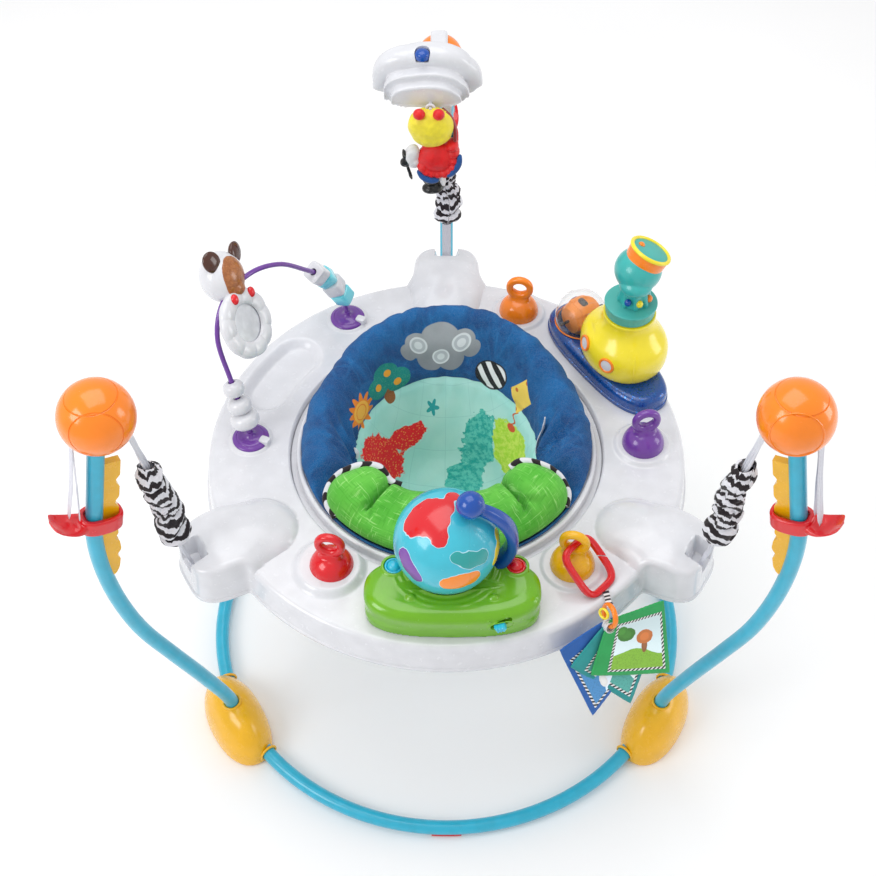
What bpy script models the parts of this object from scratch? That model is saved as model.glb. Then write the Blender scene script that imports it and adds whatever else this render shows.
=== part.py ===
"""Baby activity center: a floor ring of three steel tubes, three curved posts, and a toy tray with a
turning fabric seat that hangs on three sprung straps.

Metres, +Z up. The parts are laid out around the ring's own vertical axis, +X to the right and -Y
towards the front, then moved along Y so that the origin is under the middle of the whole object.
"""

import math

import bmesh
import bpy
from mathutils import Matrix, Vector

GAP = 0.0003  # between faces that touch
CLEAR = 0.0008  # round a piece that slides or turns

TRAY_Z = 0.478  # flat top of the tray

# Frame
TUBE_R = 0.0111
TUBE_WALL = 0.0014
TUBE_SIDES = 10
RING_R = 0.383  # floor ring's centreline
RING_LIFT = 0.0155  # its height above the floor
RING_STEPS = 8  # straight pieces in each ring tube, without its ends
POST_AZIMUTHS = (210, 330, 90)
FOOT_R = RING_R + 0.013  # where a post stands
FOOT_HALF = (0.043, 0.080)  # across and along the ring
FOOT_H = 0.078
FOOT_GRIP = 0.042  # how far a ring tube reaches into a foot
POST_FOOT_Z = 0.034
POST_CURVE = (  # distance from the axis, height
    (FOOT_R, POST_FOOT_Z),
    (FOOT_R + 0.0020, 0.090),
    (FOOT_R + 0.0340, 0.185),
    (FOOT_R + 0.0705, 0.282),
    (FOOT_R + 0.1025, 0.372),
    (FOOT_R + 0.1215, 0.460),
    (FOOT_R + 0.1295, 0.545),
    (FOOT_R + 0.1265, 0.618),
)
POST_TOP = (FOOT_R + 0.088, 0.800)  # the straight run ends here, inside the ball
BALL_R = 0.0475
BALL_AT = (FOOT_R + 0.0838, POST_TOP[1] + 0.0202)
BALL_WALL = 0.003
RACK_Z = (0.524, 0.742)
RACK_DEPTH = 0.0195
RACK_THICK = 0.010
RACK_TEETH = 6
ADJUSTER_Z = 0.641
ADJUSTER_H = 0.024
WING_REACH = 0.058
WING_RISE = 0.019  # of its tip, along the post
WING_TIP = 0.003  # half its thickness there
STRAP_THICK = 0.0022
FEED_STRAP_TOP = (BALL_AT[0] + 0.0367, BALL_AT[1] - 0.0202)
FEED_STRAP_FOOT = (FOOT_R + 0.1475, ADJUSTER_Z + 0.027)
LIFT_STRAP_HALF = 0.010
LIFT_TOP = (BALL_AT[0] - 0.0268, BALL_AT[1] - 0.0202)
SPRING_TOP = (LIFT_TOP[0] - 0.0155, LIFT_TOP[1] - 0.094)
LIFT_FOOT = (0.4060, TRAY_Z - 0.018)  # in the mouth of a tray arm
SPRING_FOOT = (LIFT_FOOT[0] + 0.007, LIFT_FOOT[1] + 0.040)
SPRING_R = 0.009
SLEEVE_R = (0.0135, 0.0195)  # in a pinch and on a fold
SLEEVE_FOLDS = 5
PAD_Z = RING_LIFT - TUBE_R * math.cos(math.pi / TUBE_SIDES)

# Tray and seat
TRAY_R = 0.350
TRAY_FLAT_R = 0.334
TRAY_WALL = 0.003
SKIRT_Z = TRAY_Z - 0.048
ARM_HALF = 0.054  # half the width of an arm
ARM_END = 0.416
ARM_ROOT = 0.250
ARM_RISE = 0.027
SEAT_BORE = 0.2165
LEDGE_R = 0.2305
LEDGE_DROP = 0.014
COLLAR_Z = TRAY_Z - 0.038
MOUTH = (0.3925, 0.0150, TRAY_Z - 0.010)  # strap mouth in an arm: inner edge, half width, floor
BAR_R = 0.0035
DISH_AZIMUTHS = (146.0, 158.5)  # snack dish between the feet of the bead arch
DISH_R = 0.293  # its middle line
DISH_HALF = 0.040
DISH_DROP = 0.011
SEAT_CLEAR = 0.0012
SEAT_SIDES = 36  # both the ring and the pouch
SEAT_RING_INNER = 0.2085
SEAT_RING_TOP = 0.0045  # above the tray's top
SEAT_LIP_R = 0.2203  # a groove runs round outside it
SEAT_FLANGE = 0.004
RIM_R = 0.2125  # outer edge of the fabric collar
COLLAR_BACK = 0.096  # crown of the collar above the ring, at the back
COLLAR_SIDE = 0.034
POUCH_WALL = 0.004
POUCH_FLOOR = TRAY_Z - 0.176
LEG_HOLE_AZIMUTHS = (236, 304)
ROLL_R = 0.1535
ROLL_HALF = (0.0540, 0.0215)
ROLL_AZIMUTHS = (210, 330)

# Globe toy
GLOBE_R = 0.0705
GLOBE_AT = (0.0, -0.243, TRAY_Z + 0.097)
GLOBE_AXIS = (0.333, -0.075, 0.940)
GLOBE_BORE_R = 0.0042
GLOBE_WALL = 0.003
ARM_ORBIT = 0.0835
ARM_SECTION = (0.0080, 0.0120)
BASE_AT = (0.008, -0.287)
BASE_HALF = (0.119, 0.0465)
BASE_TOP = TRAY_Z + 0.048
BASE_OVERHANG = 0.0155
BUTTON_R = 0.0130
BUTTON_AT = ((-0.0705, -0.2490), (0.0935, -0.2490))
BUTTON_TRAVEL = 0.003
SWITCH_AT = (0.072, -0.3300, TRAY_Z + 0.0200)

# Small tray toys
KNOB_R = 0.031
KNOB_H = 0.030
LOOP_R = 0.0150
LOOP_TUBE = 0.0057
LOOP_Z = 0.053  # loop's centre above the tray
KNOBS = (  # name, place, direction that its hole looks, colour
    ("loop_knob_red", (-0.1610, -0.2190), 80, "red"),
    ("loop_knob_gold", (0.173, -0.215), 74, "gold"),
    ("loop_knob_orange", (0.115, 0.277), 80, "orange"),
    ("loop_knob_purple", (0.289, 0.002), 100, "purple"),
)
LINK_TUBE = 0.0038
LINK_HALF = (0.033, 0.025)  # along its fall and across
LINK_FALL = 40  # degrees below level
LINK_LOOKS = 46.6  # direction of the strand in the loop
LINK_Z = 0.049  # that strand above the tray
CARD_RING_AT = (0.2180, -0.3020, TRAY_Z + 0.0090)
CARD_RING_R = 0.0150
CARD_RING_TUBE = 0.0032
CARD_HOLE_R = 0.0062
CARD_INSET = 0.009  # from a card's corner to its hole
CARD_FAN = (0, -28, -52)  # degrees, front card first
CARD_SIDE = 0.0985
CARD_THICK = 0.0030
CARD_STEP = 0.0042  # from one card to the next
CARD_ACROSS = (0.914, 0.361, -0.186)
CARD_DOWN = (-0.022, -0.412, -0.911)

# Bead arch and mirror
WIRE_R = 0.0038
ICE_BORE_R = (WIRE_R + 0.0026, WIRE_R + 0.0016)
ARCH_FEET = ((-0.289, 0.013), (-0.157, 0.263))
ARCH_FOOT_R = 0.0270
ARCH_ROUTE = (
    (-0.2900, 0.0140, TRAY_Z + 0.0160),
    (-0.2998, 0.0264, TRAY_Z + 0.0571),
    (-0.3105, 0.0399, TRAY_Z + 0.1019),
    (-0.3240, 0.0620, TRAY_Z + 0.1640),
    (-0.3130, 0.0950, TRAY_Z + 0.2060),
    (-0.2790, 0.1370, TRAY_Z + 0.2180),
    (-0.2440, 0.1850, TRAY_Z + 0.1910),
    (-0.2130, 0.2270, TRAY_Z + 0.1410),
    (-0.1900, 0.2600, TRAY_Z + 0.0950),
    (-0.1670, 0.2720, TRAY_Z + 0.0500),
    (-0.1570, 0.2640, TRAY_Z + 0.0160),
)
MIRROR_AT = (-0.2840, 0.0820, TRAY_Z + 0.1740)
MIRROR_FACING = (0.682, -0.471, 0.559)
MIRROR_UP = (-0.281, 0.538, 0.796)
MIRROR_R = 0.0360
MIRROR_RING_R = 0.0505
MIRROR_RING_THICK = 0.0130

# Submarine toy
SUB_AZIMUTH = 33
SUB_BASE_AT = (0.301, 0.015)  # out from the axis, and along the tray's edge
SUB_BASE_HALF = (0.0520, 0.1200)
SUB_BASE_H = 0.027
SUB_TOWER = (0.308, -0.012)
SUB_BODY_HALF = (0.0585, 0.0680)
SUB_BODY_H = 0.086
TURRET_R = 0.042
TURRET_H = 0.033
ROLLER_AT = (0.302, 0.079)
DOME_R = 0.0425
DOME_WALL = 0.0022
AXLE_R = 0.0025
ROLLER_R = 0.0300
HEAD_R = 0.0375

# Cloud on the back post
CLOUD_X = -0.028
CLOUD_HALF = 0.084
CLOUD_Z = (BALL_AT[1] - 0.0262, BALL_AT[1] + 0.0458)
CLOUD_Y = (BALL_AT[0] - 0.0838, BALL_AT[0] - 0.0438)
CLOUD_BUTTON_R = 0.0110
TOY_X = -0.024
TOY_Y = CLOUD_Y[0] - 0.0030
TOY_PIVOT_Z = CLOUD_Z[0] - 0.0040

COLOURS = {
    "cyan": ((0.02, 0.45, 0.66), 0.30),
    "gold": ((0.83, 0.48, 0.01), 0.32),
    "orange": ((0.93, 0.25, 0.01), 0.28),
    "red": ((0.75, 0.01, 0.02), 0.28),
    "white": ((0.82, 0.83, 0.86), 0.30),
    "blue_cloth": ((0.01, 0.10, 0.38), 0.90),
    "green_cloth": ((0.13, 0.55, 0.09), 0.90),
    "zebra": ((0.45, 0.45, 0.45), 0.90),
    "webbing": ((0.80, 0.80, 0.82), 0.80),
    "green": ((0.16, 0.48, 0.01), 0.28),
    "blue": ((0.01, 0.08, 0.45), 0.28),
    "sea": ((0.02, 0.55, 0.72), 0.30),
    "teal": ((0.03, 0.42, 0.40), 0.32),
    "yellow": ((0.90, 0.78, 0.03), 0.30),
    "purple": ((0.14, 0.03, 0.30), 0.32),
    "ice": ((0.16, 0.74, 0.82), 0.30),
    "mirror": ((0.80, 0.82, 0.84), 0.08),
    "card_green": ((0.05, 0.40, 0.16), 0.90),
    "card_teal": ((0.02, 0.38, 0.36), 0.90),
    "card_blue": ((0.02, 0.20, 0.50), 0.90),
}


def clear_scene():
    for old in list(bpy.data.objects):
        bpy.data.objects.remove(old, do_unlink=True)


def colour(name):
    """The named material, made on its first use."""
    found = bpy.data.materials.get(name)
    if found:
        return found
    tint, roughness = COLOURS[name]
    made = bpy.data.materials.new(name)
    made.use_nodes = True
    shader = made.node_tree.nodes["Principled BSDF"]
    shader.inputs["Base Color"].default_value = (*tint, 1.0)
    shader.inputs["Roughness"].default_value = roughness
    shader.inputs["Metallic"].default_value = 1.0 if name == "mirror" else 0.0
    return made


def empty(name, parent=None, place=(0, 0, 0), turn=0.0):
    made = bpy.data.objects.new(name, None)
    made.location = place
    made.rotation_euler = (0, 0, math.radians(turn))
    made.parent = parent
    bpy.context.scene.collection.objects.link(made)
    return made


def add(name, bm, tint, parent, origin=(0, 0, 0)):
    """A part from a bmesh drawn in its parent's frame, with its own origin where it is told."""
    bmesh.ops.translate(bm, verts=bm.verts, vec=-Vector(origin))
    mesh = bpy.data.meshes.new(name)
    bm.to_mesh(mesh)
    bm.free()
    mesh.materials.append(colour(tint))
    mesh.shade_smooth()
    mesh.set_sharp_from_angle(angle=math.radians(38))
    made = bpy.data.objects.new(name, mesh)
    made.location = origin
    made.parent = parent
    bpy.context.scene.collection.objects.link(made)
    return made


def cutter(name, bm, parent):
    made = add(name, bm, "white", parent)
    made.hide_render = True
    made.display_type = "WIRE"
    return made


def boolean(part, operation, other):
    modifier = part.modifiers.new(operation.lower() + "_" + other.name, "BOOLEAN")
    modifier.operation = operation
    modifier.object = other
    return part


def skin(rings, wrap=False):
    """A closed surface over rings of points. A ring of one point is a pole. Open ends are capped."""
    bm = bmesh.new()
    rows = [[bm.verts.new(point) for point in ring] for ring in rings]
    pairs = list(zip(rows, rows[1:]))
    if wrap:
        pairs.append((rows[-1], rows[0]))
    for lower, upper in pairs:
        count = max(len(lower), len(upper))
        for k in range(count):
            corners = [
                lower[k % len(lower)],
                lower[(k + 1) % len(lower)],
                upper[(k + 1) % len(upper)],
                upper[k % len(upper)],
            ]
            bm.faces.new(list(dict.fromkeys(corners)))
    if not wrap:
        for row in (rows[0], rows[-1]):
            if len(row) > 2:
                bm.faces.new(row)
    bmesh.ops.recalc_face_normals(bm, faces=bm.faces)
    return bm


def joined(*parts):
    """Several closed surfaces in one bmesh, for a cutter."""
    whole = bmesh.new()
    for part in parts:
        mesh = bpy.data.meshes.new("part")
        part.to_mesh(mesh)
        part.free()
        whole.from_mesh(mesh)
        bpy.data.meshes.remove(mesh)
    return whole


def ring_at(centre, across, up, half, count, power=2.0):
    """Points of a superellipse with these half widths along two directions."""
    points = []
    for k in range(count):
        angle = 2 * math.pi * k / count
        c, s = math.cos(angle), math.sin(angle)
        x = math.copysign(abs(c) ** (2 / power), c) * half[0]
        y = math.copysign(abs(s) ** (2 / power), s) * half[1]
        points.append(Vector(centre) + x * Vector(across) + y * Vector(up))
    return points


def flat_ring(x, y, z, half, count, power=2.0):
    return ring_at((x, y, z), (1, 0, 0), (0, 1, 0), half, count, power)


def turned(profile, sides, wrap=False):
    """A profile of (radius, height) spun about Z. wrap closes it round a bore."""
    rings = []
    for radius, z in profile:
        rings.append([Vector((0, 0, z))] if radius == 0 else flat_ring(0, 0, z, (radius, radius), sides))
    return skin(rings, wrap)


def box(low, high):
    bm = bmesh.new()
    bmesh.ops.create_cube(bm, size=1.0)
    centre = (Vector(low) + Vector(high)) / 2
    size = Vector(high) - Vector(low)
    bmesh.ops.transform(bm, verts=bm.verts, matrix=Matrix.Translation(centre) @ Matrix.Diagonal((*size, 1)))
    return bm


def ball(centre, radii, sides, rows):
    bm = bmesh.new()
    bmesh.ops.create_uvsphere(bm, u_segments=sides, v_segments=rows, radius=1.0)
    place = Matrix.Translation(Vector(centre)) @ Matrix.Diagonal((*radii, 1))
    bmesh.ops.transform(bm, verts=bm.verts, matrix=place)
    return bm


def moved(bm, matrix):
    bmesh.ops.transform(bm, verts=bm.verts, matrix=matrix)
    return bm


def facing(direction, place=(0, 0, 0)):
    """Takes +Z to this direction, then moves to this place."""
    turn = Vector(direction).to_track_quat("Z", "Y").to_matrix().to_4x4()
    return Matrix.Translation(Vector(place)) @ turn


def frame_of(x_axis, y_axis, place):
    """Axes with X and Y as given (Y squared up to X) and Z across both."""
    x = Vector(x_axis).normalized()
    z = x.cross(Vector(y_axis)).normalized()
    turn = Matrix((x, z.cross(x), z)).transposed().to_4x4()
    return Matrix.Translation(Vector(place)) @ turn


def smooth_path(points, steps, beyond=None):
    """A curve through the points. beyond is a point that its end looks to."""
    points = [Vector(point) for point in points]
    last = Vector(beyond) if beyond else 2 * points[-1] - points[-2]
    known = [2 * points[0] - points[1], *points, last]
    path = []
    for a, b, c, d in zip(known, known[1:], known[2:], known[3:]):
        for k in range(steps):
            t = k / steps
            path.append(
                0.5 * ((2 * b) + (c - a) * t + (2 * a - 5 * b + 4 * c - d) * t**2 + (3 * b - a - 3 * c + d) * t**3)
            )
    return [*path, points[-1]]


def directions(path):
    ahead = [path[1] - path[0]] + [b - a for a, b in zip(path, path[2:])] + [path[-1] - path[-2]]
    return [step.normalized() for step in ahead]


def tube(path, radius, sides, bore=0.0, side=(0, 1, 0)):
    """A tube along a path. side is any direction that the path never runs along."""
    outer, inner = [], []
    for point, ahead in zip(path, directions(path)):
        across = ahead.cross(Vector(side)).normalized()
        up = ahead.cross(across)
        outer.append(ring_at(point, across, up, (radius, radius), sides))
        inner.append(ring_at(point, across, up, (bore, bore), sides))
    if bore:
        return skin(outer + inner[::-1], wrap=True)
    return skin(outer)


def smoothstep(low, high, value):
    t = min(1.0, max(0.0, (value - low) / (high - low)))
    return t * t * (3 - 2 * t)


def around(azimuth, radius, z=0.0):
    angle = math.radians(azimuth)
    return Vector((radius * math.cos(angle), radius * math.sin(angle), z))


# Frame

STRAIGHT = Vector((POST_TOP[0] - POST_CURVE[-1][0], 0, POST_TOP[1] - POST_CURVE[-1][1])).normalized()


def post_path(steps=1):
    reach = (Vector(POST_CURVE[-1]) - Vector(POST_CURVE[-2])).length
    bend = [(r, 0, z) for r, z in POST_CURVE]
    path = smooth_path(bend, steps, beyond=Vector(bend[-1]) + reach * STRAIGHT)
    return [*path, Vector((POST_TOP[0], 0, POST_TOP[1]))]


def post_at(z):
    """The post's centreline at a height: its distance from the axis and its lean."""
    path = post_path()
    for a, b in zip(path, path[1:]):
        if a.z <= z <= b.z:
            return a.x + (b.x - a.x) * (z - a.z) / (b.z - a.z), (b.x - a.x) / (b.z - a.z)
    return POST_TOP[0], STRAIGHT.x / STRAIGHT.z


def foot_reach():
    """Half the angle that a foot covers, and the angle where a ring tube ends inside it."""
    covered = math.degrees(FOOT_HALF[1] / RING_R)
    return covered, covered - math.degrees(FOOT_GRIP / RING_R)


def ring_path(index):
    """A ring tube's centreline, from inside one foot to inside the next."""
    covered, inside = foot_reach()
    middle = [covered + 1 + (118 - 2 * covered) * k / RING_STEPS for k in range(RING_STEPS + 1)]
    azimuths = [inside, *middle, 120 - inside]
    return [around(POST_AZIMUTHS[index] + azimuth, RING_R, RING_LIFT) for azimuth in azimuths]


def make_base_tube(index, parent):
    name = f"base_tube_{index + 1}"
    add(name, tube(ring_path(index), TUBE_R, TUBE_SIDES, TUBE_R - TUBE_WALL, (0, 0, 1)), "cyan", parent)


def socket_beyond(path):
    """The first spans of a tube's path, begun a gap before its end."""
    step = (path[1] - path[0]).normalized()
    return [path[0] - GAP * step, *path[1:3]]


def make_foot(index, parent, axis):
    levels = ((0, 1.0), (0.006, 1.03), (0.030, 0.98), (0.052, 0.82), (0.068, 0.58), (FOOT_H, 0.33))
    rings = []
    for z, share in levels:
        half = (FOOT_HALF[0] * share, FOOT_HALF[1] * share)
        rings.append(flat_ring(FOOT_R - 0.003, 0, z, half, 14, 2.2))
    foot = add(f"foot_{index + 1}", skin(rings), "gold", parent)
    sockets = []
    for path in (ring_path(index), ring_path((index - 1) % 3)[::-1]):
        sockets.append(tube(socket_beyond(path), TUBE_R + GAP, TUBE_SIDES, side=(0, 0, 1)))
    boolean(foot, "DIFFERENCE", cutter(f"foot_sockets_{index + 1}", joined(*sockets), axis))
    shaft = [post_path()[0] - Vector((0, 0, GAP)), *post_path()[1:3]]
    bore = cutter(f"foot_bore_{index + 1}", tube(shaft, TUBE_R + GAP, TUBE_SIDES), parent)
    boolean(foot, "DIFFERENCE", bore)
    pocket = [flat_ring(FOOT_R - 0.003, 0, z, (0.031, 0.034), 12, 2.6) for z in (-0.01, POST_FOOT_Z - 0.006)]
    boolean(foot, "DIFFERENCE", cutter(f"foot_pocket_{index + 1}", skin(pocket), parent))


def make_post(index, parent):
    add(f"post_{index + 1}", tube(post_path(), TUBE_R, TUBE_SIDES, TUBE_R - TUBE_WALL), "cyan", parent)


def make_ball(index, parent):
    """A hollow shell with a socket for the post and two slots for the webbing."""
    centre = Vector((BALL_AT[0], 0, BALL_AT[1]))
    shell = add(f"ball_{index + 1}", ball(centre, (BALL_R,) * 3, 14, 8), "orange", parent)
    inner = BALL_R - BALL_WALL
    hollow = cutter(f"ball_hollow_{index + 1}", ball(centre, (inner,) * 3, 10, 6), parent)
    top = Vector((POST_TOP[0], 0, POST_TOP[1]))
    low = top - (BALL_R - 0.0195) * STRAIGHT
    boss = cutter(f"ball_boss_{index + 1}", tube([low, top + 0.003 * STRAIGHT], TUBE_R + 0.003, 10), parent)
    bore = tube([low - 0.02 * STRAIGHT, top + GAP * STRAIGHT], TUBE_R + GAP, TUBE_SIDES)
    bore = cutter(f"ball_bore_{index + 1}", bore, parent)
    boolean(shell, "DIFFERENCE", hollow)
    boolean(shell, "UNION", boss)
    boolean(shell, "DIFFERENCE", bore)
    slots = []
    webs = ((FEED_STRAP_TOP, FEED_STRAP_FOOT, 0.0155), (LIFT_TOP, SPRING_TOP, LIFT_STRAP_HALF))
    for end, start, half in webs:
        reach = (half + 0.0008, STRAP_THICK / 2 + 0.0008)
        ends = (between(start, end, 0.5), between(start, end, 1.05))
        slots.append(skin([slot_section(point, reach) for point in ends]))
    boolean(shell, "DIFFERENCE", cutter(f"ball_slots_{index + 1}", joined(*slots), parent))


def make_rack(index, parent):
    """A toothed strip on the inner side of the post, which the adjuster clicks along."""
    per_tooth = 4
    steps = RACK_TEETH * per_tooth
    edge, back = [], []
    for k in range(steps + 1):
        z = RACK_Z[0] + (RACK_Z[1] - RACK_Z[0]) * k / steps
        r, lean = post_at(z)
        normal = Vector((1, 0, -lean)).normalized()
        on_tube = Vector((r, 0, z))
        tooth = 0.80 + 0.20 * math.cos(2 * math.pi * k / per_tooth + math.pi)
        taper = min(1.0, 0.45 + k / (1.2 * per_tooth), 0.7 + (steps - k) / (1.5 * per_tooth))
        edge.append(on_tube - normal * (TUBE_R + RACK_DEPTH * tooth * taper))
        if k % 2 == 0:
            back.append(on_tube - normal * (TUBE_R + GAP))
    outline = edge + back[::-1]
    across = Vector((0, RACK_THICK / 2, 0))
    rings = [[point - across for point in outline], [point + across for point in outline]]
    add(f"rack_{index + 1}", skin(rings), "gold", parent)


def make_adjuster(index, parent):
    """A collar round the post and its rack, with a thumb wing outside that holds the webbing."""
    hole = TUBE_R + CLEAR
    slot = (TUBE_R + RACK_DEPTH + CLEAR, RACK_THICK / 2 + CLEAR)
    neck = -math.sqrt(hole**2 - slot[1] ** 2)
    inner = [(neck, slot[1]), (-slot[0], slot[1]), (-slot[0], -slot[1]), (neck, -slot[1])]
    outer = [(-0.024, 0.0175), (-slot[0] - 0.005, 0.0120), (-slot[0] - 0.005, -0.0120), (-0.024, -0.0175)]
    for angle in (-120, -85, -50, -17, 17, 50, 85, 120):
        c, s = math.cos(math.radians(angle)), math.sin(math.radians(angle))
        inner.append((hole * c / math.cos(math.radians(18)), hole * s / math.cos(math.radians(18))))
        outer.append((0.0190 * c, 0.0190 * s))
    half = ADJUSTER_H / 2
    rings = [
        [Vector((x, y, -half)) for x, y in inner],
        [Vector((x, y, -half)) for x, y in outer],
        [Vector((x, y, half)) for x, y in outer],
        [Vector((x, y, half)) for x, y in inner],
    ]
    place = frame_of(Vector((STRAIGHT.z, 0, -STRAIGHT.x)), (0, 1, 0), (post_at(ADJUSTER_Z)[0], 0, ADJUSTER_Z))
    collar = add(f"adjuster_{index + 1}", moved(skin(rings, wrap=True), place), "red", parent, place.translation)
    sections = (
        (0.0155, 0.0, 0.0100, 0.0140), (0.030, 0.002, 0.0055, 0.0185),
        (0.045, 0.009, 0.0045, 0.0170), (WING_REACH, WING_RISE, WING_TIP, 0.0090),
    )
    wing = [ring_at((x, 0, z), (0, 1, 0), (0, 0, 1), (wide, tall), 8, 3) for x, z, tall, wide in sections]
    boolean(collar, "UNION", cutter(f"adjuster_wing_{index + 1}", moved(skin(wing), place), parent))


def make_feed_strap(index, parent):
    """Two legs of webbing from the ball to the adjuster, joined where they pass under its wing."""
    top, foot = FEED_STRAP_TOP, FEED_STRAP_FOOT
    outline = (
        (-0.0155, 1), (-0.0060, 1), (-0.0060, 0.07), (0.0060, 0.07),
        (0.0060, 1), (0.0155, 1), (0.0155, 0), (-0.0155, 0),
    )
    rings = []
    for side in (-1, 1):
        ring = []
        for across, share in outline:
            z = foot[1] + (top[1] - foot[1]) * share
            r = foot[0] + (top[0] - foot[0]) * share
            ring.append(Vector((r + side * STRAP_THICK / 2, across, z)))
        rings.append(ring)
    add(f"feed_strap_{index + 1}", skin(rings), "webbing", parent)


def lift_section(at, half, power=2.0, count=8):
    """A level section of a post's webbing, its half width along the ring first."""
    return ring_at((at[0], 0, at[1]), (0, 1, 0), (1, 0, 0), half, count, power)


def slot_section(at, half):
    corners = ((1, 1), (-1, 1), (-1, -1), (1, -1))
    return [Vector((at[0] + half[1] * b, half[0] * a, at[1])) for a, b in corners]


def between(a, b, share):
    return (a[0] + (b[0] - a[0]) * share, a[1] + (b[1] - a[1]) * share)


def make_lift_spring(index, parent):
    """Webbing out of the ball, the spring, and the webbing that hooks over the tray's bar."""
    strap = (LIFT_STRAP_HALF, STRAP_THICK / 2)
    coil = (SPRING_R, SPRING_R)
    rings = [
        lift_section(LIFT_FOOT, strap, 4),
        lift_section(between(LIFT_FOOT, SPRING_FOOT, 0.75), strap, 4),
        lift_section(SPRING_FOOT, coil),
        lift_section(SPRING_TOP, coil),
        lift_section(between(SPRING_TOP, LIFT_TOP, 0.12), strap, 4),
        lift_section(LIFT_TOP, strap, 4),
    ]
    add(f"lift_spring_{index + 1}", skin(rings), "webbing", parent)


def make_sleeve(index, parent):
    """The gathered cloth tube round the spring, drawn in to the webbing at both ends."""
    pinch, fold = SLEEVE_R
    strap = (LIFT_STRAP_HALF + 0.0010, STRAP_THICK / 2 + 0.0010)
    inside = (SPRING_R + 0.0012, SPRING_R + 0.0012)
    steps = 2 * SLEEVE_FOLDS
    rings = [
        lift_section(between(LIFT_FOOT, SPRING_FOOT, 0.64), (0.0135, 0.0065), 3),
        lift_section(between(LIFT_FOOT, SPRING_FOOT, 0.74), (0.0130, 0.0130)),
    ]
    for k in range(steps + 1):
        radius = fold if k % 2 and k < steps else pinch
        rings.append(lift_section(between(SPRING_FOOT, SPRING_TOP, k / steps), (radius, radius)))
    rings += [
        lift_section(between(SPRING_TOP, LIFT_TOP, 0.13), (0.0130, 0.0130)),
        lift_section(between(SPRING_TOP, LIFT_TOP, 0.18), (0.0135, 0.0065), 3),
        lift_section(between(SPRING_TOP, LIFT_TOP, 0.18), strap, 4),
        lift_section(between(SPRING_TOP, LIFT_TOP, 0.12), inside),
        lift_section(SPRING_TOP, inside),
        lift_section(SPRING_FOOT, inside),
        lift_section(between(LIFT_FOOT, SPRING_FOOT, 0.75), inside),
        lift_section(between(LIFT_FOOT, SPRING_FOOT, 0.64), strap, 4),
    ]
    add(f"sleeve_{index + 1}", skin(rings, wrap=True), "zebra", parent)


def make_floor_pad(parent):
    """A soft pad under the front of the ring."""
    steps = 3
    rings = []
    for k in range(steps + 1):
        azimuth = 270 + (k / steps - 0.5) * 8
        centre = around(azimuth, RING_R, PAD_Z / 2 - GAP / 2)
        out = around(azimuth, 1.0)
        rings.append(ring_at(centre, out, (0, 0, 1), (0.0105, PAD_Z / 2 - GAP / 2), 8, 4))
    add("floor_pad", skin(rings), "red", parent)


def make_frame(axis):
    for index, azimuth in enumerate(POST_AZIMUTHS):
        side = empty(f"post_side_{index + 1}", axis, turn=azimuth)
        make_base_tube(index, axis)
        make_foot(index, side, axis)
        make_post(index, side)
        make_ball(index, side)
        make_rack(index, side)
        make_adjuster(index, side)
        make_feed_strap(index, side)
        make_lift_spring(index, side)
        make_sleeve(index, side)
    make_floor_pad(axis)


# Tray and seat

def tongue(offset):
    """How far an arm's outline reaches, this many degrees from its middle. 0 past its side."""
    angle = math.radians(offset)
    middle, power = 0.300, 4.5
    low, high = TRAY_R * 0.9, ARM_END * 1.1
    for _ in range(30):
        r = (low + high) / 2
        out = max(0.0, r * math.cos(angle) - middle) / (ARM_END - middle)
        side = abs(r * math.sin(angle)) / ARM_HALF
        if out**power + side**power < 1:
            low = r
        else:
            high = r
    return low


def arm_offset(azimuth):
    """Degrees from the nearest arm's middle."""
    return min(abs((azimuth - post + 180) % 360 - 180) for post in POST_AZIMUTHS)


def tray_edge(azimuth):
    return max(TRAY_R, tongue(arm_offset(azimuth)))


def tray_top(azimuth, r):
    """The height of the tray's upper face."""
    offset = math.radians(arm_offset(azimuth))
    out, side = r * math.cos(offset), abs(r * math.sin(offset))
    rise = ARM_RISE * smoothstep(ARM_ROOT - 0.006, ARM_ROOT + 0.034, out)
    rise *= 1 - smoothstep(0.50 * ARM_HALF, 0.98 * ARM_HALF, side)
    rise *= 1 - 0.55 * smoothstep(ARM_END - 0.034, ARM_END, out)
    edge = smoothstep(tray_edge(azimuth) - (TRAY_R - TRAY_FLAT_R), tray_edge(azimuth), r)
    beyond = max(0.0, DISH_AZIMUTHS[0] - azimuth % 360, azimuth % 360 - DISH_AZIMUTHS[1])
    dish = math.hypot(math.radians(beyond) * DISH_R, r - DISH_R)
    drop = DISH_DROP * (1 - smoothstep(DISH_HALF - 0.014, DISH_HALF, dish))
    return TRAY_Z + rise - 0.0065 * edge - drop


def tray_azimuths():
    half = (0, 3.2, 5.4, 7.0, 8.4, 10.2, 14, 19, 25, 31, 37, 43, 49, 54, 60)
    found = []
    for post in sorted(POST_AZIMUTHS):
        found += [post - offset for offset in half[:0:-1]]
        found += [post + offset for offset in half[:-1]]
    return found


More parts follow.
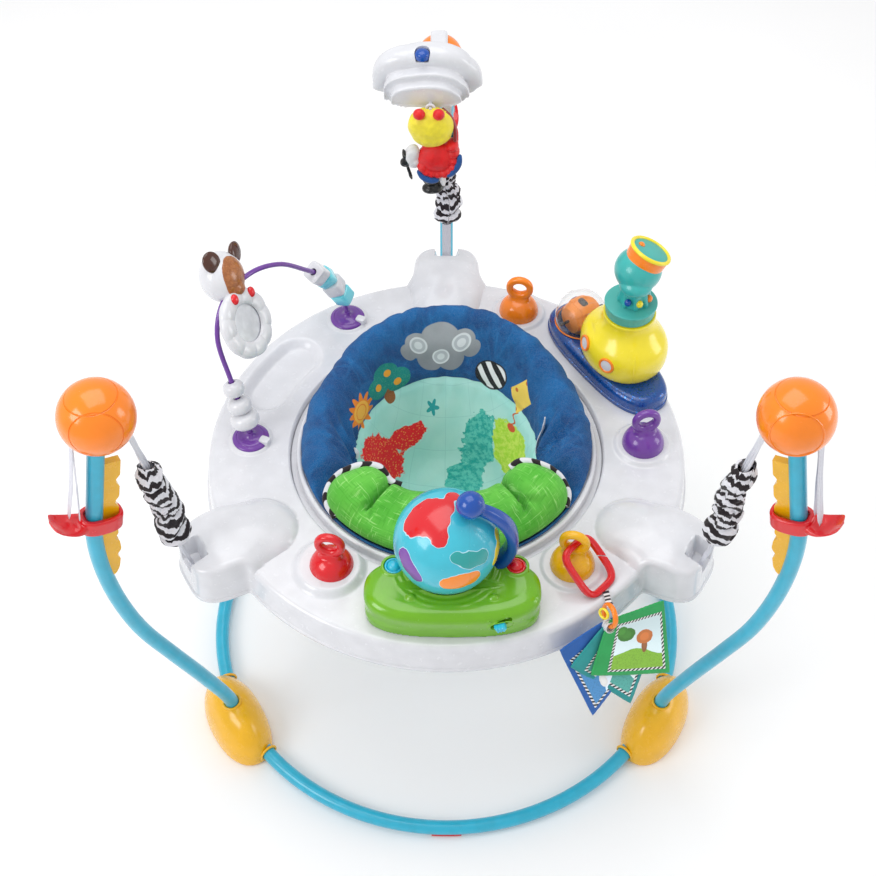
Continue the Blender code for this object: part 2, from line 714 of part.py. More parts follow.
def make_tray(parent):
    shares = (0.0, 0.16, 0.32, 0.52, 0.70, 0.85, 1.0)
    azimuths = tray_azimuths()
    rings = []

    def level(radius, height):
        rings.append([around(a, radius(a), height(a)) for a in azimuths])

    def at_share(share, inset=0.0):
        return lambda a: LEDGE_R + share * (tray_edge(a) - LEDGE_R) - inset

    def top(share, drop=0.0, inset=0.0):
        radius = at_share(share, inset)
        level(radius, lambda a: tray_top(a, radius(a)) - drop)

    level(lambda a: SEAT_BORE, lambda a: COLLAR_Z)
    level(lambda a: SEAT_BORE, lambda a: TRAY_Z - LEDGE_DROP)
    level(lambda a: LEDGE_R, lambda a: TRAY_Z - LEDGE_DROP)
    for share in shares:
        top(share)
    level(lambda a: tray_edge(a) + 0.0025, lambda a: tray_top(a, tray_edge(a)) - 0.008)
    level(lambda a: tray_edge(a) + 0.0055, lambda a: SKIRT_Z)
    level(lambda a: tray_edge(a) + 0.0055 - TRAY_WALL, lambda a: SKIRT_Z)
    top(1.0, 0.0105, 0.0005)
    for share in (0.82, 0.66, 0.48, 0.30, 0.15):
        top(share, TRAY_WALL + 0.0008)
    level(lambda a: LEDGE_R + TRAY_WALL, lambda a: TRAY_Z - TRAY_WALL)
    level(lambda a: LEDGE_R + TRAY_WALL, lambda a: TRAY_Z - LEDGE_DROP - TRAY_WALL)
    level(lambda a: SEAT_BORE + TRAY_WALL, lambda a: TRAY_Z - LEDGE_DROP - TRAY_WALL)
    level(lambda a: SEAT_BORE + TRAY_WALL, lambda a: COLLAR_Z)
    tray = add("tray", skin(rings, wrap=True), "white", parent)
    mouths, bars = [], []
    for azimuth in POST_AZIMUTHS:
        turn = Matrix.Rotation(math.radians(azimuth), 4, "Z")
        inner, half, floor = MOUTH
        mouths.append(moved(box((inner, -half, floor), (ARM_END + 0.02, half, TRAY_Z + 0.06)), turn))
        rod = [Vector((LIFT_FOOT[0], side * (ARM_HALF - 0.010), LIFT_FOOT[1] - BAR_R - GAP)) for side in (-1, 1)]
        bars.append(moved(tube(rod, BAR_R, 6, side=(0, 0, 1)), turn))
    boolean(tray, "DIFFERENCE", cutter("tray_mouths", joined(*mouths), parent))
    for azimuth, rod in zip(POST_AZIMUTHS, bars):
        boolean(tray, "UNION", cutter(f"tray_bar_{azimuth}", rod, parent))


def make_seat_ring(parent):
    """The ring that carries the fabric and turns on the tray's ledge."""
    top = TRAY_Z + SEAT_RING_TOP
    groove = TRAY_Z - LEDGE_DROP + SEAT_FLANGE
    profile = (
        (SEAT_RING_INNER, COLLAR_Z - 0.003),
        (SEAT_BORE - SEAT_CLEAR, COLLAR_Z - 0.003),
        (SEAT_BORE - SEAT_CLEAR, TRAY_Z - LEDGE_DROP + GAP),
        (LEDGE_R - SEAT_CLEAR, TRAY_Z - LEDGE_DROP + GAP),
        (LEDGE_R - SEAT_CLEAR, groove),
        (SEAT_LIP_R, groove),
        (SEAT_LIP_R, top - 0.003),
        (SEAT_LIP_R - 0.003, top),
        (SEAT_RING_INNER, top),
    )
    add("seat_ring", turned(profile, SEAT_SIDES, wrap=True), "white", parent)


def pouch_section(azimuth):
    """The seat's outline in one half plane, from the middle of its floor round to under it."""
    from_back = abs((azimuth - 90 + 180) % 360 - 180)
    crown = COLLAR_SIDE + (COLLAR_BACK - COLLAR_SIDE) * (1 - smoothstep(16, 91, from_back))
    rim = TRAY_Z + SEAT_RING_TOP + GAP
    roll_floor = TRAY_Z - 0.0097
    low = POUCH_FLOOR
    behind = (
        (0.092, low + 0.028), (0.116, low + 0.083), (0.132, low + 0.138), (0.146, rim + 0.1 * crown),
        (0.158, rim + 0.55 * crown), (0.174, rim + 0.92 * crown), (0.190, rim + crown), (0.203, rim + 0.80 * crown),
        (RIM_R, rim + 0.35 * crown), (RIM_R, rim),
    )
    in_front = (
        (0.092, low + 0.028), (0.112, low + 0.083), (0.122, low + 0.128), (0.128, low + 0.153),
        (0.140, roll_floor - 0.004), (0.167, roll_floor - 0.0006), (0.185, roll_floor + 0.0016),
        (0.199, roll_floor + 0.0066), (RIM_R - 0.0055, rim - 0.0010), (RIM_R - 0.001, rim),
    )
    share = smoothstep(104, 118, from_back)
    inside = []
    for (back_r, back_z), (front_r, front_z) in zip(behind, in_front):
        inside.append((back_r + (front_r - back_r) * share, back_z + (front_z - back_z) * share))
    outside = (
        (SEAT_RING_INNER - GAP, rim),
        (SEAT_RING_INNER - GAP, rim - 0.016),
        (inside[3][0] + 0.008, inside[2][1] + 0.004),
        (inside[1][0] + POUCH_WALL, inside[1][1]),
        (inside[0][0] + POUCH_WALL, inside[0][1] - 0.002),
        (0.050, POUCH_FLOOR - POUCH_WALL + 0.003),
    )
    return [(0.050, POUCH_FLOOR + 0.003), *inside, *outside]


def make_seat_pouch(parent):
    steps = SEAT_SIDES
    sections = [pouch_section(360 * k / steps) for k in range(steps)]
    rings = [[Vector((0, 0, POUCH_FLOOR))]]
    for row in range(len(sections[0])):
        ring = []
        for k, section in enumerate(sections):
            r, z = section[row]
            ring.append(around(360 * k / steps, r, z))
        rings.append(ring)
    rings.append([Vector((0, 0, POUCH_FLOOR - POUCH_WALL))])
    pouch = add("seat_pouch", skin(rings), "blue_cloth", parent)
    for azimuth in LEG_HOLE_AZIMUTHS:
        hole = ball((0, 0, 0), (0.050, 0.044, 0.040), 12, 8)
        place = Matrix.Translation(around(azimuth, 0.105, POUCH_FLOOR + 0.060)) @ Matrix.Rotation(math.radians(azimuth), 4, "Z")
        boolean(pouch, "DIFFERENCE", cutter(f"leg_hole_{azimuth}", moved(hole, place), parent))


def make_seat_front(parent):
    """The padded roll over the leg holes, pinched where its channels are sewn."""
    steps = round((ROLL_AZIMUTHS[1] - ROLL_AZIMUTHS[0]) * SEAT_SIDES / 360)
    shares = [-0.030, 0.0, *(k / steps for k in range(1, steps)), 1.0, 1.030]
    rings = []
    for share in shares:
        azimuth = ROLL_AZIMUTHS[0] + (ROLL_AZIMUTHS[1] - ROLL_AZIMUTHS[0]) * share
        ends = min(1.0, 0.62 + 4.5 * min(share, 1 - share))
        pinch = 1 - 0.16 * sum(math.exp(-(((share - at) / 0.045) ** 2)) for at in (0.30, 0.70))
        out = around(azimuth, 1.0)
        centre = around(azimuth, ROLL_R, TRAY_Z + 0.0128)
        rings.append(ring_at(centre, out, (0, 0, 1), (ROLL_HALF[0] * ends, ROLL_HALF[1] * ends * pinch), 12, 2.3))
    add("seat_front", skin(rings), "green_cloth", parent)


# Globe toy

def make_globe_base(parent):
    x, y = BASE_AT
    back = BASE_OVERHANG
    levels = (
        (TRAY_Z + GAP, 0.0, 0.0),
        (TRAY_Z + 0.0120, 0.0005, 0.0),
        (TRAY_Z + 0.0205, 0.0005, back),
        (BASE_TOP - 0.009, 0.0015, back),
        (BASE_TOP - 0.0025, 0.0040, back),
        (BASE_TOP, 0.0085, back),
    )
    outer = []
    for z, inset, lean in levels:
        half = (BASE_HALF[0] - inset, BASE_HALF[1] - inset + lean / 2)
        outer.append(flat_ring(x, y + lean / 2, z, half, 24, 2.7))
    inner = []
    for z in (GLOBE_AT[2] - GLOBE_R - 0.005, TRAY_Z + GAP):
        inner.append(flat_ring(x, y, z, (BASE_HALF[0] - 0.004, BASE_HALF[1] - 0.004), 24, 2.7))
    base = add("globe_base", skin(inner + outer), "green", parent)
    dish = cutter("globe_dish", ball(GLOBE_AT, (GLOBE_R + 0.0012,) * 3, 20, 14), parent)
    boolean(base, "DIFFERENCE", dish)
    pockets = []
    for bx, by in BUTTON_AT:
        well_r = BUTTON_R + CLEAR
        floor = BASE_TOP - 0.013
        pocket = turned(((0, floor), (well_r, floor), (well_r, BASE_TOP + 0.01), (0, BASE_TOP + 0.01)), 16)
        pockets.append(moved(pocket, Matrix.Translation((bx, by, 0))))
    sx, sy, sz = SWITCH_AT
    pockets.append(box((sx - 0.018, sy - 0.02, sz - 0.0040), (sx + 0.018, sy + 0.0080, sz + 0.0040)))
    boolean(base, "DIFFERENCE", cutter("base_pockets", joined(*pockets), parent))
    south = Vector(GLOBE_AT) - GLOBE_R * Vector(GLOBE_AXIS).normalized()
    pin = tube([south - 0.008 * Vector(GLOBE_AXIS), south + 0.006 * Vector(GLOBE_AXIS)], GLOBE_BORE_R - CLEAR, 8)
    boolean(base, "UNION", cutter("globe_lower_pin", pin, parent))


def make_globe(parent):
    """A hollow ball with a bore along its tilted axis."""
    bore, wall = GLOBE_BORE_R, GLOBE_WALL
    profile = []
    rows = 10
    first = math.degrees(math.asin(bore / GLOBE_R))
    for k in range(rows + 1):
        angle = math.radians(first + (180 - 2 * first) * k / rows)
        profile.append((GLOBE_R * math.sin(angle), GLOBE_R * math.cos(angle)))
    inside = GLOBE_R - wall
    first = math.degrees(math.asin(bore / inside))
    rows = 6
    for k in range(rows + 1):
        angle = math.radians(180 - first - (180 - 2 * first) * k / rows)
        profile.append((inside * math.sin(angle), inside * math.cos(angle)))
    globe = moved(turned(profile, 18, wrap=True), facing(GLOBE_AXIS, GLOBE_AT))
    add("globe", globe, "sea", parent, GLOBE_AT)


def globe_frame():
    """The globe's axis, the direction of its arm, and the direction across both."""
    axis = Vector(GLOBE_AXIS).normalized()
    out = (Vector((1, 0, 0)) - axis * axis.x).normalized()
    return axis, out, axis.cross(out)


def make_globe_arm(parent):
    axis, out, across = globe_frame()
    centre = Vector(GLOBE_AT)
    rings = []
    steps = 12
    for k in range(steps + 1):
        angle = math.radians(2 + 124 * k / steps)
        away = math.cos(angle) * axis + math.sin(angle) * out
        wide = 0.62 + 0.38 * math.sin(min(angle, math.pi / 2))
        rings.append(ring_at(centre + ARM_ORBIT * away, away, across, (ARM_SECTION[0], ARM_SECTION[1] * wide), 8, 2.6))
    arm = add("globe_arm", skin(rings), "blue", parent)
    hub = ball(centre + (ARM_ORBIT + 0.001) * axis, (0.0125,) * 3, 12, 8)
    boolean(arm, "UNION", cutter("arm_hub", hub, parent))
    pin = tube([centre + (GLOBE_R - 0.006) * axis, centre + ARM_ORBIT * axis], GLOBE_BORE_R - CLEAR, 8)
    boolean(arm, "UNION", cutter("arm_pin", pin, parent))
    boolean(arm, "DIFFERENCE", cutter("arm_floor", box((-0.2, -0.4, 0.3), (0.2, -0.1, BASE_TOP + GAP)), parent))


def make_buttons(parent):
    for name, tint, (x, y) in zip(("button_left", "button_right"), ("sea", "red"), BUTTON_AT):
        low = BASE_TOP - 0.013 + BUTTON_TRAVEL + 0.001
        profile = (
            (0, low), (BUTTON_R, low), (BUTTON_R, BASE_TOP + 0.0025),
            (0.80 * BUTTON_R, BASE_TOP + 0.0062), (0, BASE_TOP + 0.0085),
        )
        add(name, moved(turned(profile, 14), Matrix.Translation((x, y, 0))), tint, parent, (x, y, low))
    x, y, z = SWITCH_AT
    slider = box((x - 0.0085, y - 0.0045, z - 0.0034), (x + 0.0005, y + 0.0074, z + 0.0034))
    add("volume_switch", slider, "sea", parent, (x - 0.004, y, z))


# Small tray toys

def make_knobs(parent):
    for name, (x, y), looks, tint in KNOBS:
        profile = (
            (0, 0), (KNOB_R, 0), (KNOB_R, 0.004), (0.86 * KNOB_R, 0.010), (0.56 * KNOB_R, 0.0155),
            (0.48 * KNOB_R, 0.024), (0.34 * KNOB_R, KNOB_H + 0.005), (0, KNOB_H + 0.006),
        )
        place = Matrix.Translation((x, y, TRAY_Z + GAP))
        knob = add(name, moved(turned(profile, 12), place), tint, parent)
        hole = Vector((math.cos(math.radians(looks)), math.sin(math.radians(looks)), 0))
        side = hole.cross(Vector((0, 0, 1)))
        centre = Vector((x, y, TRAY_Z + LOOP_Z))
        turns = 10
        rings = []
        for k in range(turns):
            angle = 2 * math.pi * k / turns
            away = math.cos(angle) * side + math.sin(angle) * Vector((0, 0, 1))
            rings.append(ring_at(centre + LOOP_R * away, away, hole, (LOOP_TUBE, LOOP_TUBE), 5))
        boolean(knob, "UNION", cutter(name + "_ring", skin(rings, wrap=True), parent))


def gold_loop():
    """The link's place in the gold knob's loop, the way its strand runs there, and the way it falls."""
    name, (x, y), looks, tint = KNOBS[1]
    angle = math.radians(LINK_LOOKS)
    hole = Vector((math.cos(angle), math.sin(angle), 0))
    level = Vector((math.sin(angle), -math.cos(angle), 0))
    fall = math.radians(LINK_FALL)
    return Vector((x, y, TRAY_Z + LINK_Z)), hole, math.cos(fall) * level - math.sin(fall) * Vector((0, 0, 1))


def make_link(parent):
    centre, hole, fall = gold_loop()
    middle = centre + LINK_HALF[0] * fall
    points = ring_at(middle, fall, hole, LINK_HALF, 20, 3.4)
    normal = fall.cross(hole)
    rings = []
    for before, point, after in zip(points[-1:] + points[:-1], points, points[1:] + points[:1]):
        out = (after - before).normalized().cross(normal)
        rings.append(ring_at(point, out, normal, (LINK_TUBE, LINK_TUBE), 6))
    add("link", skin(rings, wrap=True), "red", parent, centre)


def card_frame():
    across, down = Vector(CARD_ACROSS).normalized(), Vector(CARD_DOWN).normalized()
    return across, down, down.cross(across).normalized()


def make_cards(parent):
    across, down, front = card_frame()
    centre = Vector(CARD_RING_AT)
    turns = 12
    rings = []
    for k in range(turns):
        angle = 2 * math.pi * k / turns
        away = math.cos(angle) * front + math.sin(angle) * down
        rings.append(ring_at(centre + CARD_RING_R * away, away, across, (CARD_RING_TUBE, CARD_RING_TUBE), 6))
    ring = add("card_ring", skin(rings, wrap=True), "orange", parent, centre)
    link_centre, hole, fall = gold_loop()
    start = link_centre + (2 * LINK_HALF[0] + LINK_TUBE + 0.0016) * fall
    finish = centre - (CARD_RING_R - 0.001) * down
    ends = ((start, (0.0045, 0.0012)), (finish, (0.0040, 0.0020)))
    ribbon = skin([ring_at(end, across, front, half, 8, 3) for end, half in ends])
    boolean(ring, "UNION", cutter("card_ribbon", ribbon, parent))
    names = ("card_front", "card_middle", "card_back")
    tints = ("card_green", "card_teal", "card_blue")
    for k, (name, tint, fan) in enumerate(zip(names, tints, CARD_FAN)):
        turn = Matrix.Rotation(math.radians(fan), 4, front)
        set_back = (k - 1) * CARD_STEP
        bottom = math.sqrt(CARD_RING_R**2 - set_back**2)
        hole_at = centre + (bottom + CARD_HOLE_R - CARD_RING_TUBE - 0.0008 - 0.0005 * abs(k - 1)) * down - set_back * front
        corner = hole_at - turn @ (CARD_INSET * across + CARD_INSET * down)
        rings = []
        for depth in (-0.5, 0.5):
            outline = []
            for a, d in ((0.03, 0), (0.97, 0), (1, 0.03), (1, 0.97), (0.97, 1), (0.03, 1), (0, 0.97), (0, 0.03)):
                offset = turn @ (a * CARD_SIDE * across + d * CARD_SIDE * down)
                outline.append(corner + offset + depth * CARD_THICK * front)
            rings.append(outline)
        card = add(name, skin(rings), tint, parent, centre)
        punch = tube([hole_at - 0.01 * front, hole_at + 0.01 * front], CARD_HOLE_R, 10, side=down)
        boolean(card, "DIFFERENCE", cutter(name + "_hole", punch, parent))


# Bead arch

def arch_path(steps=2):
    return smooth_path(ARCH_ROUTE, steps)


def along_wire(share):
    """A point of the wire and its direction there, by share of its length."""
    path = arch_path()
    lengths = [0.0]
    for a, b in zip(path, path[1:]):
        lengths.append(lengths[-1] + (b - a).length)
    target = share * lengths[-1]
    for k, (a, b) in enumerate(zip(path, path[1:])):
        if lengths[k + 1] >= target:
            t = (target - lengths[k]) / (lengths[k + 1] - lengths[k])
            return a + (b - a) * t, (b - a).normalized()
    return path[-1], (path[-1] - path[-2]).normalized()


def make_arch(parent):
    path = arch_path()
    feet = []
    for (x, y), end, after in zip(ARCH_FEET, (path[0], path[-1]), (path[1], path[-2])):
        profile = (
            (0, 0), (ARCH_FOOT_R, 0), (ARCH_FOOT_R, 0.005), (0.80 * ARCH_FOOT_R, 0.010),
            (0.40 * ARCH_FOOT_R, 0.0135), (0, 0.0150),
        )
        feet.append(moved(turned(profile, 16), Matrix.Translation((x, y, TRAY_Z + GAP))))
    low = [path[0] - 0.008 * directions(path)[0]]
    high = [path[-1] + 0.008 * directions(path)[-1]]
    arch = add("bead_arch", tube(low + path[1:-1] + high, WIRE_R, 8, side=(-0.88, 0.47, 0)), "purple", parent)
    for side, foot in zip("ab", feet):
        boolean(arch, "UNION", cutter(f"arch_foot_{side}", foot, parent))


def wire_bore(share, reach, radius, swing=0):
    """A bore that follows the wire for at least this distance each way.

    It widens where the wire bends away, for a piece that swings this many degrees about it.
    """
    point, along = along_wire(share)
    path = arch_path()
    middle = min(range(len(path)), key=lambda k: (path[k] - point).length)
    first, last = middle, middle
    while first > 0 and (path[first] - point).length < reach:
        first -= 1
    while last < len(path) - 1 and (path[last] - point).length < reach:
        last += 1
    near = path[first : last + 1]
    near[0] = near[0] - 0.004 * directions(path)[first]
    near[-1] = near[-1] + 0.004 * directions(path)[last]
    widen = 2 * math.sin(math.radians(swing) / 2)
    rings = []
    for spot, ahead in zip(near, directions(near)):
        across = ahead.cross(Vector((-0.88, 0.47, 0))).normalized()
        half = radius + widen * (spot - point).cross(along.normalized()).length
        rings.append(ring_at(spot, across, ahead.cross(across), (half, half), 8))
    return skin(rings)


BEADS = (  # name, colour, share of the wire at its middle, radius of a straight bore
    ("snow_bead", "white", 0.118, None),
    ("ice_bead_lower", "ice", 0.905, ICE_BORE_R[0]),
    ("ice_bead_upper", "ice", 0.812, ICE_BORE_R[1]),
)


def make_beads(parent):
    for name, tint, share, straight_bore in BEADS:
        point, ahead = along_wire(share)
        place = facing(ahead, point)
        if name == "snow_bead":
            profile = (
                (0, -0.0330), (0.0190, -0.0290), (0.0255, -0.0170), (0.0195, -0.0045),
                (0.0165, -0.0010), (0.0205, 0.0050), (0.0205, 0.0140), (0.0135, 0.0205),
                (0.0160, 0.0260), (0.0150, 0.0350), (0.0070, 0.0410), (0, 0.0420),
            )
            shape = turned(profile, 10)
        else:
            levels = (
                (-0.0195, 0.0125), (-0.0180, 0.0155), (-0.0010, 0.0150), (0.0005, 0.0130),
                (0.0020, 0.0145), (0.0180, 0.0145), (0.0190, 0.0115),
            )
            shape = skin([flat_ring(0, 0, z, (r, r), 6) for z, r in levels])
        bead = add(name, moved(shape, place), tint, parent, point)
        if name == "snow_bead":
            bore = wire_bore(share, 0.050, WIRE_R + 0.0010)
        else:
            ends = [point - 0.03 * ahead, point + 0.03 * ahead]
            bore = tube(ends, straight_bore, 8, side=(-0.88, 0.47, 0))
        boolean(bead, "DIFFERENCE", cutter(name + "_bore", bore, parent))


MIRROR_SHARE = 0.430  # where the mirror's clip holds the wire
MIRROR_FLIP = 20  # degrees either way that the mirror turns on the wire


def make_mirror(parent):
    """A dog's head over a round mirror, clipped on the top of the wire."""
    facing_way, up = Vector(MIRROR_FACING).normalized(), Vector(MIRROR_UP).normalized()
    across = up.cross(facing_way)
    centre = Vector(MIRROR_AT)
    place = frame_of(across, up, centre)
    half = MIRROR_RING_THICK / 2
    profile = (
        (MIRROR_R + GAP, -0.0022), (MIRROR_R + GAP, 0.0022), (MIRROR_R + 0.001, half),
        (MIRROR_RING_R - 0.003, half), (MIRROR_RING_R, half - 0.004), (MIRROR_RING_R, -half + 0.004),
        (MIRROR_RING_R - 0.003, -half), (MIRROR_R + 0.001, -half),
    )
    clip, ahead = along_wire(MIRROR_SHARE)
    frame = add("mirror_frame", moved(turned(profile, 20, wrap=True), place), "white", parent, clip)
    top = Vector((0, 0.0716, -0.0160))
    pieces = (
        ("dog_clip", ball((0, 0, 0), (0.0120, 0.0120, 0.0120), 8, 6), Matrix.Translation(clip)),
        ("dog_head", ball(top, (0.0345, 0.0360, 0.0300), 12, 8), place),
        ("dog_ear_left", ball(top + Vector((-0.0260, 0.0300, 0.0040)), (0.0125, 0.0145, 0.0090), 8, 5), place),
        ("dog_ear_right", ball(top + Vector((0.0260, 0.0300, 0.0040)), (0.0125, 0.0145, 0.0090), 8, 5), place),
    )
    for name, shape, matrix in pieces:
        boolean(frame, "UNION", cutter(name, moved(shape, matrix), parent))
    bore = wire_bore(MIRROR_SHARE, 0.075, WIRE_R + 0.0010, MIRROR_FLIP)
    boolean(frame, "DIFFERENCE", cutter("clip_bore", bore, parent))
    plate = ((0, -0.0015), (MIRROR_R - 0.0002, -0.0015), (MIRROR_R - 0.0002, 0.0015), (0, 0.0015))
    add("mirror_plate", moved(turned(plate, 20), place), "mirror", parent, clip)


# Submarine toy

def make_submarine(parent):
    """Drawn with X out from the tray's axis and Y along its edge."""
    bx, by = SUB_BASE_AT
    foot = TRAY_Z + GAP
    top = foot + SUB_BASE_H
    outer = []
    for z, inset in ((foot, 0.0), (top - 0.004, 0.0015), (top, 0.005)):
        outer.append(flat_ring(bx, by, z, (SUB_BASE_HALF[0] - inset, SUB_BASE_HALF[1] - inset), 24, 3.2))
    hollow = (SUB_BASE_HALF[0] - 0.004, SUB_BASE_HALF[1] - 0.004)
    inner = [flat_ring(bx, by, z, hollow, 24, 3.2) for z in (top - 0.005, foot)]
    base = add("sub_base", skin(inner + outer), "blue", parent)
    rx, ry = ROLLER_AT
    well_r = DOME_R - 0.004
    well = turned(((0, foot + 0.004), (well_r, foot + 0.004), (well_r, top + 0.01), (0, top + 0.01)), 20)
    boolean(base, "DIFFERENCE", cutter("roller_well", moved(well, Matrix.Translation((rx, ry, 0))), parent))

    x, y = SUB_TOWER
    stand = top + GAP
    levels = ((0.0, 0.88), (0.012, 0.99), (0.032, 1.0), (0.052, 0.90), (0.068, 0.76), (SUB_BODY_H, 0.735))
    long, wide = SUB_BODY_HALF
    rings = [flat_ring(x, y, stand + z, (long * s, wide * s), 20, 2.2) for z, s in levels]
    hollow = []
    for z, s in ((0.062, 0.76), (0.030, 0.97), (0.0, 0.85)):
        hollow.append(flat_ring(x, y, stand + z, (long * s - 0.003, wide * s - 0.003), 20, 2.2))
    body = add("sub_body", skin(hollow + rings), "yellow", parent)
    centre = Vector((rx, ry, top + 0.014))
    dome = ball(centre, (DOME_R,) * 3, 14, 10)
    boolean(body, "UNION", cutter("dome_shell", dome, parent))
    inside = ball(centre, (DOME_R - DOME_WALL,) * 3, 14, 10)
    boolean(body, "DIFFERENCE", cutter("dome_hollow", inside, parent))
    under = box((rx - 0.06, ry - 0.06, top - 0.06), (rx + 0.06, ry + 0.06, stand))
    boolean(body, "DIFFERENCE", cutter("dome_floor", under, parent))
    turn = Matrix.Rotation(math.radians(90), 4, "Y")
    place = Matrix.Translation(centre) @ turn
    holes = tube([Vector((0, 0, -0.06)), Vector((0, 0, 0.06))], AXLE_R + CLEAR, 8)
    boolean(body, "DIFFERENCE", cutter("axle_holes", moved(holes, place), parent))

    axle = DOME_R - 0.0005
    half = (
        (ROLLER_R * 0.66, 0.0215),
        (ROLLER_R * 0.90, 0.0120),
        (ROLLER_R * 0.95, 0.0),
    )
    profile = [(0, -axle), (AXLE_R, -axle), (AXLE_R, -0.026)]
    profile += [(r, -z) for r, z in half] + [(r, z) for r, z in half[1::-1]]
    profile += [(AXLE_R, 0.026), (AXLE_R, axle), (0, axle)]
    add("sub_roller", moved(turned(profile, 14), place), "orange", parent, centre)

    deck = stand + SUB_BODY_H + GAP
    tower = turned(
        (
            (0, 0), (0.70 * TURRET_R, 0), (TURRET_R, 0.004), (TURRET_R, TURRET_H),
            (0.75 * TURRET_R, TURRET_H + 0.001), (0.45 * TURRET_R, TURRET_H + 0.006), (0, TURRET_H + 0.007),
        ),
        20,
    )
    place = Matrix.Translation((x, y, deck))
    turret = add("octopus", moved(tower, place), "teal", parent, (x, y, deck))
    head = ball((0, 0, TURRET_H + 0.032), (HEAD_R, HEAD_R, 0.0290), 14, 9)
    boolean(turret, "UNION", cutter("octopus_head", moved(head, place), parent))
    cap = turned(((0, -0.006), (0.0255, -0.006), (0.0300, 0.020), (0.0315, 0.024), (0.0290, 0.0265), (0, 0.0265)), 16)
    tilt = place @ Matrix.Translation((0.003, -0.004, TURRET_H + 0.052)) @ Matrix.Rotation(math.radians(-10), 4, "X")
    boolean(turret, "UNION", cutter("octopus_cap", moved(cap, tilt), parent))


# Cloud

def cloud_outline(shrink=0.0):
    """Puffs along the top and a shallow wavy foot, in X and Z."""
    low, high = CLOUD_Z
    points = []
    steps = 26
    for k in range(steps):
        angle = 2 * math.pi * k / steps
        c, s = math.cos(angle), math.sin(angle)
        puff = 1 + 0.045 * math.cos(5 * angle) if s > 0 else 1 + 0.03 * math.cos(8 * angle)
        x = CLOUD_X + (CLOUD_HALF - shrink) * math.copysign(abs(c) ** 0.8, c) * puff / 1.045
        height = (high - low) * 0.66 if s > 0 else (high - low) * 0.34
        z = low + (high - low) * 0.34 + (height - 0.7 * shrink) * math.copysign(abs(s) ** 0.85, s) * puff / 1.045
        points.append((x, z))
    return points


def make_cloud(parent):
    """A shell of stepped cloud layers that clips over the back ball."""
    front, back = CLOUD_Y
    layers = (
        (back, 0.003), (back - 0.005, 0.0), (front + 0.016, 0.0), (front + 0.012, 0.004),
        (front + 0.011, 0.013), (front + 0.004, 0.015), (front, 0.020),
    )
    rings = [[Vector((x, y, z)) for x, z in cloud_outline(shrink)] for y, shrink in layers]
    cloud = add("cloud", skin(rings), "white", parent)
    centre = (0, BALL_AT[0], BALL_AT[1])
    clip = box((-0.038, back - 0.012, 0.838), (0.006, BALL_AT[0] - 0.004, BALL_AT[1] + BALL_R + 0.006))
    boolean(cloud, "UNION", cutter("cloud_clip", clip, parent))
    boolean(cloud, "DIFFERENCE", cutter("cloud_seat", ball(centre, (BALL_R + 0.0016,) * 3, 14, 8), parent))
    bx, by, bz = cloud_button_at()
    well_r = CLOUD_BUTTON_R + CLEAR
    pocket = turned(((0, -0.010), (well_r, -0.010), (well_r, 0.03), (0, 0.03)), 14)
    pocket = moved(pocket, Matrix.Translation((bx, by, bz)))
    boolean(cloud, "DIFFERENCE", cutter("cloud_button_pocket", pocket, parent))
    pivot = Vector((TOY_X, TOY_Y, TOY_PIVOT_Z))
    hook_top = Vector((TOY_X, TOY_Y + 0.014, CLOUD_Z[0] + 0.012))
    hook = tube([hook_top, pivot + Vector((0, 0.014, 0))], 0.003, 8)
    peg = tube([pivot + Vector((0, 0.016, 0)), pivot - Vector((0, 0.006, 0))], 0.0026, 8, side=(0, 0, 1))
    boolean(cloud, "UNION", cutter("cloud_hook", hook, parent))
    boolean(cloud, "UNION", cutter("cloud_peg", peg, parent))
    profile = ((0, -0.0060), (CLOUD_BUTTON_R, -0.0060), (CLOUD_BUTTON_R, 0.0015), (0.8 * CLOUD_BUTTON_R, 0.0050), (0, 0.0068))
    button = moved(turned(profile, 12), Matrix.Translation((bx, by, bz)))
    add("cloud_button", button, "blue", parent, (bx, by, bz))


def cloud_button_at():
    return (CLOUD_X - 0.008, (CLOUD_Y[0] + CLOUD_Y[1]) / 2 - 0.001, CLOUD_Z[1] - 0.0045)


def make_hanging_toy(parent):
    """A round head over a soft body, on an eye that swings from the cloud's peg."""
    x, y, z = TOY_X, TOY_Y, TOY_PIVOT_Z
    head = ball((x, y - 0.002, z - 0.041), (0.0335, 0.0190, 0.0290), 12, 7)
    toy = add("hanging_toy", head, "yellow", parent, (x, y, z))
    for name, centre, radii in (
        ("toy_body", (x + 0.004, y - 0.002, z - 0.091), (0.0350, 0.0190, 0.0330)),
        ("toy_skirt", (x + 0.006, y - 0.002, z - 0.113), (0.0300, 0.0170, 0.0180)),
    ):
        boolean(toy, "UNION", cutter(name, ball(centre, radii, 12, 7), parent))
    eye = turned(((0.0034, -0.003), (0.0078, -0.003), (0.0078, 0.003), (0.0034, 0.003)), 14, wrap=True)
    turn = Matrix.Translation((x, y, z)) @ Matrix.Rotation(math.radians(90), 4, "X")
    boolean(toy, "UNION", cutter("toy_eye", moved(eye, turn), parent))
    stem = box((x - 0.003, y - 0.0025, z - 0.022), (x + 0.003, y + 0.0025, z - 0.0055))
    boolean(toy, "UNION", cutter("toy_stem", stem, parent))


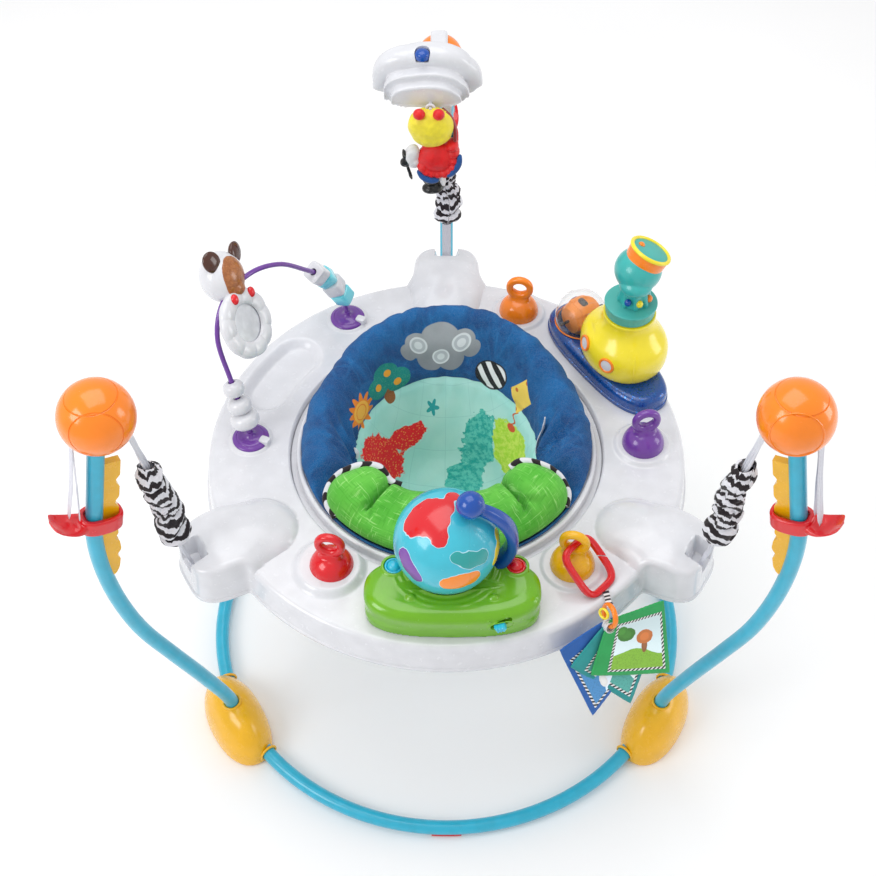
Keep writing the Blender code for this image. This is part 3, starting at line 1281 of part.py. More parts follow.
def main():
    clear_scene()
    back = post_at(ADJUSTER_Z)[0] + STRAIGHT.z * WING_REACH + STRAIGHT.x * (WING_RISE - WING_TIP)
    front = RING_R + TUBE_R
    axis = empty("ring_axis", place=(0, (front - back) / 2, 0))
    make_frame(axis)
    make_tray(axis)
    make_seat_ring(axis)
    make_seat_pouch(axis)
    make_seat_front(axis)
    make_globe_base(axis)
    make_globe(axis)
    make_globe_arm(axis)
    make_buttons(axis)
    make_knobs(axis)
    make_link(axis)
    make_cards(axis)
    make_arch(axis)
    make_beads(axis)
    make_mirror(axis)
    make_submarine(empty("submarine_side", axis, turn=SUB_AZIMUTH))
    make_cloud(axis)
    make_hanging_toy(axis)


main()
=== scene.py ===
"""The looks of a baby activity center: glossy moulded plastic, painted tube, webbing and sewn cloth."""

import math

import bmesh
import bpy
import numpy as np
from mathutils import Matrix, Vector, noise


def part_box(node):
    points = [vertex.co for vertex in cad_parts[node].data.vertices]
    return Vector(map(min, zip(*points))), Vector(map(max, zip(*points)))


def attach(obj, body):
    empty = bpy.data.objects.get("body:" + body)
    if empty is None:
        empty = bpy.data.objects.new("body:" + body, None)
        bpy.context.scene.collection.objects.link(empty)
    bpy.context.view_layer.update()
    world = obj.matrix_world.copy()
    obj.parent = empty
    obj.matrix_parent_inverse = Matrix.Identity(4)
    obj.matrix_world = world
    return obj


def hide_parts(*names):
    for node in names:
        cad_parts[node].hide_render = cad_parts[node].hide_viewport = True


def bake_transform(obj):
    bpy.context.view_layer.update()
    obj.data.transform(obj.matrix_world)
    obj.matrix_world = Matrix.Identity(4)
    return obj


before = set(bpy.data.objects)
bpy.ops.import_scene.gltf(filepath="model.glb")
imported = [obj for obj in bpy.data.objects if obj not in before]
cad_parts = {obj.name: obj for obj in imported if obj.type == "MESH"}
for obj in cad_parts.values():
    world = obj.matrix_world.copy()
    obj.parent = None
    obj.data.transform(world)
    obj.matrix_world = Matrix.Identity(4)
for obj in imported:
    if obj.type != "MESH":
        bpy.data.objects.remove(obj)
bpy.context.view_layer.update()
ring_low, ring_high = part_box("seat_ring")
AXIS = Vector(((ring_low[0] + ring_high[0]) / 2, (ring_low[1] + ring_high[1]) / 2, 0))
POST_AZIMUTHS = (210, 330, 90)
GAP = 0.0003
IN_PLACE = Matrix.Identity(4)

# Shader building


class Value:
    """A shader socket on which arithmetic makes Math nodes."""

    def __init__(self, shade, socket):
        self.shade = shade
        self.socket = socket

    def math(self, operation, *others):
        return self.shade.math(operation, self, *others)

    def __add__(self, other):
        return self.math("ADD", other)

    def __radd__(self, other):
        return self.math("ADD", other)

    def __sub__(self, other):
        return self.math("SUBTRACT", other)

    def __rsub__(self, other):
        return self.shade.math("SUBTRACT", other, self)

    def __mul__(self, other):
        return self.math("MULTIPLY", other)

    def __rmul__(self, other):
        return self.math("MULTIPLY", other)

    def __truediv__(self, other):
        return self.math("DIVIDE", other)

    def __pow__(self, other):
        return self.math("POWER", other)

    def __abs__(self):
        return self.math("ABSOLUTE")


class Shade:
    """One material and the nodes that feed its shader."""

    def __init__(self, name, **sockets):
        self.material = bpy.data.materials.new(name)
        self.material.use_nodes = True
        self.tree = self.material.node_tree
        self.shader = self.tree.nodes["Principled BSDF"]
        for key, value in sockets.items():
            self.shader.inputs[key.replace("_", " ")].default_value = value

    def new(self, kind, **settings):
        node = self.tree.nodes.new("ShaderNode" + kind)
        for key, value in settings.items():
            setattr(node, key, value)
        return node

    def feed(self, value, socket):
        if isinstance(value, Value):
            self.tree.links.new(value.socket, socket)
        elif isinstance(value, bpy.types.NodeSocket):
            self.tree.links.new(value, socket)
        else:
            socket.default_value = value

    def math(self, operation, *values):
        node = self.new("Math", operation=operation)
        for value, socket in zip(values, node.inputs):
            self.feed(value, socket)
        return Value(self, node.outputs[0])

    def soft(self, value, low, high):
        """Rises smoothly from 0 at low to 1 at high. high may be below low."""
        node = self.new("MapRange", interpolation_type="SMOOTHSTEP")
        for item, socket in zip((value, low, high), node.inputs):
            self.feed(item, socket)
        if low > high:
            node.inputs[1].default_value, node.inputs[2].default_value = high, low
            node.inputs[3].default_value, node.inputs[4].default_value = 1.0, 0.0
        return Value(self, node.outputs[0])

    def place(self):
        """The point of the surface in metres, as it lies at rest."""
        return self.new("TexCoord").outputs["Object"]

    def along(self, name):
        """A vector that the mesh carries under this name."""
        node = self.new("Attribute", attribute_name=name)
        return node.outputs["Vector"]

    def axes(self, vector):
        node = self.new("SeparateXYZ")
        self.feed(vector, node.inputs[0])
        return [Value(self, socket) for socket in node.outputs]

    def vector(self, x, y, z=0.0):
        node = self.new("CombineXYZ")
        for value, socket in zip((x, y, z), node.inputs):
            self.feed(value, socket)
        return node.outputs[0]

    def noise(self, scale, detail=2.0, where=None, rough=0.5, distort=0.0):
        node = self.new("TexNoise")
        self.feed(where or self.place(), node.inputs["Vector"])
        for key, value in (("Scale", scale), ("Detail", detail), ("Roughness", rough),
                           ("Distortion", distort)):
            node.inputs[key].default_value = value
        return Value(self, node.outputs["Fac"])

    def cells(self, scale, where=None, feature="F1", output="Distance"):
        node = self.new("TexVoronoi", feature=feature)
        self.feed(where or self.place(), node.inputs["Vector"])
        node.inputs["Scale"].default_value = scale
        return Value(self, node.outputs[output])

    def mix(self, share, below, above):
        """From colour below, at 0, to colour above, at 1."""
        node = self.new("Mix", data_type="RGBA")
        self.feed(share, node.inputs[0])
        self.feed(below if not isinstance(below, tuple) else rgba(below), node.inputs[6])
        self.feed(above if not isinstance(above, tuple) else rgba(above), node.inputs[7])
        return node.outputs[2]

    def length(self, x, y):
        """How far a point lies from the origin."""
        return self.math("SQRT", x * x + y * y)

    def colour(self, socket):
        self.feed(socket, self.shader.inputs["Base Color"])

    def rough(self, value):
        self.feed(value, self.shader.inputs["Roughness"])

    def bump(self, height, metres, strength=1.0):
        node = self.new("Bump")
        node.inputs["Strength"].default_value = strength
        node.inputs["Distance"].default_value = metres
        self.feed(height, node.inputs["Height"])
        self.feed(node.outputs[0], self.shader.inputs["Normal"])


def rgba(colour):
    return (*colour, 1.0) if len(colour) == 3 else colour


def srgb(red, green, blue):
    """A screen colour of 0 to 255 as the linear light that shaders take."""
    def linear(value):
        value /= 255
        return value / 12.92 if value <= 0.04045 else ((value + 0.055) / 1.055) ** 2.4
    return tuple(linear(value) for value in (red, green, blue))


def darker(colour, share):
    return tuple(value * share for value in colour[:3])


# Materials


def moulded(name, colour, rough=0.2, shine=0.4):
    """Glossy injection-moulded plastic: faint waves in the surface, handling marks in the gloss."""
    shade = Shade(name, Coat_Weight=shine, Coat_Roughness=0.06)
    cloudy = shade.noise(38, 3)
    shade.colour(shade.mix(shade.soft(cloudy, 0.3, 0.75), darker(colour, 0.93), colour))
    smudges = shade.noise(95, 4, rough=0.65)
    shade.rough(rough + 0.10 * shade.soft(smudges, 0.45, 0.8))
    waves = shade.noise(24, 1) + 0.05 * shade.noise(1400, 1)
    shade.bump(waves, 0.00016, 0.3)
    return shade.material


def painted(name, colour):
    """Powder paint on steel tube, with its fine orange peel."""
    shade = Shade(name, Coat_Weight=0.5, Coat_Roughness=0.1)
    shade.colour(shade.mix(shade.soft(shade.noise(60, 4), 0.3, 0.7), darker(colour, 0.9), colour))
    shade.rough(0.28 + 0.12 * shade.noise(150, 4))
    shade.bump(shade.noise(900, 2), 0.0002, 0.3)
    return shade.material


CYAN = srgb(30, 176, 208)
GOLD = srgb(242, 182, 10)
ORANGE = srgb(253, 134, 12)
RED = srgb(222, 10, 26)
WHITE = srgb(220, 221, 226)

cyan_paint = painted("cyan_paint", CYAN)
gold_plastic = moulded("gold_plastic", GOLD, 0.24, 0.3)
orange_plastic = moulded("orange_plastic", ORANGE)
red_plastic = moulded("red_plastic", RED)
white_plastic = moulded("white_plastic", WHITE, 0.22, 0.3)
green_plastic = moulded("green_plastic", srgb(108, 175, 2))
blue_plastic = moulded("blue_plastic", srgb(0, 74, 168))
sea_plastic = moulded("sea_plastic", srgb(40, 190, 220))
purple_plastic = moulded("purple_plastic", srgb(112, 58, 158))
teal_plastic = moulded("teal_plastic", srgb(52, 176, 172), 0.3)
yellow_plastic = moulded("yellow_plastic", srgb(246, 226, 40), 0.22)
ice_plastic = moulded("ice_plastic", srgb(118, 224, 238), 0.18)
dark_plastic = moulded("dark_plastic", srgb(24, 24, 28), 0.2)

# Shapes


def ring_at(centre, across, up, half, count, power=2.0):
    """Points of a superellipse with these half widths along two directions."""
    points = []
    for k in range(count):
        angle = 2 * math.pi * k / count
        c, s = math.cos(angle), math.sin(angle)
        x = math.copysign(abs(c) ** (2 / power), c) * half[0]
        y = math.copysign(abs(s) ** (2 / power), s) * half[1]
        points.append(Vector(centre) + x * Vector(across) + y * Vector(up))
    return points


def flat_ring(x, y, z, half, count, power=2.0):
    return ring_at((x, y, z), (1, 0, 0), (0, 1, 0), half, count, power)


def skin(rings, wrap=False):
    """A surface over rings of points. A ring of one point is a pole."""
    bm = bmesh.new()
    rows = [[bm.verts.new(point) for point in ring] for ring in rings]
    pairs = list(zip(rows, rows[1:]))
    if wrap:
        pairs.append((rows[-1], rows[0]))
    for lower, upper in pairs:
        count = max(len(lower), len(upper))
        for k in range(count):
            corners = [
                lower[k % len(lower)],
                lower[(k + 1) % len(lower)],
                upper[(k + 1) % len(upper)],
                upper[k % len(upper)],
            ]
            bm.faces.new(list(dict.fromkeys(corners)))
    if not wrap:
        for row in (rows[0], rows[-1]):
            if len(row) > 2:
                bm.faces.new(row)
    bmesh.ops.recalc_face_normals(bm, faces=bm.faces)
    return bm


def round_section(radius, height, thick, count, tall=None):
    """A small oval of (radius, height) points, for a bead that is spun about Z."""
    angles = [2 * math.pi * k / count for k in range(count)]
    return [(radius + thick * math.cos(a), height + (tall or thick) * math.sin(a)) for a in angles]


def turned(profile, sides, wrap=False):
    """A profile of (radius, height) spun about Z."""
    rings = []
    for radius, z in profile:
        rings.append([Vector((0, 0, z))] if radius == 0 else flat_ring(0, 0, z, (radius, radius), sides))
    return skin(rings, wrap)


def ball(centre, radii, sides, rows):
    bm = bmesh.new()
    bmesh.ops.create_uvsphere(bm, u_segments=sides, v_segments=rows, radius=1.0)
    radii = (radii,) * 3 if isinstance(radii, float) else radii
    place = Matrix.Translation(Vector(centre)) @ Matrix.Diagonal((*radii, 1))
    return moved(bm, place)


def moved(bm, matrix):
    bmesh.ops.transform(bm, verts=bm.verts, matrix=matrix)
    return bm


def joined(*parts):
    whole = bmesh.new()
    for part in parts:
        mesh = bpy.data.meshes.new("part")
        part.to_mesh(mesh)
        part.free()
        whole.from_mesh(mesh)
        bpy.data.meshes.remove(mesh)
    return whole


def spun(degrees, axis="Z"):
    return Matrix.Rotation(math.radians(degrees), 4, axis)


def facing(direction, place):
    """Takes +Z to this direction, then moves to this place."""
    turn = Vector(direction).to_track_quat("Z", "Y").to_matrix().to_4x4()
    return Matrix.Translation(Vector(place)) @ turn


def frame_of(x_axis, y_axis, place):
    """Axes with X and Y as given (Y squared up to X) and Z across both."""
    x = Vector(x_axis).normalized()
    z = x.cross(Vector(y_axis)).normalized()
    turn = Matrix((x, z.cross(x), z)).transposed().to_4x4()
    return Matrix.Translation(Vector(place)) @ turn


def smooth_path(points, steps, beyond=None):
    """A curve through the points. beyond is a point that its end looks to."""
    points = [Vector(point) for point in points]
    last = Vector(beyond) if beyond else 2 * points[-1] - points[-2]
    known = [2 * points[0] - points[1], *points, last]
    path = []
    for a, b, c, d in zip(known, known[1:], known[2:], known[3:]):
        for k in range(steps):
            t = k / steps
            cubic = (3 * b - a - 3 * c + d) * t**3
            path.append(0.5 * ((2 * b) + (c - a) * t + (2 * a - 5 * b + 4 * c - d) * t**2 + cubic))
    return [*path, points[-1]]


def directions(path):
    ahead = [path[1] - path[0]] + [b - a for a, b in zip(path, path[2:])] + [path[-1] - path[-2]]
    return [step.normalized() for step in ahead]


def tube(path, radius, sides, side=(0, 1, 0)):
    """A rod along a path. radius may be a function of the share along it, and side any way it never runs."""
    size = radius if callable(radius) else lambda share: radius
    rings = []
    for k, (point, ahead) in enumerate(zip(path, directions(path))):
        across = ahead.cross(Vector(side)).normalized()
        up = ahead.cross(across)
        r = size(k / (len(path) - 1))
        rings.append(ring_at(point, across, up, (r, r), sides))
    return skin(rings)


def smoothstep(low, high, value):
    t = np.clip((value - low) / (high - low), 0.0, 1.0)
    rise = t * t * (3 - 2 * t)
    return rise if np.ndim(rise) else float(rise)


def around(azimuth, radius, z=0.0):
    angle = math.radians(azimuth)
    return Vector((radius * math.cos(angle), radius * math.sin(angle), z))


CENTRE = Matrix.Translation(AXIS)


def side_of(index):
    """The frame of a post's side: X out from the axis through the post."""
    return CENTRE @ spun(POST_AZIMUTHS[index])


def piece(name, bm, material, body, stands_for=(), crease=35, place=CENTRE):
    """A finished piece from a bmesh drawn about the ring's axis."""
    bmesh.ops.transform(bm, verts=bm.verts, matrix=place)
    mesh = bpy.data.meshes.new(name)
    bm.to_mesh(mesh)
    bm.free()
    mesh.materials.append(material)
    mesh.shade_smooth()
    if crease:
        mesh.set_sharp_from_angle(angle=math.radians(crease))
    made = bpy.data.objects.new(name, mesh)
    bpy.context.scene.collection.objects.link(made)
    if body:
        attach(made, body)
    if stands_for:
        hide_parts(stands_for)
    return made


def sharpen(made, degrees):
    """Marks as sharp the edges over this angle."""
    made.data.set_sharp_from_angle(angle=math.radians(degrees))


def bevelled(made, width, segments, angle=40):
    modifier = made.modifiers.new("edges", "BEVEL")
    modifier.width = width
    modifier.segments = segments
    modifier.angle_limit = math.radians(angle)
    modifier.harden_normals = False


def cut(made, bm, place=CENTRE):
    """Cuts a shape from a piece and leaves plain mesh behind."""
    bmesh.ops.transform(bm, verts=bm.verts, matrix=place)
    mesh = bpy.data.meshes.new("cutter")
    bm.to_mesh(mesh)
    bm.free()
    tool = bpy.data.objects.new("cutter", mesh)
    bpy.context.scene.collection.objects.link(tool)
    modifier = made.modifiers.new("cut", "BOOLEAN")
    modifier.operation = "DIFFERENCE"
    modifier.object = tool
    settle(made)
    bpy.data.objects.remove(tool)


def settle(made):
    """Applies a piece's modifiers to its mesh."""
    graph = bpy.context.evaluated_depsgraph_get()
    mesh = bpy.data.meshes.new_from_object(made.evaluated_get(graph))
    made.modifiers.clear()
    made.data = mesh


def label(made, name, vectors):
    """Gives every point of a mesh a vector that shaders can read."""
    found = made.data.attributes.new(name, "FLOAT_VECTOR", "POINT")
    found.data.foreach_set("vector", [value for vector in vectors for value in vector])


def closed_grid(rows):
    """A surface over rows and columns of points that closes both ways, about the ring's axis."""
    count, width = rows.shape[:2]
    points = rows.reshape(-1, 3) + np.array(AXIS)
    faces = []
    for i in range(count):
        for j in range(width):
            k, m = (i + 1) % count, (j + 1) % width
            faces.append((i * width + j, i * width + m, k * width + m, k * width + j))
    mesh = bpy.data.meshes.new("grid")
    mesh.from_pydata(points.tolist(), [], faces)
    bm = bmesh.new()
    bm.from_mesh(mesh)
    bpy.data.meshes.remove(mesh)
    bmesh.ops.recalc_face_normals(bm, faces=bm.faces)
    return bm


def melt(made, voxel, rounds):
    """Runs crossing shapes into one moulded body with small fillets."""
    modifier = made.modifiers.new("one", "REMESH")
    modifier.mode = "VOXEL"
    modifier.voxel_size = voxel
    modifier.use_smooth_shade = True
    soften = made.modifiers.new("soft", "SMOOTH")
    soften.iterations = rounds
    soften.factor = 0.5
    settle(made)
    made.data.shade_smooth()


# Frame

TUBE_R = 0.0111
RING_R = 0.383
RING_LIFT = 0.0155
FOOT_R = 0.396
FOOT_HALF = (0.043, 0.080)
FOOT_H = 0.078
SOCKET_HALF = 0.042
LIP_R = 0.0022
POST_CURVE = (
    (FOOT_R, 0.034), (0.398, 0.090), (0.430, 0.185), (0.4665, 0.282),
    (0.4985, 0.372), (0.5175, 0.460), (0.5255, 0.545), (0.5225, 0.618),
)
POST_TOP = (0.484, 0.800)
STRAIGHT = Vector((POST_TOP[0] - POST_CURVE[-1][0], 0, POST_TOP[1] - POST_CURVE[-1][1])).normalized()
BALL_R = 0.0475
BACK_BALL_R = 0.0345
BACK_POST = 2
BALL_AT = Vector((0.4798, 0, 0.8202))
RACK_Z = (0.524, 0.742)
RACK_DEPTH = 0.0195
RACK_TEETH = 6
ADJUSTER_Z = 0.641
SIDES = ("left", "right", "back")


def post_path():
    reach = (Vector(POST_CURVE[-1]) - Vector(POST_CURVE[-2])).length
    bend = [(r, 0, z) for r, z in POST_CURVE]
    path = smooth_path(bend, 8, beyond=Vector(bend[-1]) + reach * STRAIGHT)
    return [*path, Vector((POST_TOP[0], 0, POST_TOP[1]))]


def post_at(z):
    """The post's centreline at a height: its distance from the axis and its lean."""
    path = post_path()
    for a, b in zip(path, path[1:]):
        if a.z <= z <= b.z:
            return a.x + (b.x - a.x) * (z - a.z) / (b.z - a.z), (b.x - a.x) / (b.z - a.z)
    return POST_TOP[0], STRAIGHT.x / STRAIGHT.z


def make_tubes(index):
    covered = math.degrees(FOOT_HALF[1] / RING_R)
    inside = covered - math.degrees(SOCKET_HALF / RING_R)
    steps = 48
    path = []
    for k in range(steps + 1):
        azimuth = POST_AZIMUTHS[index] + inside + (120 - 2 * inside) * k / steps
        path.append(around(azimuth, RING_R, RING_LIFT))
    piece(f"floor_tube_{index + 1}", tube(path, TUBE_R, 32, (0, 0, 1)), cyan_paint, "frame",
          f"base_tube_{index + 1}")
    piece(f"post_tube_{index + 1}", tube(post_path(), TUBE_R, 32), cyan_paint, "frame",
          f"post_{index + 1}", place=side_of(index))


def make_foot(index):
    """A domed foot with a low ridge along the ring and a lip at each socket."""
    levels = smooth_path(
        ((1.0, 0, 0.0006), (1.03, 0, 0.006), (1.015, 0, 0.018), (0.98, 0, 0.030), (0.915, 0, 0.042),
         (0.82, 0, 0.052), (0.69, 0, 0.062), (0.54, 0, 0.0695), (0.41, 0, 0.0745), (0.30, 0, FOOT_H)),
        3,
    )
    rings = []
    for level in levels:
        ring = []
        for point in flat_ring(0, 0, level.z, (FOOT_HALF[0] * level.x, FOOT_HALF[1] * level.x), 96, 2.2):
            along = abs(point.y) / FOOT_HALF[1]
            ridge = math.exp(-((point.x / 0.016) ** 2)) * smoothstep(0.25, 0.6, along)
            lift = 0.0040 * ridge * smoothstep(0.0, 0.020, level.z)
            narrow = 1 - 0.10 * smoothstep(0.2, 1.0, along) * smoothstep(0.02, 0.07, level.z)
            ring.append(Vector((FOOT_R - 0.003 + point.x * narrow, point.y, level.z + lift)))
        rings.append(ring)
    rings.insert(0, [Vector((p.x * 0.97 + 0.03 * FOOT_R, p.y * 0.97, 0.0001)) for p in rings[0]])
    piece(f"foot_dome_{index + 1}", skin(rings), gold_plastic, "frame", f"foot_{index + 1}",
          place=side_of(index), crease=50)
    lip = round_section(TUBE_R + GAP + LIP_R, 0.0, LIP_R, 12)
    r, lean = post_at(FOOT_H)
    collar = moved(turned(lip, 48, wrap=True), facing((lean, 0, 1), (r, 0, FOOT_H + 0.0005)))
    parts = [collar]
    for side in (-1, 1):
        angle = side * math.degrees(FOOT_HALF[1] * 0.985 / RING_R)
        spot = around(angle, RING_R, RING_LIFT)
        along = Vector((-spot.y, spot.x, 0))
        parts.append(moved(turned(lip, 48, wrap=True), facing(along, spot)))
    piece(f"foot_lips_{index + 1}", joined(*parts), gold_plastic, "frame",
          place=side_of(index), crease=0)


BALL_DISCS = (  # which way the discs of the left and the right ball face
    ((0, 0, 1), (0.185, -0.96, 0.2)),
    ((0, 0, 1), (-0.185, -0.96, 0.2)),
)
DISC_REACH = math.radians(41)


def make_ball(index):
    """A ball with a fine groove round its moulded disc; the cloud's ball is smaller and plain."""
    side = side_of(index)
    if index == BACK_POST:
        shape = ball(BALL_AT + Vector((0, 0.010, -0.002)), BACK_BALL_R, 96, 64)
    else:
        shape = ball(BALL_AT, BALL_R, 96, 64)
    made = piece(f"post_ball_{index + 1}", shape, orange_plastic, "frame", f"ball_{index + 1}",
                 place=side, crease=0)
    if index == BACK_POST:
        return
    section = round_section(BALL_R * math.sin(DISC_REACH), BALL_R * math.cos(DISC_REACH), 0.0011, 8)
    for direction in BALL_DISCS[index]:
        cut(made, moved(turned(section, 128, wrap=True), facing(direction, side @ BALL_AT)), place=IN_PLACE)
    made.data.shade_smooth()
    sharpen(made, 40)


def make_rack(index):
    """A toothed strip: a square head, five scalloped teeth and a rounded tail."""
    per_tooth = 16
    steps = RACK_TEETH * per_tooth
    edge, back = [], []
    for k in range(steps + 1):
        share = k / steps
        z = RACK_Z[0] + (RACK_Z[1] - RACK_Z[0]) * share
        r, lean = post_at(z)
        normal = Vector((1, 0, -lean)).normalized()
        phase = (k / per_tooth) % 1.0
        tooth = 0.74 + 0.26 * smoothstep(0.02, 0.30, phase) * (1 - smoothstep(0.74, 0.98, phase))
        if k > (RACK_TEETH - 1) * per_tooth:
            tooth = 0.74 + 0.26 * smoothstep(0.10, 0.34, phase or 1.0)
        taper = min(1.0, math.sqrt(min(1.0, k / (1.4 * per_tooth))) * 0.92 + 0.08)
        depth = TUBE_R + RACK_DEPTH * tooth * taper
        edge.append(Vector((r, 0, z)) - normal * depth)
        back.append(Vector((r, 0, z)) - normal * (TUBE_R - 0.002))
    outline = edge + back[::-1]
    rings = [[point + Vector((0, y, 0)) for point in outline] for y in (-0.005, 0.005)]
    made = piece(f"rack_strip_{index + 1}", skin(rings), gold_plastic, "frame", f"rack_{index + 1}",
                 place=side_of(index))
    bevelled(made, 0.0014, 3, 50)


def adjuster_place():
    return frame_of(Vector((STRAIGHT.z, 0, -STRAIGHT.x)), (0, 1, 0), (post_at(ADJUSTER_Z)[0], 0, ADJUSTER_Z))


def make_adjuster(index):
    """A clicking collar whose spoon-shaped tongue holds the webbing."""
    rings = []
    outline = ring_at((-0.0085, 0, 0), (1, 0, 0), (0, 1, 0), (0.0285, 0.0195), 64, 2.6)
    inner = ring_at((-0.0092, 0, 0), (1, 0, 0), (0, 1, 0), (0.0220, 0.0122), 64, 3.2)
    for z, grow in ((-0.0120, -0.0022), (-0.0100, 0.0), (0.0100, 0.0), (0.0120, -0.0022)):
        ring = []
        for point in outline:
            away = (point - Vector((-0.0085, 0, 0))).normalized()
            ring.append(point + grow * away + Vector((0, 0, z)))
        rings.append(ring)
    rings.append([point + Vector((0, 0, 0.0115)) for point in inner])
    rings.append([point + Vector((0, 0, -0.0115)) for point in inner])
    collar = skin(rings, wrap=True)
    spine = smooth_path(((0.010, 0, 0.0), (0.0185, 0, 0.0), (0.030, 0, 0.002), (0.045, 0, 0.009),
                         (0.0545, 0, 0.0160), (0.0590, 0, 0.0195)), 5)
    tongue = []
    for k, point in enumerate(spine):
        share = k / (len(spine) - 1)
        wide = (0.0135 + 0.0065 * math.sin(math.pi * min(1.0, share * 1.1))
                - 0.013 * smoothstep(0.80, 1.0, share))
        thick = 0.0085 - 0.0060 * smoothstep(0.0, 0.6, share)
        ring = []
        for spot in ring_at(point, (0, 1, 0), (0, 0, 1), (wide, thick), 40, 2.6):
            dip = (0.0045 * (1 - (spot.y / wide) ** 2) * smoothstep(0.25, 0.6, share)
                   * (1 - smoothstep(0.85, 1, share)))
            ring.append(spot - Vector((0, 0, dip)))
        tongue.append(ring)
    place = side_of(index) @ adjuster_place()
    made = piece(f"height_adjuster_{index + 1}", joined(collar, skin(tongue)), red_plastic,
                 f"{SIDES[index]}_adjuster", f"adjuster_{index + 1}", place=place)
    melt(made, 0.0009, 4)


for side_index in range(3):
    make_tubes(side_index)
    make_foot(side_index)
    make_ball(side_index)
    make_rack(side_index)
    make_adjuster(side_index)


# Tray

TRAY_Z = 0.478
TRAY_R = 0.350
SKIRT_Z = 0.430
ARM_HALF = 0.054
ARM_END = 0.416
ARM_ROOT = 0.250
ARM_RISE = 0.027
LEDGE_R = 0.2305
LEDGE_DROP = 0.014
LEDGE_Z = TRAY_Z - LEDGE_DROP
TRAY_BORE = 0.2165
BORE_FOOT = 0.440
RING_TOP = TRAY_Z + 0.0045
EDGE_ROUND = 0.0095
MOUTH = (0.3925, 0.0145, 0.4665)
PEDESTALS = (  # place, radius, height, width of the slope
    ((-0.1610, -0.2190), 0.0530, 0.0100, 0.012),
    ((0.1730, -0.2150), 0.0455, 0.0040, 0.006),
    ((0.1150, 0.2770), 0.0440, 0.0045, 0.006),
    ((0.2890, 0.0020), 0.0445, 0.0050, 0.007),
    ((-0.2890, 0.0130), 0.0330, 0.0028, 0.004),
    ((-0.1570, 0.2630), 0.0330, 0.0028, 0.004),
)
DISH_AZIMUTHS = (142.0, 158.5)
DISH_R = 0.2930
DISH_HALF = 0.0420
DISH_DROP = 0.0125


def tongue(offset):
    """How far an arm's outline reaches, this many degrees from its middle."""
    angle = math.radians(offset)
    middle, power = 0.300, 4.5
    low, high = TRAY_R * 0.9, ARM_END * 1.1
    for _ in range(30):
        r = (low + high) / 2
        out = max(0.0, r * math.cos(angle) - middle) / (ARM_END - middle)
        side = abs(r * math.sin(angle)) / ARM_HALF
        if out**power + side**power < 1:
            low = r
        else:
            high = r
    return low


def tray_outline():
    """The tray's outer edge: even points with soft inner corners, and the way out at each."""
    spacing, blend = 0.0022, 0.007
    raw = []
    for k in range(5760):
        azimuth = k / 16
        offset = min(abs((azimuth - post + 180) % 360 - 180) for post in POST_AZIMUTHS)
        r = max(TRAY_R, tongue(offset)) if offset < 20 else TRAY_R
        angle = math.radians(azimuth)
        raw.append((r * math.cos(angle), r * math.sin(angle)))
    raw = np.array(raw)
    closed = np.vstack([raw, raw[:1]])
    lengths = np.concatenate([[0], np.cumsum(np.linalg.norm(np.diff(closed, axis=0), axis=1))])
    count = int(lengths[-1] / spacing)
    where = np.arange(count) * lengths[-1] / count
    points = np.stack([np.interp(where, lengths, closed[:, i]) for i in (0, 1)], axis=1)
    reach = int(3 * blend / spacing)
    weights = np.exp(-0.5 * (np.arange(-reach, reach + 1) * spacing / blend) ** 2)
    weights /= weights.sum()
    points = sum(w * np.roll(points, k, axis=0) for w, k in zip(weights, range(-reach, reach + 1)))
    ahead = np.roll(points, -1, axis=0) - np.roll(points, 1, axis=0)
    normals = np.stack([ahead[:, 1], -ahead[:, 0]], axis=1)
    normals /= np.linalg.norm(normals, axis=1)[:, None]
    return points, normals


def dish_depth(x, y):
    """A bean-shaped snack dish that follows the tray's curve between the feet of the bead arch."""
    azimuth = np.degrees(np.arctan2(y, x)) % 360
    away = np.maximum(0, np.maximum(DISH_AZIMUTHS[0] - azimuth, azimuth - DISH_AZIMUTHS[1]))
    along = np.radians(away) * DISH_R
    r = np.hypot(x, y)
    distance = np.hypot(along, r - DISH_R)
    side = 1 - smoothstep(DISH_HALF - 0.018, DISH_HALF, distance)
    bowl = np.clip(1 - (distance / DISH_HALF) ** 2, 0, 1)
    return DISH_DROP * (0.68 * side + 0.32 * bowl * side)


def tray_height(x, y):
    """The height of the tray's upper face."""
    z = np.full_like(x, TRAY_Z)
    for (px, py), radius, height, slope in PEDESTALS:
        distance = np.hypot(x - px, y - py)
        z = z + height * (1 - smoothstep(radius - slope, radius, distance))
    z = z - dish_depth(x, y)
    for post in POST_AZIMUTHS:
        angle = math.radians(post)
        out = x * math.cos(angle) + y * math.sin(angle)
        side = -x * math.sin(angle) + y * math.cos(angle)
        wide = ARM_HALF * (1.0 + 0.30 * smoothstep(0.30, 0.37, out))
        core = ARM_ROOT + ARM_HALF
        distance = np.hypot(np.minimum(out - core, 0), side) / wide
        dome = np.clip(1 - np.clip(distance, 0, 1) ** 2.7, 0, 1) ** 0.72
        slope = 0.55 + 0.45 * smoothstep(ARM_ROOT, 0.345, out)
        rise = ARM_RISE * dome * slope * (out > 0)
        rise = rise * (1 - 0.50 * smoothstep(ARM_END - 0.052, ARM_END + 0.006, out))
        z = z + rise
    return z


def mouth_floor(x, y, z):
    """Sinks the strap's mouth into the end of each arm."""
    inner, half, floor = MOUTH
    for post in POST_AZIMUTHS:
        angle = math.radians(post)
        out = x * math.cos(angle) + y * math.sin(angle)
        side = np.abs(-x * math.sin(angle) + y * math.cos(angle))
        outside = np.hypot(np.maximum(inner - out, 0), np.maximum(side - half, 0))
        z = np.minimum(z, floor + 0.05 * smoothstep(0.0, 0.0085, outside) + 9 * (out < 0))
    return z


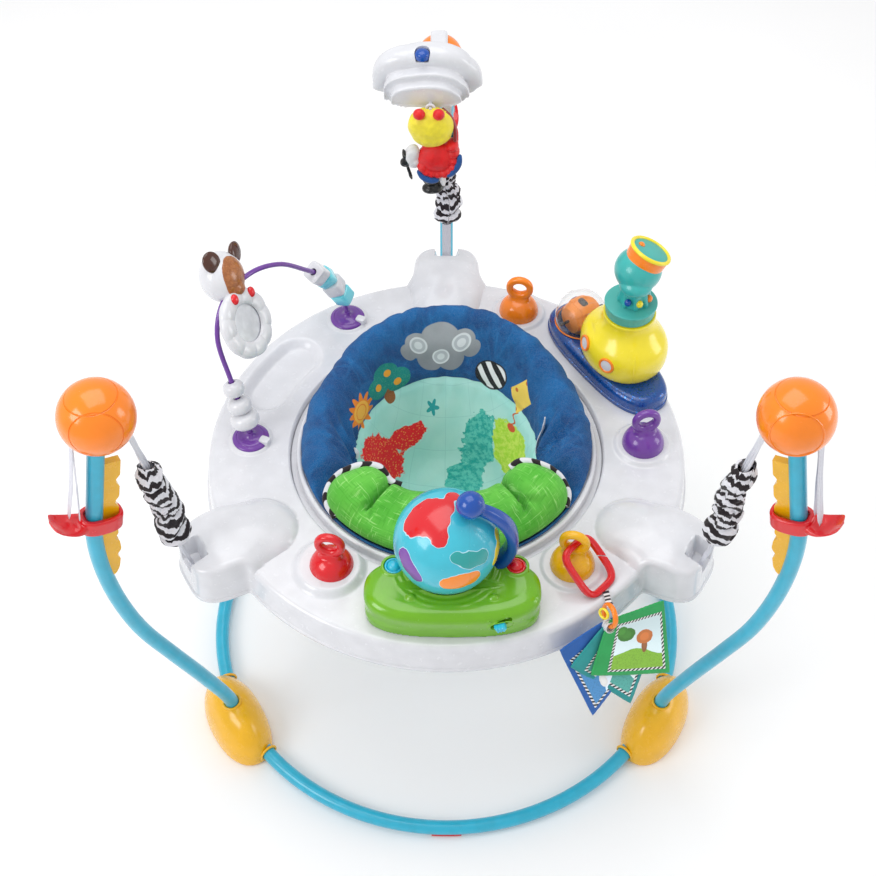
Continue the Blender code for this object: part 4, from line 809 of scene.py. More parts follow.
def make_tray():
    """One moulded shell: ledge, top with its arms and pedestals, rounded edge and skirt."""
    outline, normals = tray_outline()
    count = len(outline)
    azimuths = np.arctan2(outline[:, 1], outline[:, 0])
    inner = np.stack([np.cos(azimuths), np.sin(azimuths)], axis=1)
    rows = []

    def row(xy, z):
        rows.append(np.column_stack([xy, np.broadcast_to(z, count)]))

    row(inner * TRAY_BORE, BORE_FOOT)
    row(inner * TRAY_BORE, LEDGE_Z)
    row(inner * (LEDGE_R - 0.0006), LEDGE_Z)
    for k in range(6):
        angle = math.pi / 2 * k / 5
        row(inner * (LEDGE_R + 0.0032 * (1 - math.cos(angle))), TRAY_Z - 0.0032 * (1 - math.sin(angle)))
    start = inner * (LEDGE_R + 0.0045)
    finish = outline - normals * EDGE_ROUND
    steps = 64
    for k in range(steps + 1):
        xy = start + (finish - start) * (k / steps)
        row(xy, mouth_floor(xy[:, 0], xy[:, 1], tray_height(xy[:, 0], xy[:, 1])))
    top = tray_height(finish[:, 0], finish[:, 1])
    for k in range(1, 9):
        angle = math.pi / 2 * k / 8
        xy = finish + normals * EDGE_ROUND * math.sin(angle)
        row(xy, mouth_floor(xy[:, 0], xy[:, 1], top - EDGE_ROUND * (1 - math.cos(angle))))
    rim = rows[-1][:, 2]
    for share in (0.12, 0.3, 0.5, 0.7, 0.86):
        row(outline + normals * 0.0035 * share, rim + (SKIRT_Z + 0.0075 - rim) * share)
    for out, z in ((0.0036, 0.0075), (0.0039, 0.0066), (0.0052, 0.0060), (0.0057, 0.0050), (0.0057, 0.0012),
                   (0.0049, 0.0002), (0.0036, 0.0), (0.0020, 0.0002), (0.0014, 0.0020)):
        row(outline + normals * out, SKIRT_Z + z)
    row(outline - normals * 0.0035, TRAY_Z - 0.0140)
    row(inner * (LEDGE_R + 0.012), TRAY_Z - 0.0140)
    row(inner * (LEDGE_R + 0.004), LEDGE_Z - 0.004)
    row(inner * (TRAY_BORE + 0.003), LEDGE_Z - 0.004)
    row(inner * (TRAY_BORE + 0.003), BORE_FOOT)
    piece("tray_shell", closed_grid(np.array(rows)), white_plastic, "tray", "tray",
          crease=42,
          place=IN_PLACE)


make_tray()


def make_seat_ring():
    """The turning ring: a rounded lip at the cloth and a low flange in the tray's ledge."""
    profile = [(0.2085, 0.437), (0.2153, 0.437), (0.2153, 0.4643), (0.2293, 0.4643), (0.2293, 0.4672),
               (0.2284, 0.4682), (0.2222, 0.4682), (0.2210, 0.4690), (0.2205, 0.4702), (0.2203, 0.4790)]
    for k in range(1, 8):
        angle = math.pi * k / 8
        profile.append((0.2164 + 0.0039 * math.cos(angle), RING_TOP - 0.0036 + 0.0036 * math.sin(angle)))
    profile += [(0.2125, 0.4790), (0.2085, 0.4785)]
    piece("turning_ring", turned(profile, 288, wrap=True), white_plastic, "seat", "seat_ring",
          crease=48)


make_seat_ring()


# Cloth materials


SEAM_REACH = 0.2220
SEAM_BACK = 0.0300


def woven(shade, where, scale, metres, strength):
    """Bump of a plain weave: crossing threads of this many per metre."""
    x, y, _ = shade.axes(where)
    warp = shade.math("SINE", x * (2 * math.pi * scale))
    weft = shade.math("SINE", y * (2 * math.pi * scale))
    shade.bump(warp * weft + 0.8 * shade.noise(900, 2, where), metres, strength)


def blob(shade, x, y, centre, half, turn, ragged, rough_noise):
    """1 inside a printed patch, an ellipse with a ragged outline."""
    c, s = math.cos(math.radians(turn)), math.sin(math.radians(turn))
    dx, dy = x - centre[0], y - centre[1]
    a = (dx * c + dy * s) / half[0]
    b = (dy * c - dx * s) / half[1]
    return shade.soft(shade.length(a, b) + ragged * (rough_noise - 0.5), 1.0, 0.94)


def seat_cloth():
    """Blue dyed cloth round an aqua panel with printed islands and a few plain motifs."""
    shade = Shade("blue_cloth", Roughness=0.85, Sheen_Weight=0.08, Sheen_Roughness=0.4,
                  Specular_IOR_Level=0.2)
    flat = shade.along("flat")
    u, v, reach = shade.axes(flat)
    cloud = shade.noise(13, 4, flat, 0.6, 0.6)
    veins = shade.cells(26, shade.vector(u + 0.03 * cloud, v + 0.03 * shade.noise(22, 3, flat)),
                        "DISTANCE_TO_EDGE")
    deep = shade.mix(shade.soft(cloud, 0.34, 0.68), srgb(0, 68, 126), srgb(0, 94, 156))
    webs = shade.soft(veins, 0.10, 0.0) * shade.soft(shade.noise(9, 2, flat), 0.45, 0.65)
    mottle = shade.soft(shade.noise(42, 5, flat, 0.72, 0.8), 0.52, 0.74)
    blue = shade.mix(0.22 * webs + 0.30 * mottle, deep, srgb(36, 128, 192))
    cell = 0.030
    lines_u = shade.math("PINGPONG", u + 0.004 * cloud, cell)
    lines_v = shade.math("PINGPONG", v + 0.004 * cloud, cell)
    grid = shade.math("MAXIMUM", shade.soft(lines_u, 0.0009, 0.0002), shade.soft(lines_v, 0.0009, 0.0002))
    wash = shade.mix(shade.soft(shade.noise(8, 3, flat), 0.3, 0.7), srgb(168, 230, 222), srgb(192, 240, 232))
    panel = shade.mix(0.35 * grid, wash, srgb(120, 196, 194))
    jag = shade.noise(30, 5, flat, 0.65)
    dots = shade.cells(170, flat)
    red = shade.mix(shade.soft(dots, 0.34, 0.26), srgb(246, 18, 30), srgb(255, 140, 70))
    blotch = shade.noise(90, 5, flat, 0.7)
    teal = shade.mix(shade.soft(blotch, 0.42, 0.6), srgb(96, 206, 192), srgb(24, 168, 160))
    lime = shade.mix(shade.soft(blotch, 0.4, 0.62), srgb(176, 226, 48), srgb(212, 240, 92))
    zig = shade.math("PINGPONG", v + 0.5 * shade.math("PINGPONG", u, 0.0035), 0.0022)
    orange = shade.mix(shade.soft(zig, 0.0008, 0.0016), srgb(240, 146, 30), srgb(222, 112, 18))
    islands = (
        ((-0.142, 0.066), (0.068, 0.052), 20, 1.0, red),
        ((-0.086, 0.134), (0.050, 0.022), 32, 1.0, red),
        ((0.068, 0.128), (0.036, 0.062), -24, 1.4, teal),
        ((0.030, 0.070), (0.034, 0.026), 10, 1.2, teal),
        ((0.140, 0.090), (0.044, 0.066), 16, 0.7, lime),
        ((0.112, 0.022), (0.024, 0.042), -10, 1.0, lime),
        ((0.036, 0.012), (0.066, 0.030), 5, 0.9, orange),
    )
    for centre, half, turn, ragged, tint in islands:
        panel = shade.mix(blob(shade, u, v, centre, half, turn, ragged, jag), panel, tint)
    angle = shade.math("ARCTAN2", v - 0.196, u + 0.034)
    star = shade.soft(shade.length(u + 0.034, v - 0.196)
                      / (0.0125 + 0.0048 * shade.math("COSINE", angle * 5)), 1.0, 0.93)
    panel = shade.mix(star, panel, srgb(34, 166, 170))
    seam_at = SEAM_REACH + SEAM_BACK * shade.math("MAXIMUM", v / shade.math("MAXIMUM", reach, 0.001), 0)
    outside = shade.soft(reach - seam_at, -0.0007, 0.0007)
    body = shade.mix(outside, panel, blue)
    seam = shade.soft(abs(reach - seam_at - 0.001), 0.0012, 0.0004)
    body = shade.mix(0.55 * seam, body, srgb(0, 44, 104))
    motifs = plain_motifs(shade, u, v, body, jag)
    threads = shade.noise(700, 2, flat)
    tint = shade.mix(0.06 * shade.soft(threads, 0.35, 0.7), motifs, (0.9, 0.95, 1.0))
    shade.colour(tint)
    shade.rough(0.78 + 0.14 * threads)
    woven(shade, flat, 900, 0.00025, 0.45)
    return shade.material


def polar_motif(u, v, azimuth, reach):
    """Print coordinates about a place on the cloth, in metres, with Y away from the seat's middle."""
    angle = math.radians(azimuth)
    du, dv = u - reach * math.cos(angle), v - reach * math.sin(angle)
    return (du * math.sin(angle) - dv * math.cos(angle)) * 0.52, du * math.cos(angle) + dv * math.sin(angle)


def plain_motifs(shade, u, v, below, jag):
    """A sun, a bush, a storm cloud, a striped ball and a spotted kite, all generic."""
    def round_at(x, y, cx, cy, r, squash=1.0):
        return shade.soft(shade.length(x - cx, (y - cy) * squash**0.5) / r, 1.0, 0.94)

    def over(mask, tint):
        nonlocal below
        below = shade.mix(mask, below, tint)

    x, y = polar_motif(u, v, 153, 0.258)
    angle = shade.math("ARCTAN2", y, x)
    distance = shade.length(x, y)
    over(shade.soft(distance / (0.0250 + 0.0055 * shade.math("COSINE", angle * 11)), 1.0, 0.95),
         srgb(240, 132, 28))
    over(round_at(x, y, 0, 0, 0.0175), srgb(252, 184, 66))
    over(shade.soft(abs(distance - 0.0115), 0.0012, 0.0006), srgb(240, 132, 28))

    x, y = polar_motif(u, v, 128, 0.272)
    bush = shade.math("MAXIMUM", round_at(x, y, 0, 0.008, 0.023), round_at(x, y, -0.018, -0.006, 0.019))
    bush = shade.math("MAXIMUM", bush, round_at(x, y, 0.018, -0.008, 0.020))
    over(round_at(x, y, 0.0, -0.028, 0.0085, 0.35), srgb(150, 92, 44))
    over(bush, srgb(0, 136, 128))
    over(shade.soft(abs(shade.cells(120, shade.vector(x, y)) - 0.35), 0.05, 0.02) * bush * 0.5,
         srgb(60, 176, 130))
    for cx, cy in ((0.004, 0.012), (-0.017, -0.004), (0.016, -0.010)):
        over(round_at(x, y, cx, cy, 0.0062), srgb(240, 164, 40))

    x, y = polar_motif(u, v, 94, 0.306)
    cloud = round_at(x, y, 0.002, 0.010, 0.033)
    puffs = ((-0.032, 0.000, 0.023), (0.034, 0.002, 0.024), (-0.014, -0.020, 0.021), (0.017, -0.021, 0.021),
             (-0.048, -0.014, 0.014), (0.050, -0.013, 0.015))
    for cx, cy, r in puffs:
        cloud = shade.math("MAXIMUM", cloud, round_at(x, y, cx, cy, r))
    over(cloud, shade.mix(shade.soft(y + 0.03 * jag, -0.02, 0.04), srgb(134, 140, 147), srgb(166, 171, 176)))
    for cx, cy, r in ((-0.033, 0.001, 0.015), (0.035, 0.003, 0.016), (0.002, -0.016, 0.0135)):
        ring = shade.soft(abs(shade.length(x - cx, y - cy) - r * 0.6), 0.0030, 0.0018)
        over(round_at(x, y, cx, cy, r), srgb(222, 228, 232))
        over(ring * 0.6, srgb(160, 168, 176))

    x, y = polar_motif(u, v, 62, 0.270)
    bands = shade.soft(shade.math("SINE", (x + 0.7 * y) * 300), -0.12, 0.12)
    over(round_at(x, y, 0, 0, 0.0265), srgb(20, 22, 28))
    over(round_at(x, y, 0, 0, 0.0240), shade.mix(bands, srgb(20, 22, 28), srgb(240, 242, 244)))

    x, y = polar_motif(u, v, 39, 0.262)
    kite = abs(x) / 0.0215 + abs(y - 0.002) / 0.034
    spots = shade.soft(shade.cells(75, shade.vector(x, y)), 0.36, 0.30)
    over(shade.soft(abs(x + 0.003 * shade.math("SINE", y * 300)), 0.0016, 0.0010)
         * shade.soft(abs(y + 0.045), 0.018, 0.016), srgb(206, 90, 34))
    over(shade.soft(kite, 1.0, 0.96), shade.mix(spots, srgb(250, 214, 92), srgb(206, 112, 40)))
    over(round_at(x, y, 0.0, -0.060, 0.0072), srgb(224, 84, 36))
    return below


def linen():
    """Bright green slubbed linen, lighter along its stray threads."""
    shade = Shade("green_cloth", Roughness=0.9, Sheen_Weight=0.12, Sheen_Roughness=0.45,
                  Specular_IOR_Level=0.2)
    cloth = shade.along("cloth")
    x, y, _ = shade.axes(cloth)
    along = shade.noise(1.0, 2, shade.vector(x * 32, y * 420), 0.55)
    across = shade.noise(1.0, 2, shade.vector(x * 420, y * 32), 0.55)
    slubs = shade.math("MAXIMUM", shade.soft(along, 0.60, 0.70), shade.soft(across, 0.60, 0.70))
    dyed = shade.mix(shade.soft(shade.noise(24, 3, cloth), 0.3, 0.7), srgb(88, 182, 62), srgb(112, 202, 80))
    dark = shade.math("MAXIMUM", shade.soft(along, 0.42, 0.34), shade.soft(across, 0.42, 0.34))
    dyed = shade.mix(0.34 * dark, dyed, srgb(58, 148, 40))
    shade.colour(shade.mix(0.60 * slubs, dyed, srgb(176, 236, 142)))
    warp = shade.math("SINE", x * (2 * math.pi * 800))
    weft = shade.math("SINE", y * (2 * math.pi * 800))
    shade.bump(0.6 * warp * weft + 1.6 * along + 1.6 * across, 0.0004, 0.55)
    return shade.material


def banded(name, slant, period, wavy, black):
    """Black and greyish white bands along a strip that carries its length and its turn."""
    shade = Shade(name, Roughness=0.85, Sheen_Weight=0.2, Specular_IOR_Level=0.3)
    cloth = shade.along("cloth")
    x, y, _ = shade.axes(cloth)
    turn = shade.math("SINE", y)
    wave = shade.noise(1.0, 2, shade.vector(x * 38, y * 0.9)) - 0.5
    phase = x / period + slant * turn + wavy * wave
    band = shade.math("PINGPONG", phase, 0.5)
    white = shade.soft(band, black / 2 - 0.02, black / 2 + 0.02)
    light = shade.mix(shade.noise(60, 3, cloth), srgb(206, 206, 214), srgb(232, 232, 238))
    shade.colour(shade.mix(white, srgb(34, 27, 32), light))
    shade.bump(shade.noise(1500, 2), 0.0003, 0.4)
    return shade.material


def strap_cloth():
    """White polyester webbing: chevron ribs and a soft edge."""
    shade = Shade("webbing", Roughness=0.7, Sheen_Weight=0.2, Specular_IOR_Level=0.35)
    cloth = shade.along("cloth")
    x, y, _ = shade.axes(cloth)
    ribs = shade.math("SINE", (x + 0.7 * abs(y)) * (2 * math.pi / 0.0022))
    tone = shade.mix(shade.soft(ribs, -1.0, 1.0), srgb(206, 208, 220), srgb(238, 239, 246))
    shade.colour(shade.mix(0.4 * shade.soft(shade.noise(260, 3), 0.4, 0.7), tone, srgb(222, 224, 234)))
    shade.bump(ribs + 0.6 * shade.noise(1800, 2), 0.00035, 0.6)
    return shade.material


blue_cloth = seat_cloth()
green_cloth = linen()
zebra_cloth = banded("zebra_cloth", 0.30, 0.0185, 1.1, 0.50)
trim_cloth = banded("trim_cloth", 0.26, 0.0280, 0.0, 0.46)
webbing = strap_cloth()

# Seat

RIM = RING_TOP + GAP
RIM_R = 0.2125
RING_INNER = 0.2085
COLLAR_BACK = 0.096
COLLAR_SIDE = 0.034
POUCH_WALL = 0.004
POUCH_FLOOR = 0.302
ROLL_OUTER = 0.2075
ROLL_HALF_Z = 0.0225
SEAT_STEPS = 320
SEAT_ROWS = 104


def pouch_section(azimuth):
    """The seat's inner face in one half plane, from the middle of its floor up to its rim."""
    from_back = abs((azimuth - 90 + 180) % 360 - 180)
    crown = COLLAR_SIDE + (COLLAR_BACK - COLLAR_SIDE) * (1 - smoothstep(16, 91, from_back))
    low = TRAY_Z - 0.0097
    behind = (
        (0.092, 0.330), (0.116, 0.385), (0.132, 0.440), (0.146, RIM + 0.1 * crown),
        (0.158, RIM + 0.55 * crown),
        (0.174, RIM + 0.92 * crown), (0.190, RIM + crown), (0.203, RIM + 0.80 * crown),
        (RIM_R, RIM + 0.35 * crown),
        (RIM_R - 0.0005, RIM + 0.001),
    )
    in_front = (
        (0.088, 0.330), (0.106, 0.385), (0.116, 0.430), (0.122, 0.450), (0.138, low - 0.006),
        (0.160, low - 0.0030), (0.182, low - 0.0010), (0.199, low + 0.0050), (RIM_R - 0.0055, RIM - 0.0020),
        (RIM_R - 0.001, RIM + 0.0005),
    )
    share = smoothstep(103, 121, from_back)
    inside = []
    for (back_r, back_z), (front_r, front_z) in zip(behind, in_front):
        inside.append((back_r + (front_r - back_r) * share, back_z + (front_z - back_z) * share))
    return [(0.0, POUCH_FLOOR), (0.050, POUCH_FLOOR + 0.003), *inside]


def even_section(azimuth, count):
    """The section as evenly spaced points, with their distance from the floor's middle."""
    path = smooth_path([(r, 0, z) for r, z in pouch_section(azimuth)], 8)
    flat = np.array([(max(p.x, 0.0), p.z) for p in path])
    lengths = np.concatenate([[0], np.cumsum(np.linalg.norm(np.diff(flat, axis=0), axis=1))])
    where = np.linspace(0, lengths[-1], count)
    return np.column_stack([np.interp(where, lengths, flat[:, 0]), np.interp(where, lengths, flat[:, 1]),
                            where])


def seat_wrinkles(azimuth, reach):
    """How far the cloth stands off its plain shape."""
    spot = Vector((math.cos(math.radians(azimuth)) * reach, math.sin(math.radians(azimuth)) * reach, 0))
    outer = smoothstep(0.20, 0.27, reach) * (1 - smoothstep(0.40, 0.425, reach) * 0.7)
    waves = 0.0030 * noise.noise(spot * 14) + 0.0016 * noise.noise(spot * 30 + Vector((5, 1, 2)))
    radial = 0.0022 * noise.noise(Vector((azimuth * 0.16, reach * 9, 3.3)))
    total = outer * (waves + radial) + 0.0011 * noise.noise(spot * 34 + Vector((0, 7, 1)))
    total += 0.0005 * noise.noise(spot * 90)
    seam_at = SEAM_REACH + SEAM_BACK * max(0.0, math.sin(math.radians(azimuth)))
    total -= 0.0036 * math.exp(-(((reach - seam_at) / 0.0060) ** 2))
    for corner, lean in ((356.0, 1.0), (184.0, -1.0)):
        offset = ((azimuth - corner + 180) % 360) - 180
        near = (math.exp(-((offset / 17) ** 2)) * smoothstep(0.14, 0.23, reach)
                * (1 - smoothstep(0.28, 0.36, reach)))
        lines = noise.noise(Vector((offset * 0.15 - lean * reach * 30, reach * 9, corner)))
        total += near * 0.0130 * (0.30 - abs(lines) * 2.2)
    for fold_at, deep in ((28.0, 0.0032), (63.0, 0.0022), (112.0, 0.0026), (141.0, 0.0030), (171.0, 0.0030)):
        offset = ((azimuth - fold_at + 5 * noise.noise(spot * 9) + 180) % 360) - 180
        total -= deep * math.exp(-((offset / 1.7) ** 2)) * smoothstep(0.30, 0.35, reach)
    return total


def off_cloth(azimuth, before, after):
    """The way out from the seat's cloth, from two points of its section."""
    run = Vector((after[0] - before[0], 0, after[1] - before[1])).normalized()
    return around(azimuth, 1.0) * -run.z + Vector((0, 0, run.x))


def make_seat():
    """The quilted pouch and collar, with wrinkles, a sewn seam and two leg holes."""
    sections = [even_section(360 * k / SEAT_STEPS, SEAT_ROWS) for k in range(SEAT_STEPS)]
    rings = [[Vector((0, 0, POUCH_FLOOR))]]
    for row in range(1, SEAT_ROWS):
        ring = []
        for k, section in enumerate(sections):
            azimuth = 360 * k / SEAT_STEPS
            r, z, reach = section[row]
            out = off_cloth(azimuth, section[max(row - 1, 0)], section[min(row + 1, SEAT_ROWS - 1)])
            fade = 1 - smoothstep(0.97, 1.0, row / (SEAT_ROWS - 1))
            ring.append(around(azimuth, r, z) + out * (seat_wrinkles(azimuth, reach) * fade))
        rings.append(ring)
    outside = (
        lambda s: (RING_INNER - GAP, RIM + 0.0002),
        lambda s: (RING_INNER - GAP, RIM - 0.018),
        lambda s: (s[5][0] + 0.012, RIM - 0.030),
        lambda s: (s[4][0] + 0.007, s[4][1] - 0.004),
        lambda s: (s[3][0] + POUCH_WALL, s[3][1]),
        lambda s: (s[2][0] + POUCH_WALL, s[2][1] - 0.002),
        lambda s: (0.050, POUCH_FLOOR - POUCH_WALL + 0.003),
    )
    plain = [pouch_section(360 * k / SEAT_STEPS) for k in range(SEAT_STEPS)]
    columns = []
    for section in plain:
        corners = [spot(section) for spot in outside]
        columns.append(smooth_path([(r, 0, z) for r, z in corners], 6))
    for row in range(len(columns[0])):
        ring = []
        for k, column in enumerate(columns):
            azimuth = 360 * k / SEAT_STEPS
            sway = (0.0014 * noise.noise(Vector((azimuth * 0.12, column[row].z * 30, 9)))
                    * smoothstep(0, 6, row))
            ring.append(around(azimuth, column[row].x + sway, column[row].z))
        rings.append(ring)
    rings.append([Vector((0, 0, POUCH_FLOOR - POUCH_WALL))])
    made = piece("seat_cloth", skin(rings), blue_cloth, "seat", "seat_pouch", crease=0)
    holes = []
    for azimuth in (236, 304):
        hole = ball((0, 0, 0), (0.050, 0.044, 0.040), 48, 32)
        place = Matrix.Translation(around(azimuth, 0.105, 0.362)) @ spun(azimuth)
        holes.append(moved(hole, place))
    cut(made, joined(*holes))
    made.data.shade_smooth()
    sharpen(made, 60)
    print_on_seat(made, sections)


def print_on_seat(made, sections):
    """Lays the print's flat coordinates on the mesh: the way out from the floor's middle, unrolled."""
    count = len(made.data.vertices)
    points = np.empty(count * 3)
    made.data.vertices.foreach_get("co", points)
    points = points.reshape(-1, 3) - np.array(AXIS)
    azimuths = np.arctan2(points[:, 1], points[:, 0])
    index = np.round(np.degrees(azimuths) % 360 / 360 * len(sections)).astype(int) % len(sections)
    table = np.array(sections)
    radii = np.hypot(points[:, 0], points[:, 1])
    reach = np.empty(count)
    for start in range(0, count, 8000):
        part = slice(start, start + 8000)
        rows = table[index[part]]
        gap = (rows[:, :, 0] - radii[part, None]) ** 2 + (rows[:, :, 1] - points[part, 2, None]) ** 2
        best = gap.argmin(axis=1)
        reach[part] = rows[np.arange(len(best)), best, 2]
    flat = np.column_stack([reach * np.cos(azimuths), reach * np.sin(azimuths), reach])
    label(made, "flat", flat.tolist())


make_seat()

ROLL_SPAN = (206.0, 335.0)
CREASES = ((231.5, -1), (308.5, 1))


def roll_end(azimuth):
    """1 along the roll, falling to 0 round its ends."""
    past = max(0.0, ROLL_SPAN[0] + 13 - azimuth, azimuth - ROLL_SPAN[1] + 13) / 13
    return math.sqrt(max(0.0, 1 - past**2))


def roll_point(azimuth, angle):
    """A point of the roll: angle 0 is outward, 90 is up."""
    end = roll_end(azimuth)
    side = abs(azimuth - 270)
    inner = 0.0995 + 0.0120 * smoothstep(8, 40, side)
    middle, half = (inner + ROLL_OUTER) / 2, (ROLL_OUTER - inner) / 2
    half_r = half * (0.05 + 0.95 * end)
    swell = math.exp(-(((side - 53) / 14) ** 2)) * (0.0215 if azimuth < 270 else 0.0300)
    size = 0.25 + 0.75 * end
    c, s = math.cos(angle), math.sin(angle)
    x = math.copysign(abs(c) ** 0.90, c) * half_r
    z = math.copysign(abs(s) ** 0.86, s) * ((ROLL_HALF_Z + swell) if s > 0 else 0.62 * ROLL_HALF_Z) * size
    top = max(0.0, s)
    place = x / half
    for crease, lean in CREASES:
        offset = azimuth - crease - lean * (-3.2 * place + 0.8 * math.sin(place * 3))
        length = smoothstep(0.62, 0.28, place)
        z -= top * length * 0.0165 * math.exp(-((offset / 1.15) ** 2))
        z += top * length * 0.0034 * math.exp(-(((abs(offset) - 5.5) / 4.0) ** 2))
        x += 0.005 * length * math.exp(-((offset / 2.4) ** 2)) * (1 if c < 0 else 0)
        near = math.exp(-(((place - 0.42) / 0.30) ** 2)) * math.exp(-((offset / 8.5) ** 2))
        spread = math.atan2(offset * 0.0029, (place - 0.10) * half)
        z += top * near * 0.0034 * math.sin(spread * 9)
    spot = around(azimuth, middle + x, z)
    rumple = 0.0020 * noise.noise(spot * 26) + 0.0011 * noise.noise(spot * 70)
    return around(azimuth, middle + x, TRAY_Z + 0.0105 + z) + Vector((0, 0, top)) * rumple


def make_roll():
    """The padded front roll, pinched where its channels are sewn, with striped piping round both ends."""
    steps, sides = 340, 96
    rings, cloth = [], []
    for k in range(steps + 1):
        even = k / steps
        share = 0.7 * even + 0.3 * (0.5 - 0.5 * math.cos(math.pi * even))
        azimuth = ROLL_SPAN[0] + 0.04 + (ROLL_SPAN[1] - ROLL_SPAN[0] - 0.08) * share
        ring = []
        for j in range(sides):
            angle = 2 * math.pi * j / sides
            ring.append(roll_point(azimuth, angle))
            cloth.append((math.radians(azimuth) * 0.155, angle * 0.040, 0.0))
        rings.append(ring)
    made = piece("front_roll", skin(rings), green_cloth, "seat", "seat_front", crease=0)
    label(made, "cloth", cloth)
    left = ((221.0, -12), (213.0, 0), (208.6, 18), (207.2, 50), (208.4, 85), (211.5, 116), (218.0, 140),
            (227.5, 152),
            (235.0, 158))
    right = ((325.0, -12), (330.0, 4), (333.2, 28), (333.9, 60), (332.6, 92), (329.6, 116), (325.0, 132),
             (319.0, 142))
    for name, route in (("left", left), ("right", right)):
        controls = [roll_point(azimuth, math.radians(angle)) for azimuth, angle in route]
        middle = sum(controls, Vector()) / len(controls)
        path = smooth_path(controls, 12)
        path = [point + (point - middle).normalized() * 0.0012 + Vector((0, 0, 0.0012)) for point in path]
        piping(f"roll_piping_{name}", path, 0.0054)


def piping(name, path, radius):
    """A striped cord along a path, carrying its length and its turn for the stripes."""
    run, sides = 0.0, 20
    rings, cloth = [], []
    for k, (point, ahead) in enumerate(zip(path, directions(path))):
        run += (point - path[k - 1]).length if k else 0.0
        across = ahead.cross(Vector((0, 0, 1))).normalized()
        rings.append(ring_at(point, across, ahead.cross(across), (radius, radius), sides))
        cloth += [(run, 2 * math.pi * j / sides, 0.0) for j in range(sides)]
    made = piece(name, skin(rings), trim_cloth, "seat", crease=0)
    label(made, "cloth", cloth)


make_roll()


def seat_point(azimuth, reach, off):
    """A place this far off the seat's cloth, and the way out from the cloth."""
    section = even_section(azimuth, SEAT_ROWS)
    index = int(np.searchsorted(section[:, 2], reach))
    before = section[index - 1]
    out = off_cloth(azimuth, before, section[index])
    return around(azimuth, before[0], before[1]) + out * (seat_wrinkles(azimuth, reach) + off)


def make_tags():
    """Folded white satin tags sewn into the seam."""
    for name, route, wide in (
        ("right",
         ((3.5, 0.224, 0.0), (5.5, 0.236, 0.003), (7.5, 0.252, 0.0075), (10.0, 0.270, 0.0070),
          (13.5, 0.284, 0.0095)),
         0.0062),
        ("left", ((178.5, 0.224, 0.0), (177.5, 0.233, 0.003), (177.0, 0.243, 0.0045)), 0.0053),
    ):
        controls = [seat_point(azimuth, reach, off) for azimuth, reach, off in route]
        path = smooth_path(controls, 8)
        rings, cloth = ribbon(path, (0.3, 0.7, -0.6),
                              lambda share: wide * (1 - 0.75 * smoothstep(0.75, 1.0, share)),
                              0.0009, 0.0004, 0.7)
        made = piece(f"seat_tag_{name}", skin(rings), webbing, "seat", crease=0)
        label(made, "cloth", cloth)

# Straps and sleeves

LIFT_TOP = Vector((0.4530, 0, 0.8000))
SLEEVE_TOP = Vector((0.4365, 0, 0.7040))
SLEEVE_FOOT = Vector((0.4155, 0, 0.5090))
LIFT_FOOT = Vector((0.4060, 0, 0.4640))
SWAY = Vector((0, 1, 0))
SLEEVE_R = 0.0225
SLEEVES = (  # seed, folds along it, share of the strap that it covers
    (1.7, 5.0, (0.115, 0.985)),
    (6.4, 4.4, (0.115, 0.985)),
    (11.2, 4.7, (0.19, 0.80)),
)


def ribbon(path, across, widths, thick, crumple, seed, turns=None):
    """A flat strap along a path: its grid of points, and its length and width at each."""
    rings, cloth = [], []
    run, count = 0.0, 18
    for k, (point, ahead) in enumerate(zip(path, directions(path))):
        if k:
            run += (point - path[k - 1]).length
        share = k / (len(path) - 1)
        side = (Vector(across) - Vector(across).dot(ahead) * ahead).normalized()
        if turns:
            side = Matrix.Rotation(turns(share), 3, ahead) @ side
        up = ahead.cross(side)
        wide = widths(share)
        deep = crumple(share) if callable(crumple) else crumple
        ring, marks = [], []
        for j in range(2 * count):
            over = j >= count
            t = j / (count - 1) if not over else (2 * count - 1 - j) / (count - 1)
            place = -1 + 2 * t
            wave = deep * (math.sin(place * 7.5 + share * 9 + seed)
                           + 0.6 * math.sin(place * 15 - share * 14 + seed * 2))
            lift = (thick / 2) * (1 - abs(place) ** 6 * 0.6) * (1 if over else -1)
            ring.append(point + side * (place * wide) + up * (wave + lift))
            marks.append((run, place * wide, 0.0))
        rings.append(ring)
        cloth += marks
    return rings, cloth


def puff(share, angle, seed, count):
    """How full a gathered sleeve stands at a point: 0 in a pinch, 1 on a fold."""
    spot = Vector((math.cos(angle + 5 * share) * 0.85, math.sin(angle + 5 * share) * 0.85,
                   share * 3.2 + seed))
    lean = 0.62 * noise.noise(spot) + 0.16 * math.sin(angle + seed * 3)
    phase = share * count + lean
    cell = abs(math.sin(math.pi * phase))
    big = cell**0.62
    small = abs(math.sin(math.pi * (phase * 2.3 + 0.8 * noise.noise(spot * 2.1)))) ** 0.8
    return 0.74 * big + 0.26 * small


